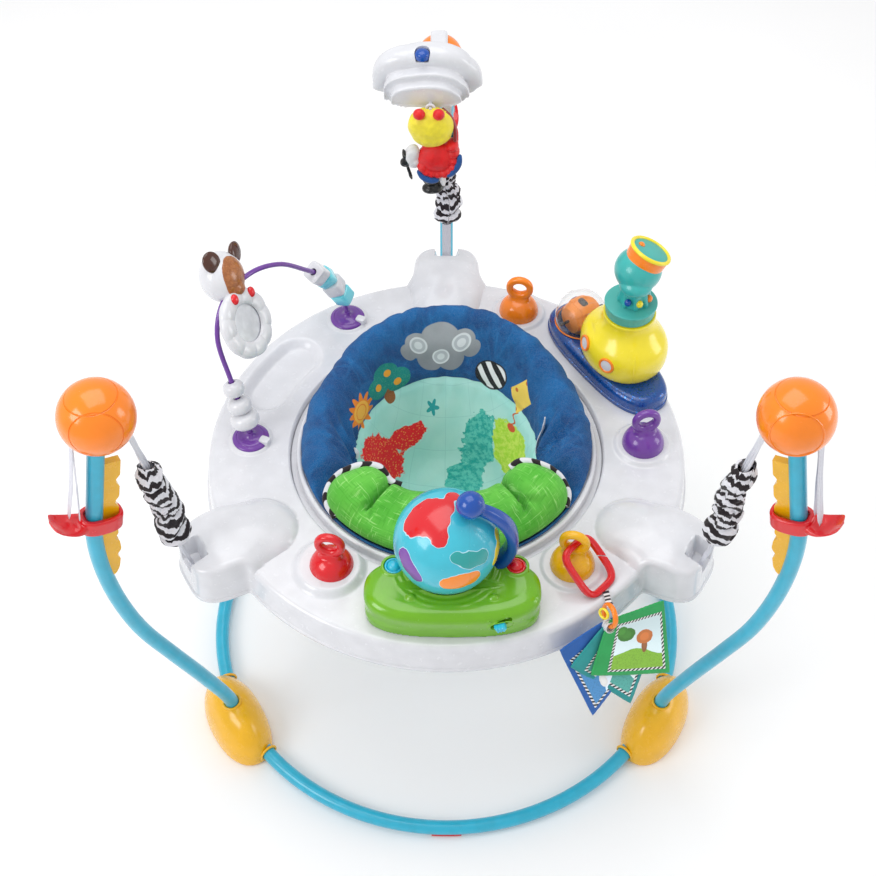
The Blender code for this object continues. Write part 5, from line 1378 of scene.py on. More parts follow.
def make_sleeve(index):
    """A gathered fabric tube, its top end open round the strap."""
    seed, count, (low, high) = SLEEVES[index]
    line = SLEEVE_TOP - SLEEVE_FOOT
    ahead = line.normalized()
    across = ahead.cross(SWAY).normalized()
    rows, sides = 190, 96
    outer, inner, marks = [], [], []
    for k in range(rows + 1):
        share = k / rows
        at = low + (high - low) * share
        bend = math.sin(math.pi * share)
        sway = (Vector((0.0035 * math.sin(7 * share + seed), 0.0055 * math.sin(5.2 * share + seed * 2), 0))
                * bend)
        centre = SLEEVE_FOOT + line * at + sway
        full = SLEEVE_R - 0.0060 * share
        if share < 0.10:
            full *= 0.55 + 0.45 * smoothstep(0, 0.10, share)
        if share > 0.93:
            full *= 1 - 0.20 * smoothstep(0.93, 1.0, share)
        row, lining = [], []
        for j in range(sides):
            angle = 2 * math.pi * j / sides
            stand = puff(share, angle, seed, count)
            edge = min(1.0, share / 0.05, (1 - share) / 0.04)
            stand = 0.55 + (stand - 0.55) * smoothstep(0, 1, edge)
            r = full * (0.60 + 0.47 * stand)
            r += 0.0006 * noise.noise(Vector((math.cos(angle) * 9, math.sin(angle) * 9, share * 60 + seed)))
            tip = 0.0060 * max(0.0, share - 0.9) * 10 * math.cos(angle - 2.6)
            shift = 0.0075 * (noise.noise(Vector((math.cos(angle) * 1.4, math.sin(angle) * 1.4,
                                                  share * 9 + seed)))) * bend
            for points, reach in ((row, r), (lining, r - 0.0012)):
                points.append(centre + across * (math.cos(angle) * reach) + SWAY * (math.sin(angle) * reach)
                              + ahead * (shift + tip))
        outer.append(row)
        inner.append(lining)
    for k in range(rows + 1):
        for j in range(sides):
            run = marks[-sides][0] + (outer[k][j] - outer[k - 1][j]).length if k else 0.0
            marks.append((run, 2 * math.pi * j / sides, 0.0))
    cloth = marks + [marks[(rows - k) * sides + j] for k in range(rows + 1) for j in range(sides)]
    bm = skin(outer + inner[::-1], wrap=True)
    made = piece(f"sleeve_cloth_{index + 1}", bm, zebra_cloth, None, f"sleeve_{index + 1}",
                 crease=0, place=side_of(index))
    label(made, "cloth", cloth)
    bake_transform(made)


def make_lift_strap(index):
    """White webbing from the ball down through the sleeve into the tray arm, crumpled where it gathers."""
    top = LIFT_TOP + Vector((0.004, 0, 0.010))
    route = [top, LIFT_TOP, LIFT_TOP.lerp(SLEEVE_TOP, 0.5), SLEEVE_TOP + Vector((0.001, 0, 0)),
             SLEEVE_TOP.lerp(SLEEVE_FOOT, 0.3), SLEEVE_TOP.lerp(SLEEVE_FOOT, 0.7), SLEEVE_FOOT,
             SLEEVE_FOOT.lerp(LIFT_FOOT, 0.5), LIFT_FOOT, Vector((0.4020, 0, 0.4585))]
    path = smooth_path(route, 14)
    back = index == 2
    wide = 0.0095 if back else 0.0088

    def width(share):
        gather = smoothstep(0.10, 0.30, share) * (1 - smoothstep(0.80, 0.95, share))
        return (wide * (1 - 0.25 * gather) if back
                else wide * (0.62 + 0.38 * smoothstep(0.70, 0.9, share) + 0.1 * gather))

    def crumple(share):
        return 0.0002 if back else 0.0002 + 0.0016 * smoothstep(0.22, 0.34, share)

    def turns(share):
        return 0.0 if back else (0.75, -0.75)[index] * (1 - smoothstep(0.15, 0.9, share))

    rings, cloth = ribbon(path, SWAY, width, 0.0014, crumple, 1.3 * index, turns)
    made = piece(f"lift_strap_{index + 1}", skin(rings), webbing, None, f"lift_spring_{index + 1}",
                 crease=0, place=side_of(index))
    label(made, "cloth", cloth)
    length = sum((b - a).length for a, b in zip(path, path[1:]))
    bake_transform(made)


def make_spring(index):
    """The coil spring that carries the tray, inside the sleeve."""
    path = []
    coils, per = 22, 16
    low, high = SLEEVE_FOOT.lerp(SLEEVE_TOP, 0.20), SLEEVE_FOOT.lerp(SLEEVE_TOP, 0.78)
    ahead = (high - low).normalized()
    across, up = ahead.cross(SWAY).normalized(), SWAY
    for k in range(coils * per + 1):
        turn = 2 * math.pi * k / per
        at = low.lerp(high, k / (coils * per))
        path.append(at + across * (0.0078 * math.cos(turn)) + up * (0.0078 * math.sin(turn)))
    made = piece(f"spring_{index + 1}", tube(path, 0.0010, 8, side=ahead), spring_steel, None, crease=0,
                 place=side_of(index))
    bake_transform(made)


def make_feed_strap(index):
    """The strap's loose end: two legs from the ball into the adjuster's tongue."""
    top = Vector((0.5150, 0, 0.8030))
    feet = ((Vector((0.5455, -0.0065, 0.6590)), 0.0), (Vector((0.5350, 0.0050, 0.6600)), 0.6))
    whole, cloth = [], []
    for foot, seed in feet:
        middle = top.lerp(foot, 0.55) + Vector((-0.0015 + 0.002 * seed, 0.002 * seed, 0))
        path = smooth_path([top, middle, foot], 16)
        rings, marks = ribbon(path, (0.25, 1, 0) if seed else (0.10, 1, 0),
                              lambda share,
                              s=seed: (0.0078 - 0.002 * s) * (1 - 0.5 * smoothstep(0.90, 1.0, share)),
                              0.0011, 0.0003, seed)
        whole.append(skin(rings))
        cloth += marks
    made = piece(f"adjuster_strap_{index + 1}", joined(*whole), webbing, None, f"feed_strap_{index + 1}",
                 crease=0, place=side_of(index))
    label(made, "cloth", cloth)
    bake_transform(made)


def steel():
    """Scuffed spring wire."""
    shade = Shade("spring_steel", Metallic=1.0, Roughness=0.3)
    scuffs = shade.noise(240, 3)
    shade.colour(shade.mix(scuffs, srgb(150, 152, 156), srgb(196, 198, 202)))
    shade.rough(0.22 + 0.2 * scuffs)
    shade.bump(scuffs, 0.00005, 0.3)
    return shade.material


make_tags()
spring_steel = steel()
for side_index in range(3):
    make_sleeve(side_index)
    make_lift_strap(side_index)
    make_spring(side_index)
    make_feed_strap(side_index)


def make_floor_pad():
    """A rubber grip under the front of the floor ring."""
    rings = []
    for z, grow in ((0.0002, -0.0012), (0.0010, 0.0), (0.0042, 0.0)):
        rings.append([around(270 - side * (3.4 - 6.8 * k / 24), RING_R + side * (0.0078 + grow), z)
                      for side in (1, -1) for k in range(25)])
    made = piece("floor_grip", skin(rings), rubber, "frame", "floor_pad")
    bevelled(made, 0.0006, 2)


def rubbery():
    """Red rubber with a fine grain."""
    shade = Shade("red_pad", Roughness=0.6, Specular_IOR_Level=0.4)
    grain = shade.noise(700, 3)
    shade.colour(shade.mix(grain, srgb(190, 16, 22), srgb(222, 30, 34)))
    shade.rough(0.5 + 0.25 * grain)
    shade.bump(grain, 0.0001, 0.5)
    return shade.material


rubber = rubbery()
make_floor_pad()

# Globe toy

GLOBE_R = 0.0703
GLOBE_AT = Vector((0.0, -0.243, TRAY_Z + 0.097))
GLOBE_AXIS = Vector((0.333, -0.075, 0.940)).normalized()
ARM_ORBIT = 0.0865
BASE_AT = (0.008, -0.287)
BASE_HALF = (0.119, 0.0465)
BASE_TOP = TRAY_Z + 0.048
BUTTON_AT = ((-0.0705, -0.2490), (0.0935, -0.2490))
SWITCH_AT = Vector((0.072, -0.3300, TRAY_Z + 0.0310))
SLOT_WAYS = ((1, 0, 0.40), (0, 0, 1))
ISLANDS = (  # discs that run together, each as (right, up, size) of the globe as seen from the front
    ("red", (-0.36, 0.62, 0.27), (-0.60, 0.36, 0.25), (-0.20, 0.34, 0.24), (-0.04, 0.66, 0.19),
     (-0.12, 0.07, 0.13),
     (0.13, 0.86, 0.13)),
    ("purple", (-0.78, -0.24, 0.17), (-0.67, -0.47, 0.17), (-0.55, -0.63, 0.12)),
    ("orange", (0.02, -0.74, 0.15), (0.27, -0.70, 0.20), (0.50, -0.62, 0.14)),
    ("teal", (0.17, -0.24, 0.11), (0.42, -0.30, 0.18), (0.66, -0.24, 0.14)),
    ("yellow", (0.93, 0.16, 0.12), (0.95, -0.12, 0.15), (0.90, -0.34, 0.11)),
)
FAR_ISLANDS = (  # the same, as seen from the back
    ("red", (0.40, 0.30, 0.20), (0.62, 0.12, 0.18)),
    ("purple", (0.10, -0.10, 0.22), (-0.12, -0.28, 0.17)),
    ("orange", (-0.55, 0.25, 0.24), (-0.30, 0.48, 0.16)),
    ("teal", (0.30, -0.62, 0.20), (0.02, -0.70, 0.14)),
    ("yellow", (-0.55, -0.50, 0.20), (-0.70, -0.25, 0.14)),
)
ISLAND_COLOURS = {
    "red": srgb(214, 22, 34), "purple": srgb(118, 58, 160), "orange": srgb(250, 140, 16),
    "teal": srgb(36, 160, 158), "yellow": srgb(240, 216, 40),
}


def make_globe_base():
    """A moulded plinth with ridges round the globe's seat, button wells, a slider slot and raised marks."""
    x, y = BASE_AT
    levels = []
    for k in range(13):
        levels.append((TRAY_Z + 0.0004 + 0.0346 * k / 12, 0.0005 + 0.0016 * (1 - k / 12),
                       smoothstep(4, 7, k)))
    for k in range(1, 13):
        a = math.pi / 2 * k / 12
        levels.append((BASE_TOP - 0.0130 + 0.0130 * math.sin(a), 0.0010 + 0.0200 * (1 - math.cos(a)), 1.0))
    for k in range(1, 15):
        levels.append((BASE_TOP, 0.0210 + 0.0017 * k, 1.0))
    rings = []
    for z, inset, lean in levels:
        back = 0.0155 * lean
        half = (BASE_HALF[0] - inset, BASE_HALF[1] - inset + back / 2)
        ring = flat_ring(x, y + back / 2, z, half, 200, 2.7)
        if z > BASE_TOP - 0.0002:
            for point in ring:
                reach = math.hypot(point.x - GLOBE_AT.x, (point.y - GLOBE_AT.y) * 1.04)
                for at, rise, wide in ((0.0560, 0.0034, 0.0034), (0.0655, 0.0014, 0.0026),
                                       (0.0745, 0.0010, 0.0024)):
                    point.z += (rise * math.exp(-(((reach - at) / wide) ** 2))
                                * smoothstep(0.0190, 0.0230, inset))
                edge = math.exp(-(((inset - 0.0220) / 0.0026) ** 2))
                point.z += 0.0003 * edge
        rings.append(ring)
    parts = [skin(rings)]
    for bx, by in BUTTON_AT:
        rim = turned(round_section(0.0152, 0.0, 0.0026, 16), 64, wrap=True)
        parts.append(moved(rim, Matrix.Translation((bx, by, BASE_TOP))))
    for bx, by in ((-0.0470, -0.2990), (0.0622, -0.2995)):
        parts.append(ball((bx, by, BASE_TOP), (0.0062, 0.0052, 0.0042), 24, 16))
    slot = frame_of(*SLOT_WAYS, (SWITCH_AT.x, -0.3325, SWITCH_AT.z))
    lip = skin([ring_at(point, point.normalized(), (0, 0, 1), (0.0013, 0.0013), 8)
                for point in flat_ring(0, 0, 0, (0.0165, 0.0072), 48, 2.6)], wrap=True)
    parts.append(moved(lip, slot))
    for u, v, size in ((-0.012, 0.0135, 0.0016), (0.013, 0.0160, 0.0024)):
        parts.append(moved(ball((u, v, 0.0), (size, size, 0.0012), 16, 10), slot))
    made = piece("globe_plinth", joined(*parts), green_plastic, "tray", "globe_base",
                 crease=0)
    melt(made, 0.0013, 2)
    cuts = [ball(GLOBE_AT, GLOBE_R + 0.0016, 96, 64)]
    for bx, by in BUTTON_AT:
        well = turned(((0, -0.013), (0.0134, -0.013), (0.0134, 0.01), (0, 0.01)), 64)
        cuts.append(moved(well, Matrix.Translation((bx, by, BASE_TOP))))
    hollow = [flat_ring(0, 0, z, (0.0150, 0.0058), 40, 2.8) for z in (-0.012, 0.012)]
    cuts.append(moved(skin(hollow), slot))
    for tool in cuts:
        cut(made, tool)
    sharpen(made, 50)


def island_field(direction, discs, right, up, ahead):
    """How far inside a group of discs a direction lies. Below 0 is outside."""
    total = 0.0
    for u, v, size in discs:
        middle = right * u + up * v + ahead * math.sqrt(max(0.0, 1 - u * u - v * v))
        total += math.exp(-(((direction - middle).length / size) ** 2))
    return total - 0.36


def globe_material():
    """Sea-coloured plastic with pale shores and one tint for each group of islands."""
    shade = Shade("globe_plastic", Coat_Weight=0.4, Coat_Roughness=0.05)
    sea = srgb(62, 190, 212)
    cloudy = shade.noise(30, 3)
    colour = shade.mix(shade.soft(cloudy, 0.3, 0.75), darker(sea, 0.92), sea)
    fields = [*shade.axes(shade.along("islands_a")), *shade.axes(shade.along("islands_b"))[:2]]
    edge = None
    for (name, *_), field in zip(ISLANDS, fields):
        colour = shade.mix(shade.soft(field, -0.015, 0.0), colour, srgb(176, 222, 236))
        colour = shade.mix(shade.soft(field, 0.045, 0.06), colour, ISLAND_COLOURS[name])
        rise = shade.soft(field, -0.03, 0.03)
        edge = rise if edge is None else edge + rise
    offset = shade.axes(shade.place())
    seam = abs(offset[0] - (AXIS.x + GLOBE_AT.x + 0.0300))
    shade.colour(colour)
    shade.rough(0.20 + 0.1 * shade.soft(shade.noise(95, 4), 0.45, 0.8))
    shade.bump(edge * 0.5 - 0.6 * shade.soft(seam, 0.0007, 0.0002) + 0.04 * shade.noise(24, 1), 0.0006, 0.6)
    return shade.material


def make_globe():
    """A ball with low raised islands all round it."""
    made = ball((0, 0, 0), 1.0, 176, 120)
    camera_up, ahead = Vector((0, 0.765, 0.644)), Vector((0, -0.644, 0.765))
    views = ((ISLANDS, Vector((1, 0, 0)), camera_up, ahead),
             (FAR_ISLANDS, Vector((-1, 0, 0)), camera_up, -ahead))
    first, second = [], []
    for vert in made.verts:
        direction = vert.co.normalized()
        fields = [max(island_field(direction, islands[group][1:], right, up, front)
                      for islands, right, up, front in views) for group in range(len(ISLANDS))]
        fields = [f + 0.10 * noise.noise(direction * 7 + Vector((k, 0, 0)))
                  + 0.05 * noise.noise(direction * 16)
                  for k, f in enumerate(fields)]
        highest = max(fields)
        vert.co = direction * (GLOBE_R + 0.0005 * smoothstep(-0.03, 0.05, highest))
        first.append(tuple(fields[:3]))
        second.append((*fields[3:], 0.0))
    globe = piece("globe_shell", moved(made, Matrix.Translation(GLOBE_AT)), globe_material(), "globe",
                  "globe",
                  crease=0)
    label(globe, "islands_a", first)
    label(globe, "islands_b", second)


def make_globe_arm():
    """The band that carries the globe's upper pin, with a ball at its end."""
    out = (Vector((1, 0, 0)) - GLOBE_AXIS * GLOBE_AXIS.x).normalized()
    across = GLOBE_AXIS.cross(out)
    rings = []
    steps = 72
    for k in range(steps + 1):
        angle = math.radians(-4 + 132 * k / steps)
        away = math.cos(angle) * GLOBE_AXIS + math.sin(angle) * out
        wide = 0.0074 + 0.0076 * smoothstep(0.0, 1.3, angle)
        rings.append(ring_at(GLOBE_AT + (ARM_ORBIT + 0.0004) * away, away, across, (0.0080, wide), 48, 3.0))
    hub = ball(GLOBE_AT + (ARM_ORBIT + 0.0047) * GLOBE_AXIS, (0.0186, 0.0186, 0.0184), 64, 44)
    pin = moved(turned(((0, 0.066), (0.0036, 0.066), (0.0036, 0.090), (0, 0.090)), 24),
                facing(GLOBE_AXIS, GLOBE_AT))
    made = piece("globe_band", joined(skin(rings), hub, pin), blue_plastic, "tray", "globe_arm",
                 crease=0)
    melt(made, 0.0012, 3)
    cut(made, ball(GLOBE_AT, GLOBE_R + 0.0014, 96, 64))
    sharpen(made, 50)


def make_buttons():
    """Two round push buttons with a ring groove."""
    looks = (("left", sea_plastic, "sea_plastic"), ("right", red_plastic, "red_plastic"))
    for (side, material, slot), (x, y) in zip(looks, BUTTON_AT):
        profile = [(0.0, -0.0090), (0.0158, -0.0090), (0.0160, -0.0004), (0.0156, 0.0010), (0.0146, 0.0016),
                   (0.0130, 0.0014), (0.0122, 0.0002), (0.0116, -0.0002), (0.0110, 0.0010), (0.0098, 0.0030),
                   (0.0080, 0.0046), (0.0055, 0.0056), (0.0028, 0.0061), (0.0, 0.0062)]
        made = turned([(0.8 * r, z) for r, z in profile], 72)
        piece(f"{side}_push_button", moved(made, Matrix.Translation((x, y, BASE_TOP))), material,
              f"{side}_button", f"button_{side}", crease=50)


def make_slider():
    """A ribbed thumb slider in the slot."""
    slot = frame_of(*SLOT_WAYS, (SWITCH_AT.x - 0.0015, -0.3342, SWITCH_AT.z - 0.0002))
    rings = []
    steps = 40
    for k in range(steps + 1):
        u = -0.0072 + 0.0144 * k / steps
        end = smoothstep(0.0072, 0.0056, abs(u))
        rise = 0.0030 + 0.0026 * end + 0.0007 * math.cos(u / 0.0020 * math.pi) * end
        rings.append([Vector((u, v, w)) for v, w in
                      ((-0.0046, -0.004), (-0.0046, rise * 0.7), (-0.0034, rise), (0.0034, rise),
                       (0.0046, rise * 0.7),
                       (0.0046, -0.004))])
    piece("thumb_slider", moved(skin(rings), slot), sea_plastic, "volume_slider", "volume_switch")


# Small tray toys

KNOB_R = 0.031
LOOP_R = 0.0164
LOOP_TUBE = 0.0060
LOOP_Z = 0.0545
KNOBS = (
    ("red", (-0.1575, -0.2190), 80, red_plastic),
    ("gold", (0.173, -0.215), 74, gold_plastic),
    ("orange", (0.115, 0.277), 80, orange_plastic),
    ("purple", (0.289, 0.002), 100, purple_plastic),
)
LINK_HALF = (0.0360, 0.0262)
LINK_AZIMUTH = 46.6
LINK_FALL = math.radians(40)
RIBBON_WIDE = 0.0112
CARD_RING_AT = Vector((0.2180, -0.3020, TRAY_Z + 0.0090))
CARD_RING_R = 0.0150
CARD_SIDE = 0.0985
CARD_INSET = 0.009
CARD_HOLE_R = 0.0062
CARD_FAN = (0, -28, -52)
CARD_STEP = 0.0042
CARD_CORNERS = ((0.004, -0.006), (0.0906, -0.0145), (0.1123, 0.1091), (-0.017, 0.080))


def make_knobs():
    """Domes that swell into a loop at the top."""
    for name, (x, y), looks, material in KNOBS:
        profile = [(0.0, 0.0), (KNOB_R - 0.0006, 0.0), (KNOB_R, 0.0012), (KNOB_R, 0.0040)]
        for k in range(1, 15):
            a = math.pi / 2 * k / 14
            profile.append((KNOB_R * math.cos(a) ** 0.92 if k < 14 else 0.0, 0.0040 + 0.0300 * math.sin(a)))
        hole = around(looks, 1.0)
        side = hole.cross(Vector((0, 0, 1)))
        rings = []
        for k in range(56):
            angle = 2 * math.pi * k / 56
            away = math.cos(angle) * side + math.sin(angle) * Vector((0, 0, 1))
            thick = LOOP_TUBE + 0.0012 * smoothstep(0.0, 0.9, -math.sin(angle))
            rings.append(ring_at(Vector((0, 0, LOOP_Z)) + (LOOP_R - 0.0004) * away, away, hole,
                                 (thick * 0.92, thick), 28, 2.3))
        neck = [ring_at((0, 0, z), side, hole, half, 40) for z, half in
                ((0.0180, (0.0240, 0.0220)), (0.0300, (0.0170, 0.0130)), (0.0360, (0.0160, 0.0085)),
                 (0.0410, (0.0165, 0.0060)))]
        made = piece(f"{name}_knob", joined(turned(profile, 96), skin(rings, wrap=True), skin(neck)),
                     material, "tray",
                     f"loop_knob_{name}", crease=0,
                     place=CENTRE @ Matrix.Translation((x, y, TRAY_Z + GAP)))
        melt(made, 0.0010, 7)


def gold_loop():
    """The link's place in the gold knob's loop, the way its strand runs there and the way it falls."""
    level = around(LINK_AZIMUTH - 90, 1.0)
    fall = math.cos(LINK_FALL) * level - math.sin(LINK_FALL) * Vector((0, 0, 1))
    return Vector((*KNOBS[1][1], TRAY_Z + 0.049)), around(LINK_AZIMUTH, 1.0), fall


def make_link():
    """A rounded-square snap link with a ridge round its inside and a slanting split."""
    centre, hole, fall = gold_loop()
    normal = fall.cross(hole)
    middle = centre + LINK_HALF[0] * fall
    count = 160
    points = ring_at(middle, fall, hole, LINK_HALF, count, 4.2)
    section = flat_ring(0, 0, 0, (1.0, 1.0), 56, 3.6)
    rings = []
    for k, point in enumerate(points):
        out = (points[(k + 1) % count] - points[k - 1]).normalized().cross(normal)
        if out.dot(point - middle) < 0:
            out = -out
        ring = []
        for corner in section:
            face = smoothstep(0.75, 0.95, abs(corner.y))
            dent = 0.0008 * face * math.exp(-(((corner.x + 0.40) / 0.16) ** 2))
            height = corner.y * 0.0046 - math.copysign(dent, corner.y)
            ring.append(point + out * (corner.x * 0.0047) + normal * height)
        rings.append(ring)
    made = piece("snap_link", skin(rings, wrap=True), red_plastic, "link", "link", crease=45)
    spot = middle + 0.002 * fall + LINK_HALF[1] * hole
    slit = skin([ring_at(spot + t * (hole + 0.9 * fall).normalized(), (fall - 0.9 * hole).normalized(),
                         normal,
                         (0.0006, 0.012), 8, 6) for t in (-0.010, 0.010)])
    cut(made, slit)
    sharpen(made, 45)


def card_frame():
    """The cards' ways: along their upper edge, down their sides and out of their front."""
    across, down = Vector((0.914, 0.361, -0.186)).normalized(), Vector((-0.022, -0.412, -0.911)).normalized()
    return across, down, down.cross(across).normalized()


def make_card_ring():
    """The flattened ring that holds the cards, its yellow keeper and the striped ribbon to the link."""
    across, down, front = card_frame()
    keeper_at = CARD_RING_AT - 0.0095 * across - 0.0050 * down
    keeper_way = (front + 0.35 * across).normalized()
    for name, material, slot, stands, middle, radius, way, half, count, sides, power in (
        ("card_hoop", orange_plastic, "orange_plastic", "card_ring", CARD_RING_AT, CARD_RING_R, front,
         (0.0031, 0.0036), 72, 24, 2.4),
        ("card_keeper", yellow_plastic, "yellow_plastic", (), keeper_at, 0.0070, keeper_way,
         (0.0016, 0.0019), 48, 16, 2.0),
    ):
        rings = []
        for k in range(count):
            angle = 2 * math.pi * k / count
            away = math.cos(angle) * way + math.sin(angle) * down
            rings.append(ring_at(middle + radius * away, away, across, half, sides, power))
        piece(name, skin(rings, wrap=True), material, "card_ring", stands, crease=0)
    centre, _, fall = gold_loop()
    start = centre + (2 * LINK_HALF[0] + 0.0030) * fall
    finish = CARD_RING_AT - (CARD_RING_R - 0.0008) * down
    rings, cloth = [], []
    steps = 28
    lean = finish - start
    for k in range(steps + 1):
        t = k / steps
        spot = start + t * lean + 0.0016 * math.sin(math.pi * t * 2) * front
        half = RIBBON_WIDE / 2 - 0.0012 * math.sin(math.pi * t)
        ring = ring_at(spot, across, front, (half, 0.0007), 20, 3)
        rings.append(ring)
        cloth += [(t * lean.length, (point - spot).dot(across), 0.0) for point in ring]
    made = piece("card_ribbon", skin(rings), ribbon_stripes(), "card_ring", crease=0)
    label(made, "cloth", cloth)


def ribbon_stripes():
    """Black and white stripes across a woven ribbon."""
    shade = Shade("card_ribbon", Roughness=0.6)
    length, across, _ = shade.axes(shade.along("cloth"))
    lines = (length * 560 + 0.6).math("SINE")
    shade.colour(shade.mix(shade.soft(lines, -0.2, 0.2), srgb(26, 28, 32), srgb(232, 232, 232)))
    shade.bump((length * 9000).math("SINE") * 0.4 + (across * 12000).math("SINE") * 0.3, 0.0002, 0.5)
    return shade.material


def nearest(first, *others):
    """The least of some shader values."""
    for other in others:
        first = first.math("MINIMUM", other)
    return first


def card_cloth(name, border, sky, ground, picture):
    """A printed picture in a striped frame on coloured cloth, from the card's own coordinates in metres."""
    shade = Shade(name, Roughness=0.75, Sheen_Weight=0.15)
    u, v, face = shade.axes(shade.along("card"))
    side = CARD_SIDE
    left, right, top, bottom = 0.0185, side - 0.0060, 0.0135, side - 0.0070
    frame_in = 0.0034

    def within(margin):
        return nearest(u - left - margin, right - margin - u, v - top - margin, bottom - margin - v)

    inside = shade.soft(within(0.0), -0.0002, 0.0002)
    picture_in = shade.soft(within(frame_in), -0.0002, 0.0002)
    stripes = shade.soft(((u + v) * 1150).math("SINE"), -0.2, 0.2)
    hill = 0.062 + 0.006 * (u * 74 + 1.0).math("SINE") + 0.003 * shade.noise(60, 2)
    over = shade.soft(v - hill, -0.0004, 0.0004)
    haze = shade.mix(shade.soft(v, 0.02, 0.065), sky, darker(sky, 1.25))
    scene = shade.mix(over, haze, ground)
    scene = shade.mix(shade.soft(shade.noise(520, 2), 0.50, 0.64) * over * 0.55, scene, darker(ground, 0.62))
    for cx, cy, rx, ry, tint in picture:
        gap = (((u - cx) / rx) ** 2 + ((v - cy) / ry) ** 2).math("SQRT")
        leaf = gap + 0.22 * (shade.noise(260, 3) - 0.5)
        scene = shade.mix(shade.soft(leaf, 1.04, 0.97), scene, tint)
        scene = shade.mix(shade.soft(leaf, 0.70, 0.45) * 0.5, scene, tuple(min(1.0, c * 1.5) for c in tint))
    colour = shade.mix(shade.soft(shade.noise(48, 3), 0.3, 0.7), darker(border, 0.88), border)
    colour = shade.mix(inside, colour, shade.mix(stripes, srgb(28, 30, 34), srgb(236, 236, 236)))
    colour = shade.mix(picture_in, colour, scene)
    plain = shade.mix(shade.soft(shade.noise(48, 3), 0.3, 0.7), darker(border, 0.85), border)
    shade.colour(shade.mix(shade.soft(face, 0.2, 0.5), plain, colour))
    weave = (u * 9500).math("SINE") * (v * 9500).math("SINE")
    stitch = shade.soft(abs(nearest(u, side - u, v, side - v) - 0.0030), 0.0007, 0.0001)
    shade.bump(0.12 * weave - 0.9 * stitch + 0.25 * shade.noise(90, 3), 0.0005, 0.6)
    return shade.material


def make_cards():
    """Three sewn and lightly padded cards, each bowed and puckered along its stitched edge."""
    across, down, front = card_frame()
    near_left, near_right, far_right, far_left = (Vector(corner) for corner in CARD_CORNERS)
    leaf, trunk, sun = srgb(66, 130, 50), srgb(150, 96, 58), srgb(250, 206, 70)
    looks = (
        ("front", srgb(38, 168, 88), srgb(214, 234, 238), srgb(140, 196, 60),
         ((0.036, 0.034, 0.013, 0.010, leaf), (0.028, 0.028, 0.009, 0.008, darker(leaf, 1.2)),
          (0.064, 0.054, 0.0042, 0.011, trunk), (0.064, 0.042, 0.0125, 0.0100, srgb(206, 120, 60)))),
        ("middle", srgb(28, 150, 150), srgb(226, 238, 240), srgb(90, 180, 170),
         ((0.058, 0.036, 0.011, 0.011, sun), (0.040, 0.060, 0.014, 0.006, srgb(230, 90, 60)))),
        ("back", srgb(28, 96, 178), srgb(220, 232, 246), srgb(80, 150, 210),
         ((0.052, 0.044, 0.010, 0.013, srgb(220, 60, 70)),
          (0.074, 0.066, 0.010, 0.005, srgb(240, 240, 240)))),
    )
    for k, ((name, border, sky, ground, picture), fan) in enumerate(zip(looks, CARD_FAN)):
        turn = spun(fan, front)
        set_back = (k - 1) * CARD_STEP
        bottom = math.sqrt(CARD_RING_R**2 - set_back**2)
        hole_at = (CARD_RING_AT + (bottom + CARD_HOLE_R - 0.0040 - 0.0005 * abs(k - 1)) * down
                   - set_back * front)
        corner = hole_at - turn @ (CARD_INSET * across + CARD_INSET * down)
        count = 72
        bm = bmesh.new()
        top, marks = [], []
        for sign in (1, -1):
            grid = []
            for i in range(count + 1):
                row = []
                for j in range(count + 1):
                    u, v = i / count, j / count
                    edge = min(u, 1 - u, v, 1 - v)
                    short = max(0.0, 0.26 - u - v) * 0.12
                    rounding = 0.12 * max(0.0, abs(u - 0.5) + abs(v - 0.5) - 0.90)
                    su, sv = 0.5 + (u + short - 0.5) * (1 - rounding), 0.5 + (v + short - 0.5) * (1
                                                                                                  - rounding)
                    flat = near_left.lerp(near_right, su).lerp(far_left.lerp(far_right, su), sv)
                    puff = (0.0 if edge <= 0 else 0.0007 + 0.0007 * smoothstep(0.0, 0.035, edge)
                            + 0.0004 * smoothstep(0.03, 0.40, edge))
                    along = u if min(v, 1 - v) < min(u, 1 - u) else v
                    pucker = 0.0004 * math.sin(along * 74) * smoothstep(0.09, 0.0, edge)
                    bow = ((0.0030 * su * sv - 0.0008 * math.sin(math.pi * sv)) * (0.5 + 0.5 * k)
                           + 0.0012 * math.sin(5 * su + 2 * k))
                    lift = (bow - 0.0012 * math.sin(2 * k)) * smoothstep(0.0, 0.3, su + sv)
                    spot = (corner + turn @ (flat.x * across + flat.y * down)
                            + (sign * puff + pucker * 0.5 + lift) * front)
                    if edge <= 0 and sign < 0:
                        row.append(top[i][j])
                    else:
                        row.append(bm.verts.new(spot))
                        marks.append((u * CARD_SIDE, v * CARD_SIDE, 1.0 if sign > 0 or edge <= 0 else 0.0))
                grid.append(row)
            top = top or grid
            for i in range(count):
                for j in range(count):
                    bm.faces.new((grid[i][j], grid[i + 1][j], grid[i + 1][j + 1], grid[i][j + 1]))
        bm.verts.index_update()
        layer = bm.verts.layers.float_vector.new("card")
        bm.verts.ensure_lookup_table()
        for vert, mark in zip(bm.verts, marks):
            vert[layer] = Vector(mark)
        bmesh.ops.recalc_face_normals(bm, faces=bm.faces)
        made = piece(f"{name}_cloth_card", bm, card_cloth(f"{name}_card_print", border, sky, ground, picture),
                     f"{name}_card", f"card_{name}", crease=0)
        cut(made, tube([hole_at - 0.01 * front, hole_at + 0.01 * front], CARD_HOLE_R + 0.0006, 32, side=down))
        eyelet = round_section(CARD_HOLE_R + 0.0004 + 0.0011, 0.0, 0.0011, 16, tall=0.0022)
        piece(f"{name}_card_eyelet", moved(turned(eyelet, 40, wrap=True), frame_of(across, down, hole_at)),
              white_plastic, f"{name}_card", crease=0)


make_globe_base()
make_globe()
make_globe_arm()
make_buttons()
make_slider()
make_knobs()
make_link()
make_card_ring()
make_cards()

# Bead arch

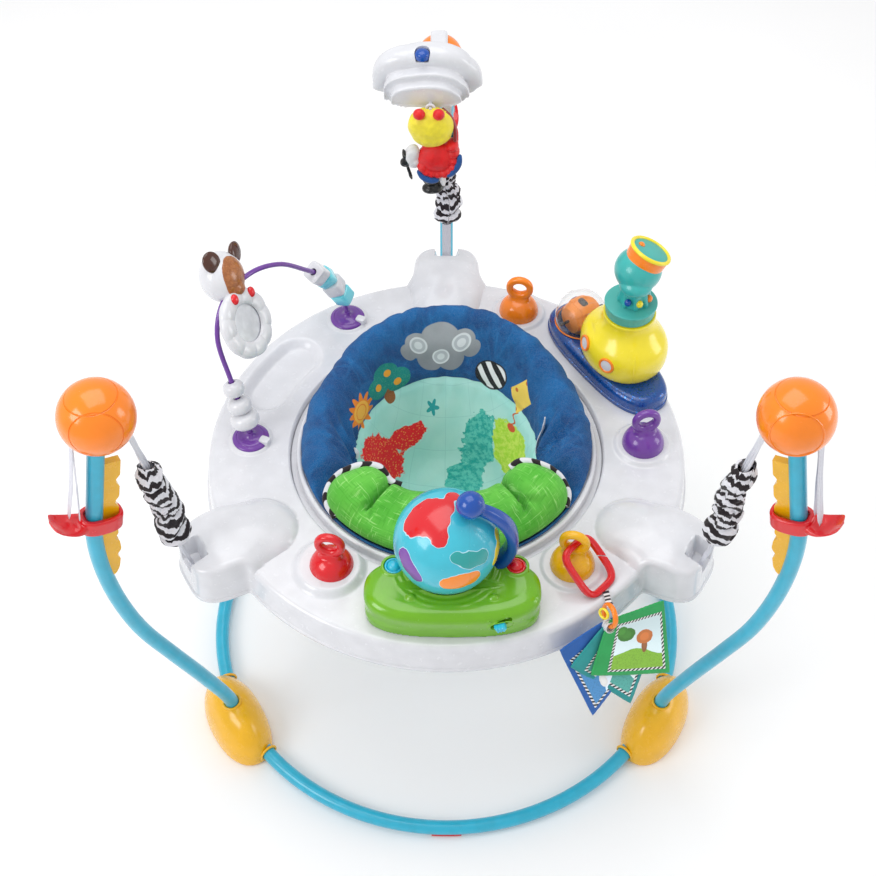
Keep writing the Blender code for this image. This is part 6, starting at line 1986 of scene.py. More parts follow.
WIRE_R = 0.0037
ARCH_FEET = ((-0.289, 0.013), (-0.157, 0.263))
ARCH_FOOT_R = 0.0270
ARCH_ROUTE = (
    (-0.2900, 0.0140, TRAY_Z + 0.0160), (-0.2998, 0.0264, TRAY_Z + 0.0571),
    (-0.3105, 0.0399, TRAY_Z + 0.1019),
    (-0.3240, 0.0620, TRAY_Z + 0.1640), (-0.3130, 0.0950, TRAY_Z + 0.2060),
    (-0.2790, 0.1370, TRAY_Z + 0.2180),
    (-0.2440, 0.1850, TRAY_Z + 0.1910), (-0.2130, 0.2270, TRAY_Z + 0.1410),
    (-0.1900, 0.2600, TRAY_Z + 0.0950),
    (-0.1670, 0.2720, TRAY_Z + 0.0500), (-0.1570, 0.2640, TRAY_Z + 0.0160),
)
MIRROR_AT = Vector((-0.2840, 0.0820, TRAY_Z + 0.1740))
MIRROR_FACING = Vector((0.812, -0.309, 0.495)).normalized()
MIRROR_UP = Vector((-0.281, 0.538, 0.796)).normalized()
MIRROR_R = 0.0358
MIRROR_RING_R = 0.0505
HEAD_TOP = Vector((0, 0.0716, -0.0160))
SNOW_SHARE = 0.118
CLIP_SHARE = 0.430
BEAD_BORE = 0.0056


def along_wire(share):
    """A place at this share of the wire's length, and the way the wire runs there."""
    path = smooth_path(ARCH_ROUTE, 2)
    lengths = [0.0]
    for a, b in zip(path, path[1:]):
        lengths.append(lengths[-1] + (b - a).length)
    target = share * lengths[-1]
    for k, (a, b) in enumerate(zip(path, path[1:])):
        if lengths[k + 1] >= target:
            t = (target - lengths[k]) / (lengths[k + 1] - lengths[k])
            return a + (b - a) * t, (b - a).normalized()
    return path[-1], (path[-1] - path[-2]).normalized()


def make_arch():
    """The curved wire with its two stepped feet."""
    path = smooth_path(ARCH_ROUTE, 10)
    ends = directions(path)
    path = [path[0] - 0.010 * ends[0], *path[1:-1], path[-1] + 0.010 * ends[-1]]
    piece("arch_wire", tube(path, WIRE_R, 28, (-0.88, 0.47, 0)), purple_plastic, "tray", "bead_arch")
    for side, (x, y) in zip("ab", ARCH_FEET):
        r = ARCH_FOOT_R
        profile = [(0.0, 0.0), (r - 0.0006, 0.0), (r, 0.0010), (r, 0.0042), (r - 0.0012, 0.0054),
                   (0.86 * r, 0.0064),
                   (0.80 * r, 0.0074), (0.77 * r, 0.0070), (0.74 * r, 0.0077), (0.62 * r, 0.0084),
                   (0.45 * r, 0.0090),
                   (0.30 * r, 0.0108), (0.20 * r, 0.0140), (0.16 * r, 0.0170), (0.0, 0.0175)]
        place = CENTRE @ Matrix.Translation((x, y, TRAY_Z + GAP))
        piece(f"arch_foot_{side}", turned(profile, 96), purple_plastic, "tray",
              place=place, crease=50)
        tab = skin([flat_ring(0, 0, z, (half, half * 0.8), 40, 4.5)
                    for z, half in ((0.0, 0.0080), (0.0085, 0.0080), (0.0102, 0.0072), (0.0108, 0.0054))])
        spot = Matrix.Translation((0.0215, -0.0085, 0.0)) @ spun(-24)
        piece(f"arch_tab_{side}", moved(tab, spot), white_plastic, "tray", place=place,
              crease=30)


def rounded(along, across, power):
    """Half a profile for a bead: (radius, height) points round an oval section."""
    points = []
    for k in range(25):
        c, s = math.cos(math.pi * k / 24), math.sin(math.pi * k / 24)
        points.append((across * abs(s) ** (2 / power), -along * math.copysign(abs(c) ** (2 / power), c)))
    return points


def bored(profile, bore):
    """A closed ring profile: the outside as given and a straight bore."""
    outer = [(max(r, bore + 0.0006), z) for r, z in profile if r > bore]
    return [(bore, outer[0][1]), *outer, (bore, outer[-1][1])]


def make_snow_bead():
    """Three rounded beads that run as one on the wire."""
    point, ahead = along_wire(SNOW_SHARE)
    parts = []
    for middle, along, across in ((-0.0440, 0.0140, 0.0215), (-0.0185, 0.0128, 0.0180),
                                  (0.0100, 0.0125, 0.0158)):
        profile = [(r, z + middle) for r, z in bored(rounded(along, across, 2.4), 0.0052)]
        parts.append(turned(profile, 96, wrap=True))
    piece("snow_beads", moved(joined(*parts), facing(ahead, point)), white_plastic, "snow_bead", "snow_bead",
          crease=45)


def make_ice_beads():
    """Two pairs of rounded cubes on the wire, one white and one pale blue in each."""
    for name, share, turn in (("lower", 0.924, 24), ("upper", 0.828, 12)):
        point, ahead = along_wire(share)
        for k, (low, high, half, material, slot) in enumerate((
            (-0.0256, -0.0006, 0.0146, white_plastic, "white_plastic"),
            (0.0006, 0.0256, 0.0140, ice_plastic, "ice_plastic"),
        )):
            rings = []
            edge = 0.0030
            for z, inset in ((low, edge), (low + 0.3 * edge, 0.3 * edge), (low + edge, 0.0),
                             (high - edge, 0.0),
                             (high - 0.3 * edge, 0.3 * edge), (high, edge)):
                rings.append(flat_ring(0, 0, z, (half - inset, half - inset), 64, 5.0))
            inner = [flat_ring(0, 0, z, (BEAD_BORE, BEAD_BORE), 64) for z in (high, low)]
            cube = moved(skin([*rings, *inner], wrap=True), facing(ahead, point) @ spun(turn + 18 * k))
            stands = f"ice_bead_{name}" if k == 0 else ()
            piece(f"{name}_bead_{'ab'[k]}", cube, material, f"{name}_ice_bead", stands, crease=40)


def coat_material():
    """White plastic with a tan patch on the face side of the head."""
    shade = Shade("patched_plastic", Coat_Weight=0.35, Coat_Roughness=0.06)
    x, y, z = shade.axes(shade.along("head"))
    around_patch = (((x / 0.0225) ** 2 + ((y + 0.003) / 0.0295) ** 2).math("SQRT")
                    + 0.10 * (shade.noise(90, 2) - 0.5))
    patch = shade.soft(around_patch, 1.02, 0.98) * shade.soft(z, 0.002, 0.004)
    fur = shade.soft(shade.noise(200, 4, distort=1.0), 0.35, 0.7)
    tan = shade.mix(fur, srgb(150, 88, 44), srgb(178, 112, 60))
    shade.colour(shade.mix(patch, WHITE, tan))
    shade.rough(0.22 + 0.1 * shade.soft(shade.noise(95, 4), 0.45, 0.8))
    shade.bump(shade.noise(24, 1) + 0.3 * patch, 0.00016, 0.4)
    return shade.material


def make_mirror():
    """A plain animal head over a faceted ring with a plastic mirror in it."""
    across = MIRROR_UP.cross(MIRROR_FACING)
    place = frame_of(across, MIRROR_UP, MIRROR_AT)
    rings = []
    count = 192
    half = 0.0066
    section = ((MIRROR_R + GAP, -0.0045), (MIRROR_R + GAP, -0.0018), (MIRROR_R + GAP, 0.0021),
               (0.0278, 0.0022), (0.0272, 0.0030),
               (0.0282, 0.0052), (0.0312, half), (MIRROR_R + 0.0040, half + 0.0004),
               (MIRROR_RING_R - 0.0040, half - 0.0010),
               (MIRROR_RING_R - 0.0012, 0.0036), (MIRROR_RING_R, 0.0012), (MIRROR_RING_R, -0.0030),
               (MIRROR_RING_R - 0.0016, -half + 0.0012), (MIRROR_RING_R - 0.0040, -half),
               (MIRROR_R + 0.0030, -half))
    for k in range(count):
        angle = 2 * math.pi * k / count
        ring = []
        for r, z in section:
            out = smoothstep(MIRROR_R + 0.004, MIRROR_RING_R, r)
            lobe = abs(math.cos(5 * angle + 0.4)) ** 0.7
            r += out * (0.0012 * lobe - 0.0006)
            z += (0.0016 * lobe - 0.0007) * (1 if z > 0.003 else 0) * smoothstep(0.0275, 0.0315, r)
            ring.append(Vector((r * math.cos(angle), r * math.sin(angle), z)))
        rings.append(ring)
    piece("mirror_ring", moved(skin(rings, wrap=True), place), white_plastic, "mirror",
          crease=40)
    head = ball(HEAD_TOP, (0.0345, 0.0368, 0.0305), 96, 64)
    muzzle = ball(HEAD_TOP + Vector((0.003, -0.0200, 0.0130)), (0.0165, 0.0135, 0.0150), 48, 32)
    collar = ball((0, 0.0450, -0.0020), (0.0200, 0.0090, 0.0090), 40, 24)
    grip = ball(along_wire(CLIP_SHARE)[0], 0.0118, 40, 28)
    made = piece("plain_head", joined(moved(joined(head, muzzle, collar), place), grip), coat_material(),
                 "mirror",
                 "mirror_frame", crease=0)
    melt(made, 0.0011, 6)
    back = (CENTRE @ place).inverted()
    label(made, "head", [tuple(back @ vert.co - HEAD_TOP) for vert in made.data.vertices])
    brown = moulded("brown_plastic", srgb(74, 36, 22), 0.15)
    for side, x in (("left", -1), ("right", 1)):
        ear = ball((0, 0, 0), (0.0142, 0.0158, 0.0090), 48, 32)
        for vert in ear.verts:
            if vert.co.z > 0:
                vert.co.z *= 0.55
        spot = (Matrix.Translation(HEAD_TOP + Vector((x * 0.0262, 0.0262, 0.0150))) @ spun(-x * 24)
                @ spun(x * 14, "Y"))
        piece(f"{side}_ear", moved(moved(ear, spot), place), brown, "mirror", crease=0)
        paw = ball((x * 0.0185 + 0.004, 0.0385, 0.0070), (0.0062, 0.0078, 0.0050), 40, 28)
        piece(f"{side}_red_pad", moved(paw, place), red_plastic, "mirror", crease=0)
    glass = Shade("mirror_foil", Metallic=0.6)
    cloudy = glass.noise(60, 3)
    glass.colour(glass.mix(glass.soft(cloudy, 0.3, 0.7), srgb(206, 208, 214), srgb(222, 224, 230)))
    glass.rough(0.30 + 0.10 * glass.noise(30, 4))
    glass.bump(glass.noise(22, 2), 0.0006, 0.5)
    plate = turned(((0, -0.0014), (MIRROR_R - 0.0002, -0.0014), (MIRROR_R - 0.0002, 0.0012),
                    (0.9 * MIRROR_R, 0.0015),
                    (0, 0.0015)), 96)
    piece("mirror_sheet", moved(plate, place), glass.material, "mirror", "mirror_plate", crease=50)


# Submarine toy

SUB_SIDE = CENTRE @ spun(33)
SUB_BASE_AT = (0.3005, 0.0090)
SUB_BASE_HALF = (0.0500, 0.1245)
SUB_FOOT = TRAY_Z + GAP
SUB_TOP = SUB_FOOT + 0.027
SUB_STAND = SUB_TOP + GAP
SUB_DECK = SUB_STAND + 0.0863
SUB_BODY_AT = (0.311, -0.0140)
SUB_BODY_HALF = (0.0610, 0.0700)
ROLLER_AT = Vector((0.302, 0.079, SUB_TOP + 0.014))
DOME_R = 0.0415
HULL_POWER = 2.15
HULL_LEVELS = (  # height and share of the hull's half width, for cutting it out of the dome
    (-0.01, 0.85), (0.0, 0.86), (0.006, 0.935), (0.016, 0.985), (0.028, 1.0), (0.040, 0.985),
    (0.050, 0.93), (0.058, 0.85), (0.066, 0.76), (0.080, 0.68),
)


def glitter(name, colour, bright):
    """Glossy plastic with flakes of foil in it, each tilted its own way."""
    shade = Shade(name, Coat_Weight=0.6, Coat_Roughness=0.04)
    red, green, _ = shade.axes(shade.cells(520, output="Color"))
    spark = shade.soft(red, 0.80, 0.90)
    base = shade.mix(shade.soft(shade.noise(60, 3), 0.3, 0.75), darker(colour, 0.84), colour)
    shade.colour(shade.mix(spark * (0.20 + 0.5 * green), base, bright))
    shade.feed(spark * 0.8, shade.shader.inputs["Metallic"])
    shade.rough(0.26 - 0.10 * spark)
    shade.bump(green + 0.2 * shade.noise(24, 1), 0.00025, 0.45)
    return shade.material


def clear_plastic():
    """Clear moulded plastic with a few smudges."""
    shade = Shade("clear_dome", Transmission_Weight=0.97, IOR=1.25)
    shade.colour(shade.mix(shade.soft(shade.noise(40, 3), 0.3, 0.7), (0.985, 0.985, 0.99), (1.0, 1.0, 1.0)))
    shade.rough(0.015 + 0.02 * shade.soft(shade.noise(40, 3), 0.50, 0.80))
    shade.bump(shade.noise(20, 1), 0.0002, 0.3)
    return shade.material


def make_sub_base():
    """A long rounded plinth with a shallow step round its foot."""
    levels = [(SUB_FOOT + z, inset) for z, inset in
              ((0.0, 0.0010), (0.0006, 0.0), (0.0060, 0.0), (0.0066, 0.0012), (0.0120, 0.0014))]
    for k in range(13):
        a = math.pi / 2 * k / 12
        levels.append((SUB_FOOT + 0.0150 + 0.0120 * math.sin(a), 0.0016 + 0.0125 * (1 - math.cos(a))))
    levels += [(SUB_TOP, 0.0200), (SUB_TOP, 0.0320), (SUB_TOP, 0.0450)]
    rings = [flat_ring(*SUB_BASE_AT, z, [size - inset for size in SUB_BASE_HALF], 200, 2.8) for z,
             inset in levels]
    rings.append([Vector((*SUB_BASE_AT, SUB_TOP))])
    made = piece("sub_plinth", skin(rings), glitter("blue_glitter", srgb(0, 70, 150), srgb(50, 125, 210)),
                 "tray",
                 "sub_base", place=SUB_SIDE, crease=40)
    well = turned(((0, SUB_FOOT + 0.004), (DOME_R - 0.004, SUB_FOOT + 0.004),
                   (DOME_R - 0.004, SUB_TOP + 0.01),
                   (0, SUB_TOP + 0.01)), 96)
    cut(made, moved(well, Matrix.Translation((ROLLER_AT.x, ROLLER_AT.y, 0))), place=SUB_SIDE)
    sharpen(made, 40)


def make_sub_body():
    """A fat hull with a neck ring, moulding seams and two portholes."""
    x, y = SUB_BODY_AT
    profile = smooth_path(((0.86, 0, 0.0), (0.935, 0, 0.006), (0.985, 0, 0.016), (1.0, 0, 0.028),
                           (0.985, 0, 0.040),
                           (0.93, 0, 0.050), (0.85, 0, 0.058), (0.76, 0, 0.066), (0.69, 0, 0.074),
                           (0.650, 0, 0.082),
                           (0.634, 0, 0.088)), 5)
    tail = smooth_path(((0.634, 0, 0.0884), (0.645, 0, 0.0892), (0.650, 0, 0.0905), (0.650, 0, 0.0925),
                        (0.644, 0, 0.0938),
                        (0.630, 0, 0.0945), (0.560, 0, 0.0945)), 4)
    rings = []
    count = 420
    for spot in [*profile, *tail]:
        neck = smoothstep(0.052, 0.084, spot.z)
        half = [size * spot.x * (1 - neck) + 0.0605 * spot.x * neck for size in SUB_BODY_HALF]
        ring = flat_ring(x + 0.0025 * neck, y - 0.0010 * neck, SUB_STAND + spot.z, half, count,
                         HULL_POWER - 0.15 * neck)
        for k, point in enumerate(ring):
            angle = 360 * k / count
            seam_deep = 0.0006 * smoothstep(0.062, 0.056, spot.z)
            dent_deep = 0.0028 * math.exp(-(((spot.z - 0.0600) / 0.0035) ** 2))
            for azimuth, wide, deep in ((63, 0.9, seam_deep), (243, 0.9, seam_deep), (150, 15, dent_deep)):
                away = abs((angle - azimuth + 180) % 360 - 180)
                out = Vector((point.x - x, point.y - y, 0)).normalized()
                point -= out * (deep * math.exp(-((away / wide) ** 2)))
        rings.append(ring)
    piece("sub_hull", skin(rings), yellow_plastic, "tray", "sub_body", place=SUB_SIDE,
          crease=40)
    for k, (azimuth, height, size) in enumerate(((163, 0.0405, 0.0108), (203, 0.0350, 0.0108))):
        c, s = around(azimuth, 1.0).xy
        power = 2 / HULL_POWER
        normal = Vector((c / SUB_BODY_HALF[0], s / SUB_BODY_HALF[1], 0)).normalized()
        normal = (normal + Vector((0, 0, 12 * (height - 0.024)))).normalized()
        spot = Vector((x + SUB_BODY_HALF[0] * math.copysign(abs(c) ** power, c) * 0.985,
                       y + SUB_BODY_HALF[1] * math.copysign(abs(s) ** power, s) * 0.985, SUB_STAND + height))
        place = facing(normal, spot)
        rim = round_section(size, 0.0004, 0.0020, 20)
        piece(f"porthole_rim_{k + 1}", moved(turned(rim, 64, wrap=True), place), orange_plastic, "tray",
              place=SUB_SIDE, crease=0)
        pane = [(0.0, -0.0060), (size, -0.0060), (size, 0.0004), (0.8 * size, 0.0011), (0.5 * size, 0.0017),
                (0.0, 0.0020)]
        piece(f"porthole_pane_{k + 1}", moved(turned(pane, 64), place), white_plastic, "tray",
              place=SUB_SIDE, crease=50)


def hull_rings(levels):
    return [flat_ring(*SUB_BODY_AT, SUB_STAND + z, [size * share for size in SUB_BODY_HALF], 96, HULL_POWER)
            for z, share in levels]


def make_dome_and_roller():
    """A clear dome over a turning drum with ribs and raised panels."""
    low = math.asin(max(-1.0, (SUB_STAND - ROLLER_AT.z) / DOME_R))
    outer = [(DOME_R * math.cos(a), DOME_R * math.sin(a)) for a in
             [low + (math.pi / 2 - low) * k / 36 for k in range(37)]]
    inner = [(r * (DOME_R - 0.0016) / DOME_R, z * (DOME_R - 0.0022) / DOME_R) for r, z in outer[::-1]]
    outer[-1], inner[0] = (0.0, outer[-1][1]), (0.0, inner[0][1])
    dome = turned([*inner, *outer], 96)
    made = piece("clear_dome", moved(dome, Matrix.Translation(ROLLER_AT)), clear_plastic(), "tray",
                 place=SUB_SIDE, crease=60)
    cut(made, skin(hull_rings(HULL_LEVELS)), place=SUB_SIDE)
    sharpen(made, 60)
    rim = turned(round_section(DOME_R - 0.0014, 0.0, 0.0014, 14), 96, wrap=True)
    rim_at = Matrix.Translation((ROLLER_AT.x, ROLLER_AT.y, SUB_STAND + 0.0014))
    foot = piece("dome_rim", moved(rim, rim_at), orange_plastic, "tray",
                 place=SUB_SIDE, crease=0)
    cut(foot, skin(hull_rings(HULL_LEVELS[:4])), place=SUB_SIDE)
    place = Matrix.Translation(ROLLER_AT) @ spun(90, "Y")
    half = [(0.0, 0.0250), (0.0160, 0.0248), (0.0210, 0.0236), (0.0240, 0.0200), (0.0268, 0.0130),
            (0.0280, 0.0126),
            (0.0290, 0.0066)]
    drum = turned([*[(r, -z) for r, z in half], (0.0294, 0.0), *half[::-1]], 96)
    for vert in drum.verts:
        radius = math.hypot(vert.co.x, vert.co.y)
        if radius > 0.018:
            angle = math.atan2(vert.co.y, vert.co.x)
            rib = smoothstep(0.55, 0.85, abs(math.cos(3 * angle)))
            vert.co.xy *= 1 - 0.10 * rib * smoothstep(0.020, 0.026, radius)
    axle = turned(((0, -0.0410), (0.0023, -0.0410), (0.0023, 0.0410), (0, 0.0410)), 24)
    piece("drum", moved(drum, place), moulded("drum_orange", srgb(255, 146, 10), 0.3, 0.1), "roller",
          "sub_roller",
          place=SUB_SIDE)
    piece("drum_axle", moved(axle, place), dark_plastic, "roller", place=SUB_SIDE)
    for k in range(6):
        tile = skin([flat_ring(0, 0, z, (0.0050 - s, 0.0085 - s), 32, 4)
                     for z, s in ((0.0, 0.0), (0.0022, 0.0), (0.0028, 0.0006))])
        spin = spun(60 * k) @ Matrix.Translation((0.0262, 0, 0)) @ spun(90, "Y")
        material = (dark_plastic, white_plastic, purple_plastic)[k % 3]
        piece(f"drum_panel_{k + 1}", moved(tile, place @ spin), material, "roller",
              place=SUB_SIDE, crease=40)


def make_octopus():
    """A generic round-headed sea creature in a cap, on a turning deck plate."""
    axis = Vector((0.3135, -0.0150, 0))
    plate = [(0.0, 0.0), (0.0345, 0.0), (0.0362, 0.0010), (0.0368, 0.0034), (0.0379, 0.0150),
             (0.0389, 0.0168),
             (0.0391, 0.0190), (0.0382, 0.0203), (0.0362, 0.0208), (0.0, 0.0212)]
    matte = moulded("teal_matte", srgb(70, 176, 168), 0.42, 0.1)
    piece("deck_plate", moved(turned(plate, 128), Matrix.Translation((axis.x, axis.y, SUB_DECK + 0.0090))),
          matte,
          "octopus", place=SUB_SIDE, crease=35)
    head_at = Vector((0.3180, -0.0160, SUB_DECK + 0.0910))
    head = ball((0, 0, 0), (0.0345, 0.0345, 0.0325), 96, 64)
    cheeks = ball((-0.012, -0.012, -0.0130), (0.0240, 0.0250, 0.0160), 64, 40)
    neck = turned(((0, -0.0660), (0.0215, -0.0660), (0.0205, -0.0560), (0.0185, -0.0400), (0.0190, -0.0200),
                   (0, -0.0150)), 64)
    arms = []
    for k in range(8):
        angle = 45 * k + 12
        path = smooth_path([around(angle, r, z) for r, z in
                            ((0.011, -0.028), (0.0165, -0.040), (0.0195, -0.051), (0.0225, -0.0580),
                             (0.0250, -0.0590))], 6)
        arms.append(tube(path, lambda share: 0.0058 - 0.0026 * share, 20, (0, 0, 1)))
    made = piece("sea_creature", joined(head, cheeks, neck, *arms), teal_plastic, "octopus", "octopus",
                 place=SUB_SIDE @ Matrix.Translation(head_at), crease=0)
    melt(made, 0.0012, 6)
    for k, (azimuth, tint) in enumerate(((250, yellow_plastic), (205, blue_plastic), (300, orange_plastic))):
        dot = ball(around(azimuth, 0.0222, -0.049), (0.0052, 0.0052, 0.0062), 32, 20)
        piece(f"collar_bead_{k + 1}", dot, tint, "octopus",
              place=SUB_SIDE @ Matrix.Translation(head_at), crease=0)
    tilt = spun(-20, Vector((-0.351, -0.540, 0.765))) @ spun(-7, "X") @ spun(15, "Y")
    tilt = Matrix.Translation(head_at + Vector((0.0090, -0.0020, 0.0160))) @ tilt
    cap = [(0.0, -0.0060), (0.0285, -0.0060), (0.0292, -0.0040), (0.0300, 0.0060), (0.0304, 0.0130),
           (0.0302, 0.0150),
           (0.0, 0.0150)]
    skirt = turned(cap, 120)
    for vert in skirt.verts:
        radius = math.hypot(vert.co.x, vert.co.y)
        if vert.co.z < 0.0 and radius > 0.02:
            angle = math.atan2(vert.co.y, vert.co.x)
            vert.co.z -= 0.0085 * max(0.0, math.cos(4 * angle)) ** 1.5
    piece("cap_drum", moved(skirt, tilt), orange_plastic, "octopus", place=SUB_SIDE,
          crease=50)
    rim = turned(round_section(0.0295, 0.0160, 0.0030, 24), 120, wrap=True)
    piece("cap_rim", moved(rim, tilt), yellow_plastic, "octopus", place=SUB_SIDE,
          crease=0)
    lid = [(0.0, 0.0140), (0.0275, 0.0140), (0.0275, 0.0160), (0.0262, 0.0168), (0.0120, 0.0172),
           (0.0, 0.0172)]
    piece("cap_lid", moved(turned(lid, 96), tilt), matte, "octopus", place=SUB_SIDE,
          crease=40)
    button = ball((0, 0, 0.0172), (0.0050, 0.0050, 0.0034), 40, 24)
    piece("cap_button", moved(button, tilt @ Matrix.Translation((-0.012, 0.010, 0))), orange_plastic,
          "octopus",
          place=SUB_SIDE, crease=0)


make_arch()
make_snow_bead()
make_ice_beads()
make_mirror()
make_sub_base()
make_sub_body()
make_dome_and_roller()
make_octopus()

# Cloud and hanging toy

CLOUD_FACE = -0.0838
CLOUD_BUTTON_AT = Vector((-0.0355, BALL_AT.x - 0.0480, BALL_AT.z + 0.0368))
BACK_BALL_AT = Vector((-0.010, BALL_AT.x, BALL_AT.z - 0.002))
TOY_AT = Vector((-0.024, BALL_AT.x + CLOUD_FACE - 0.0030, BALL_AT.z - 0.0302))


def cloud_edge(centre, half, low, high, shrink):
    """Puffs along the top and a shallow wavy foot, in X and Z, measured from the ball's height."""
    points = []
    for k in range(240):
        angle = 2 * math.pi * k / 240
        c, s = math.cos(angle), math.sin(angle)
        if s > 0:
            share, swell = 0.72, 1 + 0.050 * abs(math.cos(2.5 * angle)) ** 0.8 - 0.03
        else:
            share, swell = 0.28, 1 + 0.026 * math.cos(9 * angle)
        x = centre + (half - shrink) * math.copysign(abs(c) ** 0.9, c) * swell / 1.03
        height = (high - low) * share
        z = low + (high - low) * 0.28 + (height - shrink) * math.copysign(abs(s) ** 0.9, s) * swell / 1.03
        points.append((x, BALL_AT.z + z))
    return points


def on_toy(*spots):
    """Places given from the hanging toy's hook."""
    return [TOY_AT + Vector(spot) for spot in spots]


def make_cloud():
    """Three stepped cloud shells, the lowest one foremost, with a clip for the ball behind."""
    shells = (  # rear and front face, middle, half width, lowest and highest edge, rounding
        (-0.0240, -0.0600, -0.0300, 0.0850, -0.0500, 0.0450, 0.0230),
        (-0.0500, -0.0720, -0.0310, 0.0660, -0.0440, 0.0185, 0.0050),
        (-0.0600, CLOUD_FACE, -0.0312, 0.0540, -0.0400, 0.0050, 0.0050),
    )
    parts = []
    for rear, face, centre, half, low, high, rounding in shells:
        rings = []
        rear, face = BALL_AT.x + rear, BALL_AT.x + face
        for k in range(7):
            a = math.pi / 2 * k / 6
            rings.append([Vector((x, rear - 0.006 * (1 - math.cos(a)) * 0.5, z)) for x, z in
                          cloud_edge(centre, half, low, high, 0.006 * (1 - math.sin(a)) * 0.4)])
        for k in range(9):
            a = math.pi / 2 * k / 8
            rings.append([Vector((x,
                                  face + rounding * (1 - math.sin(a))
                                  + 0.25 * (BALL_AT.z + high - z) * math.sin(a), z))
                          for x, z in cloud_edge(centre, half, low, high, rounding * (1 - math.cos(a)))])
        parts.append(skin(rings))
    made = piece("cloud_shell", joined(*parts), white_plastic, "frame", "cloud", crease=0)
    melt(made, 0.0016, 5)
    cut(made, ball(BACK_BALL_AT, BACK_BALL_R + 0.0008, 96, 64))
    well = turned(((0, -0.010), (0.0116, -0.010), (0.0116, 0.03), (0, 0.03)), 64)
    cut(made, moved(well, Matrix.Translation(CLOUD_BUTTON_AT)))
    sharpen(made, 50)
    block = skin([
        ring_at((-0.0108, BALL_AT.x + y, BALL_AT.z + 0.0250), (1, 0, 0), (0, 0, 1), (0.0130 - s, 0.0170 - s),
                64, 5.0)
        for y, s in ((-0.044, 0.0030), (-0.0425, 0.0010), (-0.040, 0.0), (0.004, 0.0))
    ])
    clip = piece("ball_clip", block, white_plastic, "frame", crease=40)
    cut(clip, ball(BACK_BALL_AT, BACK_BALL_R + 0.0008, 96, 64))
    sharpen(clip, 50)
    hook = smooth_path(on_toy((0, 0.015, 0.018), (0, 0.0150, 0.006), (0, 0.0120, 0.0004), (0, -0.0055, 0.0)),
                       8)
    piece("toy_hook", tube(hook, 0.0025, 24, (1, 0, 0)), white_plastic, "frame")
    profile = [(0.0, -0.0058), (0.0106, -0.0058), (0.0108, 0.0000), (0.0106, 0.0014), (0.0096, 0.0034),
               (0.0076, 0.0052),
               (0.0048, 0.0064), (0.0, 0.0069)]
    piece("cloud_push_button", moved(turned(profile, 72), Matrix.Translation(CLOUD_BUTTON_AT)), blue_plastic,
          "cloud_button", "cloud_button", crease=50)


def quilt_cloth(name, colour, rough=0.8, sheen=0.25):
    """Plush or tricot with a fine nap."""
    shade = Shade(name, Roughness=rough, Sheen_Weight=sheen)
    shade.colour(shade.mix(shade.soft(shade.noise(85, 4), 0.3, 0.7), darker(colour, 0.84), colour))
    fine = shade.noise(1500, 2) + 0.5 * shade.cells(900)
    shade.bump(fine, 0.0005, 0.5)
    return shade.material


def stuffed(name, blobs, material, voxel=0.0013, crumple=0.0009, stands=(), seam=None):
    """A stuffed piece: balls run together, with a seam round its side and soft creases."""
    parts = [moved(ball((0, 0, 0), radii, 56, 38), Matrix.Translation(on_toy(at)[0]) @ spun(turn, "Y"))
             for at, radii, turn in blobs]
    made = piece(name, joined(*parts), material, "hanging_toy", stands, crease=0)
    melt(made, voxel, 6)
    middle = CENTRE @ TOY_AT
    for vert, normal in [(v, v.normal.copy()) for v in made.data.vertices]:
        local = vert.co - middle
        push = crumple * (noise.noise(local * 55) + 0.6 * noise.noise(local * 130))
        if seam:
            push -= 0.0011 * math.exp(-(((local.y + seam) / 0.0011) ** 2))
        vert.co += normal * push


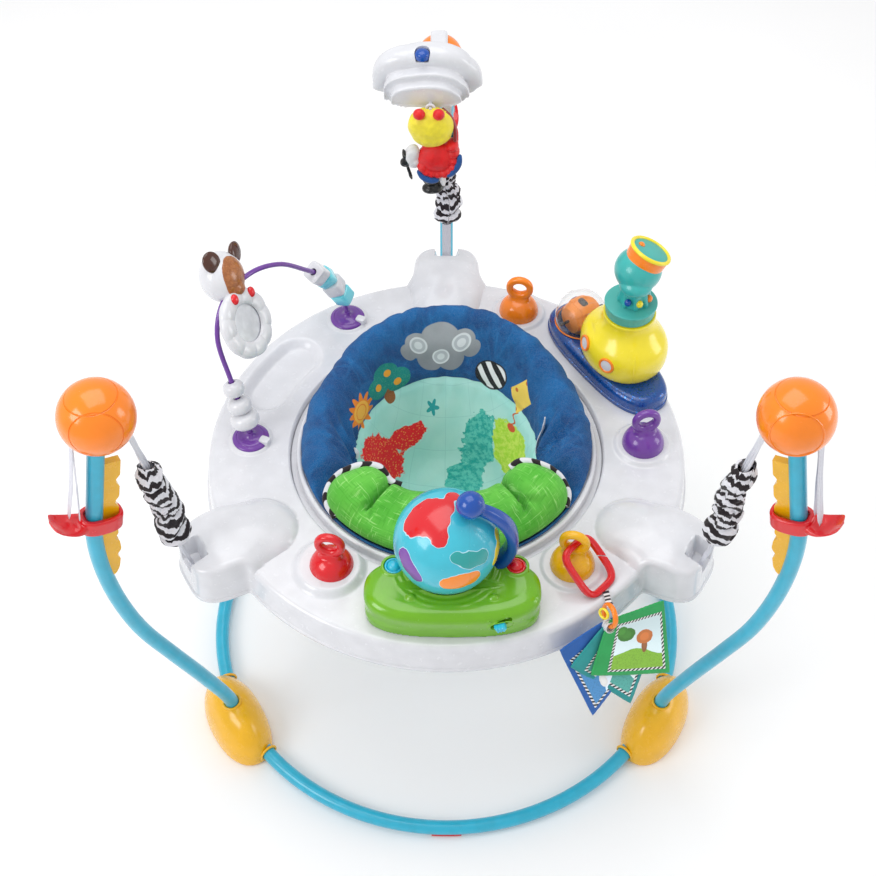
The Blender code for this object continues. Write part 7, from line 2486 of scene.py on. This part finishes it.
def make_hanging_toy():
    """A soft toy: plain yellow head, red scalloped body, blue trim, white wing and dark crinkle feet."""
    yellow = quilt_cloth("yellow_plush", srgb(246, 228, 50), 0.40, 0.1)
    red = quilt_cloth("red_plush", srgb(228, 6, 14), 0.40, 0.1)
    blue = quilt_cloth("blue_trim", srgb(14, 78, 148))
    white = quilt_cloth("white_fleece", srgb(234, 234, 236))
    shiny = Shade("dark_crinkle", Metallic=0.35, Coat_Weight=0.4)
    facets = shiny.axes(shiny.cells(260, output="Color"))[0]
    shiny.colour(shiny.mix(shiny.soft(facets, 0.6, 0.9), srgb(22, 22, 24), srgb(86, 84, 80)))
    shiny.rough(0.2 + 0.25 * shiny.noise(160, 4))
    shiny.bump(shiny.cells(190) + 0.6 * shiny.noise(120, 3), 0.0016, 0.6)
    stuffed("toy_head",
            (((0.0005, -0.003, -0.0300), (0.0350, 0.0210, 0.0310), 0),
             ((0.001, -0.003, -0.0430), (0.0310, 0.0195, 0.0230), 0)),
            yellow, stands="hanging_toy", seam=0.0005)
    for k, x in enumerate((-0.0165, 0.0125)):
        stuffed(f"toy_knob_{k + 1}", (((x, -0.015, -0.0010), (0.0092, 0.0082, 0.0088), 0),), red,
                voxel=0.0010, crumple=0.0004)
    body = [((0.0090, -0.0025, -0.0900), (0.0300, 0.0180, 0.0270), 0)]
    for k in range(7):
        angle = math.radians(205 + 22 * k)
        body.append(((0.0105 + 0.0260 * math.cos(angle), -0.0035, -0.0930 + 0.0225 * math.sin(angle)),
                     (0.0095, 0.0165, 0.0095), 0))
    for k in range(4):
        body.append(((0.0330 + 0.002 * math.sin(k), -0.0030, -0.0660 - 0.0125 * k), (0.0100, 0.0150, 0.0085),
                     0))
    stuffed("toy_body", body, red, crumple=0.0010)
    for name, path in (
        ("left",
         ((-0.0200, -0.0130, -0.1080), (-0.0120, -0.0165, -0.1175), (0.0000, -0.0180, -0.1225),
          (0.0120, -0.0165, -0.1235))),
        ("right",
         ((0.0250, -0.0165, -0.1160), (0.0345, -0.0165, -0.1070), (0.0425, -0.0145, -0.0940),
          (0.0445, -0.0115, -0.0790))),
    ):
        points = smooth_path(on_toy(*path), 10)
        rings = []
        for k, (spot, ahead) in enumerate(zip(points, directions(points))):
            out = ahead.cross(Vector((0, -1, 0))).normalized()
            end = 0.35 + 0.65 * max(0.0, math.sin(math.pi * k / (len(points) - 1))) ** 0.4
            rings.append(ring_at(spot, out, (0, 1, 0), (0.0050 * end, 0.0054 * end), 28, 2.2))
        made = piece(f"toy_trim_{name}", skin(rings), blue, "hanging_toy", crease=0)
    stuffed("toy_wing",
            (((-0.0290, -0.0040, -0.0850), (0.0120, 0.0090, 0.0200), 12),
             ((-0.0260, -0.0040, -0.0970), (0.0100, 0.0090, 0.0120), 0)),
            white)
    stuffed("toy_flap",
            (((-0.0400, -0.0070, -0.0830), (0.0040, 0.0035, 0.0125), -10),
             ((-0.0385, -0.0070, -0.0960), (0.0085, 0.0045, 0.0090), 0),
             ((-0.0330, -0.0070, -0.1160), (0.0030, 0.0030, 0.0150), -14)), shiny.material,
             voxel=0.0010)
    stuffed("toy_feet",
            (((0.0010, -0.0020, -0.1300), (0.0150, 0.0115, 0.0160), 0),
             ((0.0030, -0.0040, -0.1490), (0.0180, 0.0120, 0.0085), -8)),
            shiny.material)
    stuffed("toy_leg", (((0.0175, -0.0080, -0.1270), (0.0050, 0.0060, 0.0165), -8),), white,
            voxel=0.0010)
    eye = turned(round_section(0.0056, 0.0, 0.0021, 20), 56, wrap=True)
    piece("toy_eye", moved(eye, Matrix.Translation(TOY_AT) @ spun(90, "X")), white_plastic, "hanging_toy",
          crease=0)
    rings, cloth = [], []
    start, finish = on_toy((0, 0, -0.0050), (0.0015, -0.003, -0.0165))
    for k in range(13):
        t = k / 12
        spot = start.lerp(finish, t)
        ring = ring_at(spot, (1, 0, 0), (0, 1, 0), (0.0048, 0.0008), 20, 3)
        rings.append(ring)
        cloth += [((finish - start).length * t, point.x - spot.x, 0.0) for point in ring]
    made = piece("toy_loop", skin(rings), webbing, "hanging_toy", crease=0)
    label(made, "cloth", cloth)
    strap = smooth_path(on_toy((0.0180, 0.0020, -0.0070), (0.0300, 0.0010, -0.0200),
                               (0.0365, 0.0000, -0.0380),
                               (0.0370, -0.0010, -0.0560)), 10)
    rings = []
    for spot, ahead in zip(strap, directions(strap)):
        out = ahead.cross(Vector((0, 1, 0))).normalized()
        rings.append(ring_at(spot, out, (0, 1, 0), (0.0030, 0.0078), 24, 2.6))
    made = piece("toy_side_strap", skin(rings), quilt_cloth("red_tape", srgb(150, 18, 24)), "hanging_toy",
                 crease=0)


make_cloud()
make_hanging_toy()


# Camera, floor and light

PHOTO_WIDTH = 876


def make_stage():
    """The photo's camera, a white paper floor and three soft lights in a bright room."""
    bpy.context.scene.view_settings.view_transform = "Standard"
    lens = bpy.data.cameras.new("camera")
    lens.lens = 59.6
    lens.sensor_width = 36
    lens.shift_x = -8.5 / PHOTO_WIDTH
    lens.clip_end = 40
    camera = bpy.data.objects.new("camera", lens)
    camera.location = (0, -1.4562, 2.1197)
    camera.rotation_euler = (0.7001, 0, 0)
    bpy.context.scene.collection.objects.link(camera)
    bpy.context.scene.camera = camera

    bm = bmesh.new()
    bmesh.ops.create_grid(bm, x_segments=4, y_segments=4, size=9)
    mesh = bpy.data.meshes.new("floor")
    bm.to_mesh(mesh)
    bm.free()
    floor = bpy.data.objects.new("floor", mesh)
    floor.location = (0, 1.5, -0.0002)
    bpy.context.scene.collection.objects.link(floor)
    paper = Shade("floor_paper", Roughness=0.9, Specular_IOR_Level=0.1)
    tone = paper.soft(paper.noise(2.2, 2), 0.2, 0.8)
    paper.colour(paper.mix(tone, (0.94, 0.94, 0.945), (0.965, 0.965, 0.968)))
    mesh.materials.append(paper.material)

    world = bpy.data.worlds.new("studio")
    world.use_nodes = True
    background = world.node_tree.nodes["Background"]
    background.inputs["Color"].default_value = (1, 1, 1, 1)
    background.inputs["Strength"].default_value = 0.72
    bpy.context.scene.world = world
    for name, place, size, power in (
        ("front_left_softbox", (-2.1, -1.4, 2.1), (1.3, 1.3), 26),
        ("right_softbox", (2.6, -0.1, 1.2), (0.9, 1.3), 12),
        ("overhead_softbox", (-0.3, 0.5, 3.4), (2.6, 2.6), 42),
    ):
        light = bpy.data.lights.new(name, "AREA")
        light.shape = "RECTANGLE"
        light.size, light.size_y = size
        light.energy = power
        lamp = bpy.data.objects.new(name, light)
        lamp.location = place
        aim = Vector((0, 0, 0.4)) - Vector(place)
        lamp.rotation_euler = aim.to_track_quat("-Z", "Y").to_euler()
        bpy.context.scene.collection.objects.link(lamp)


make_stage()
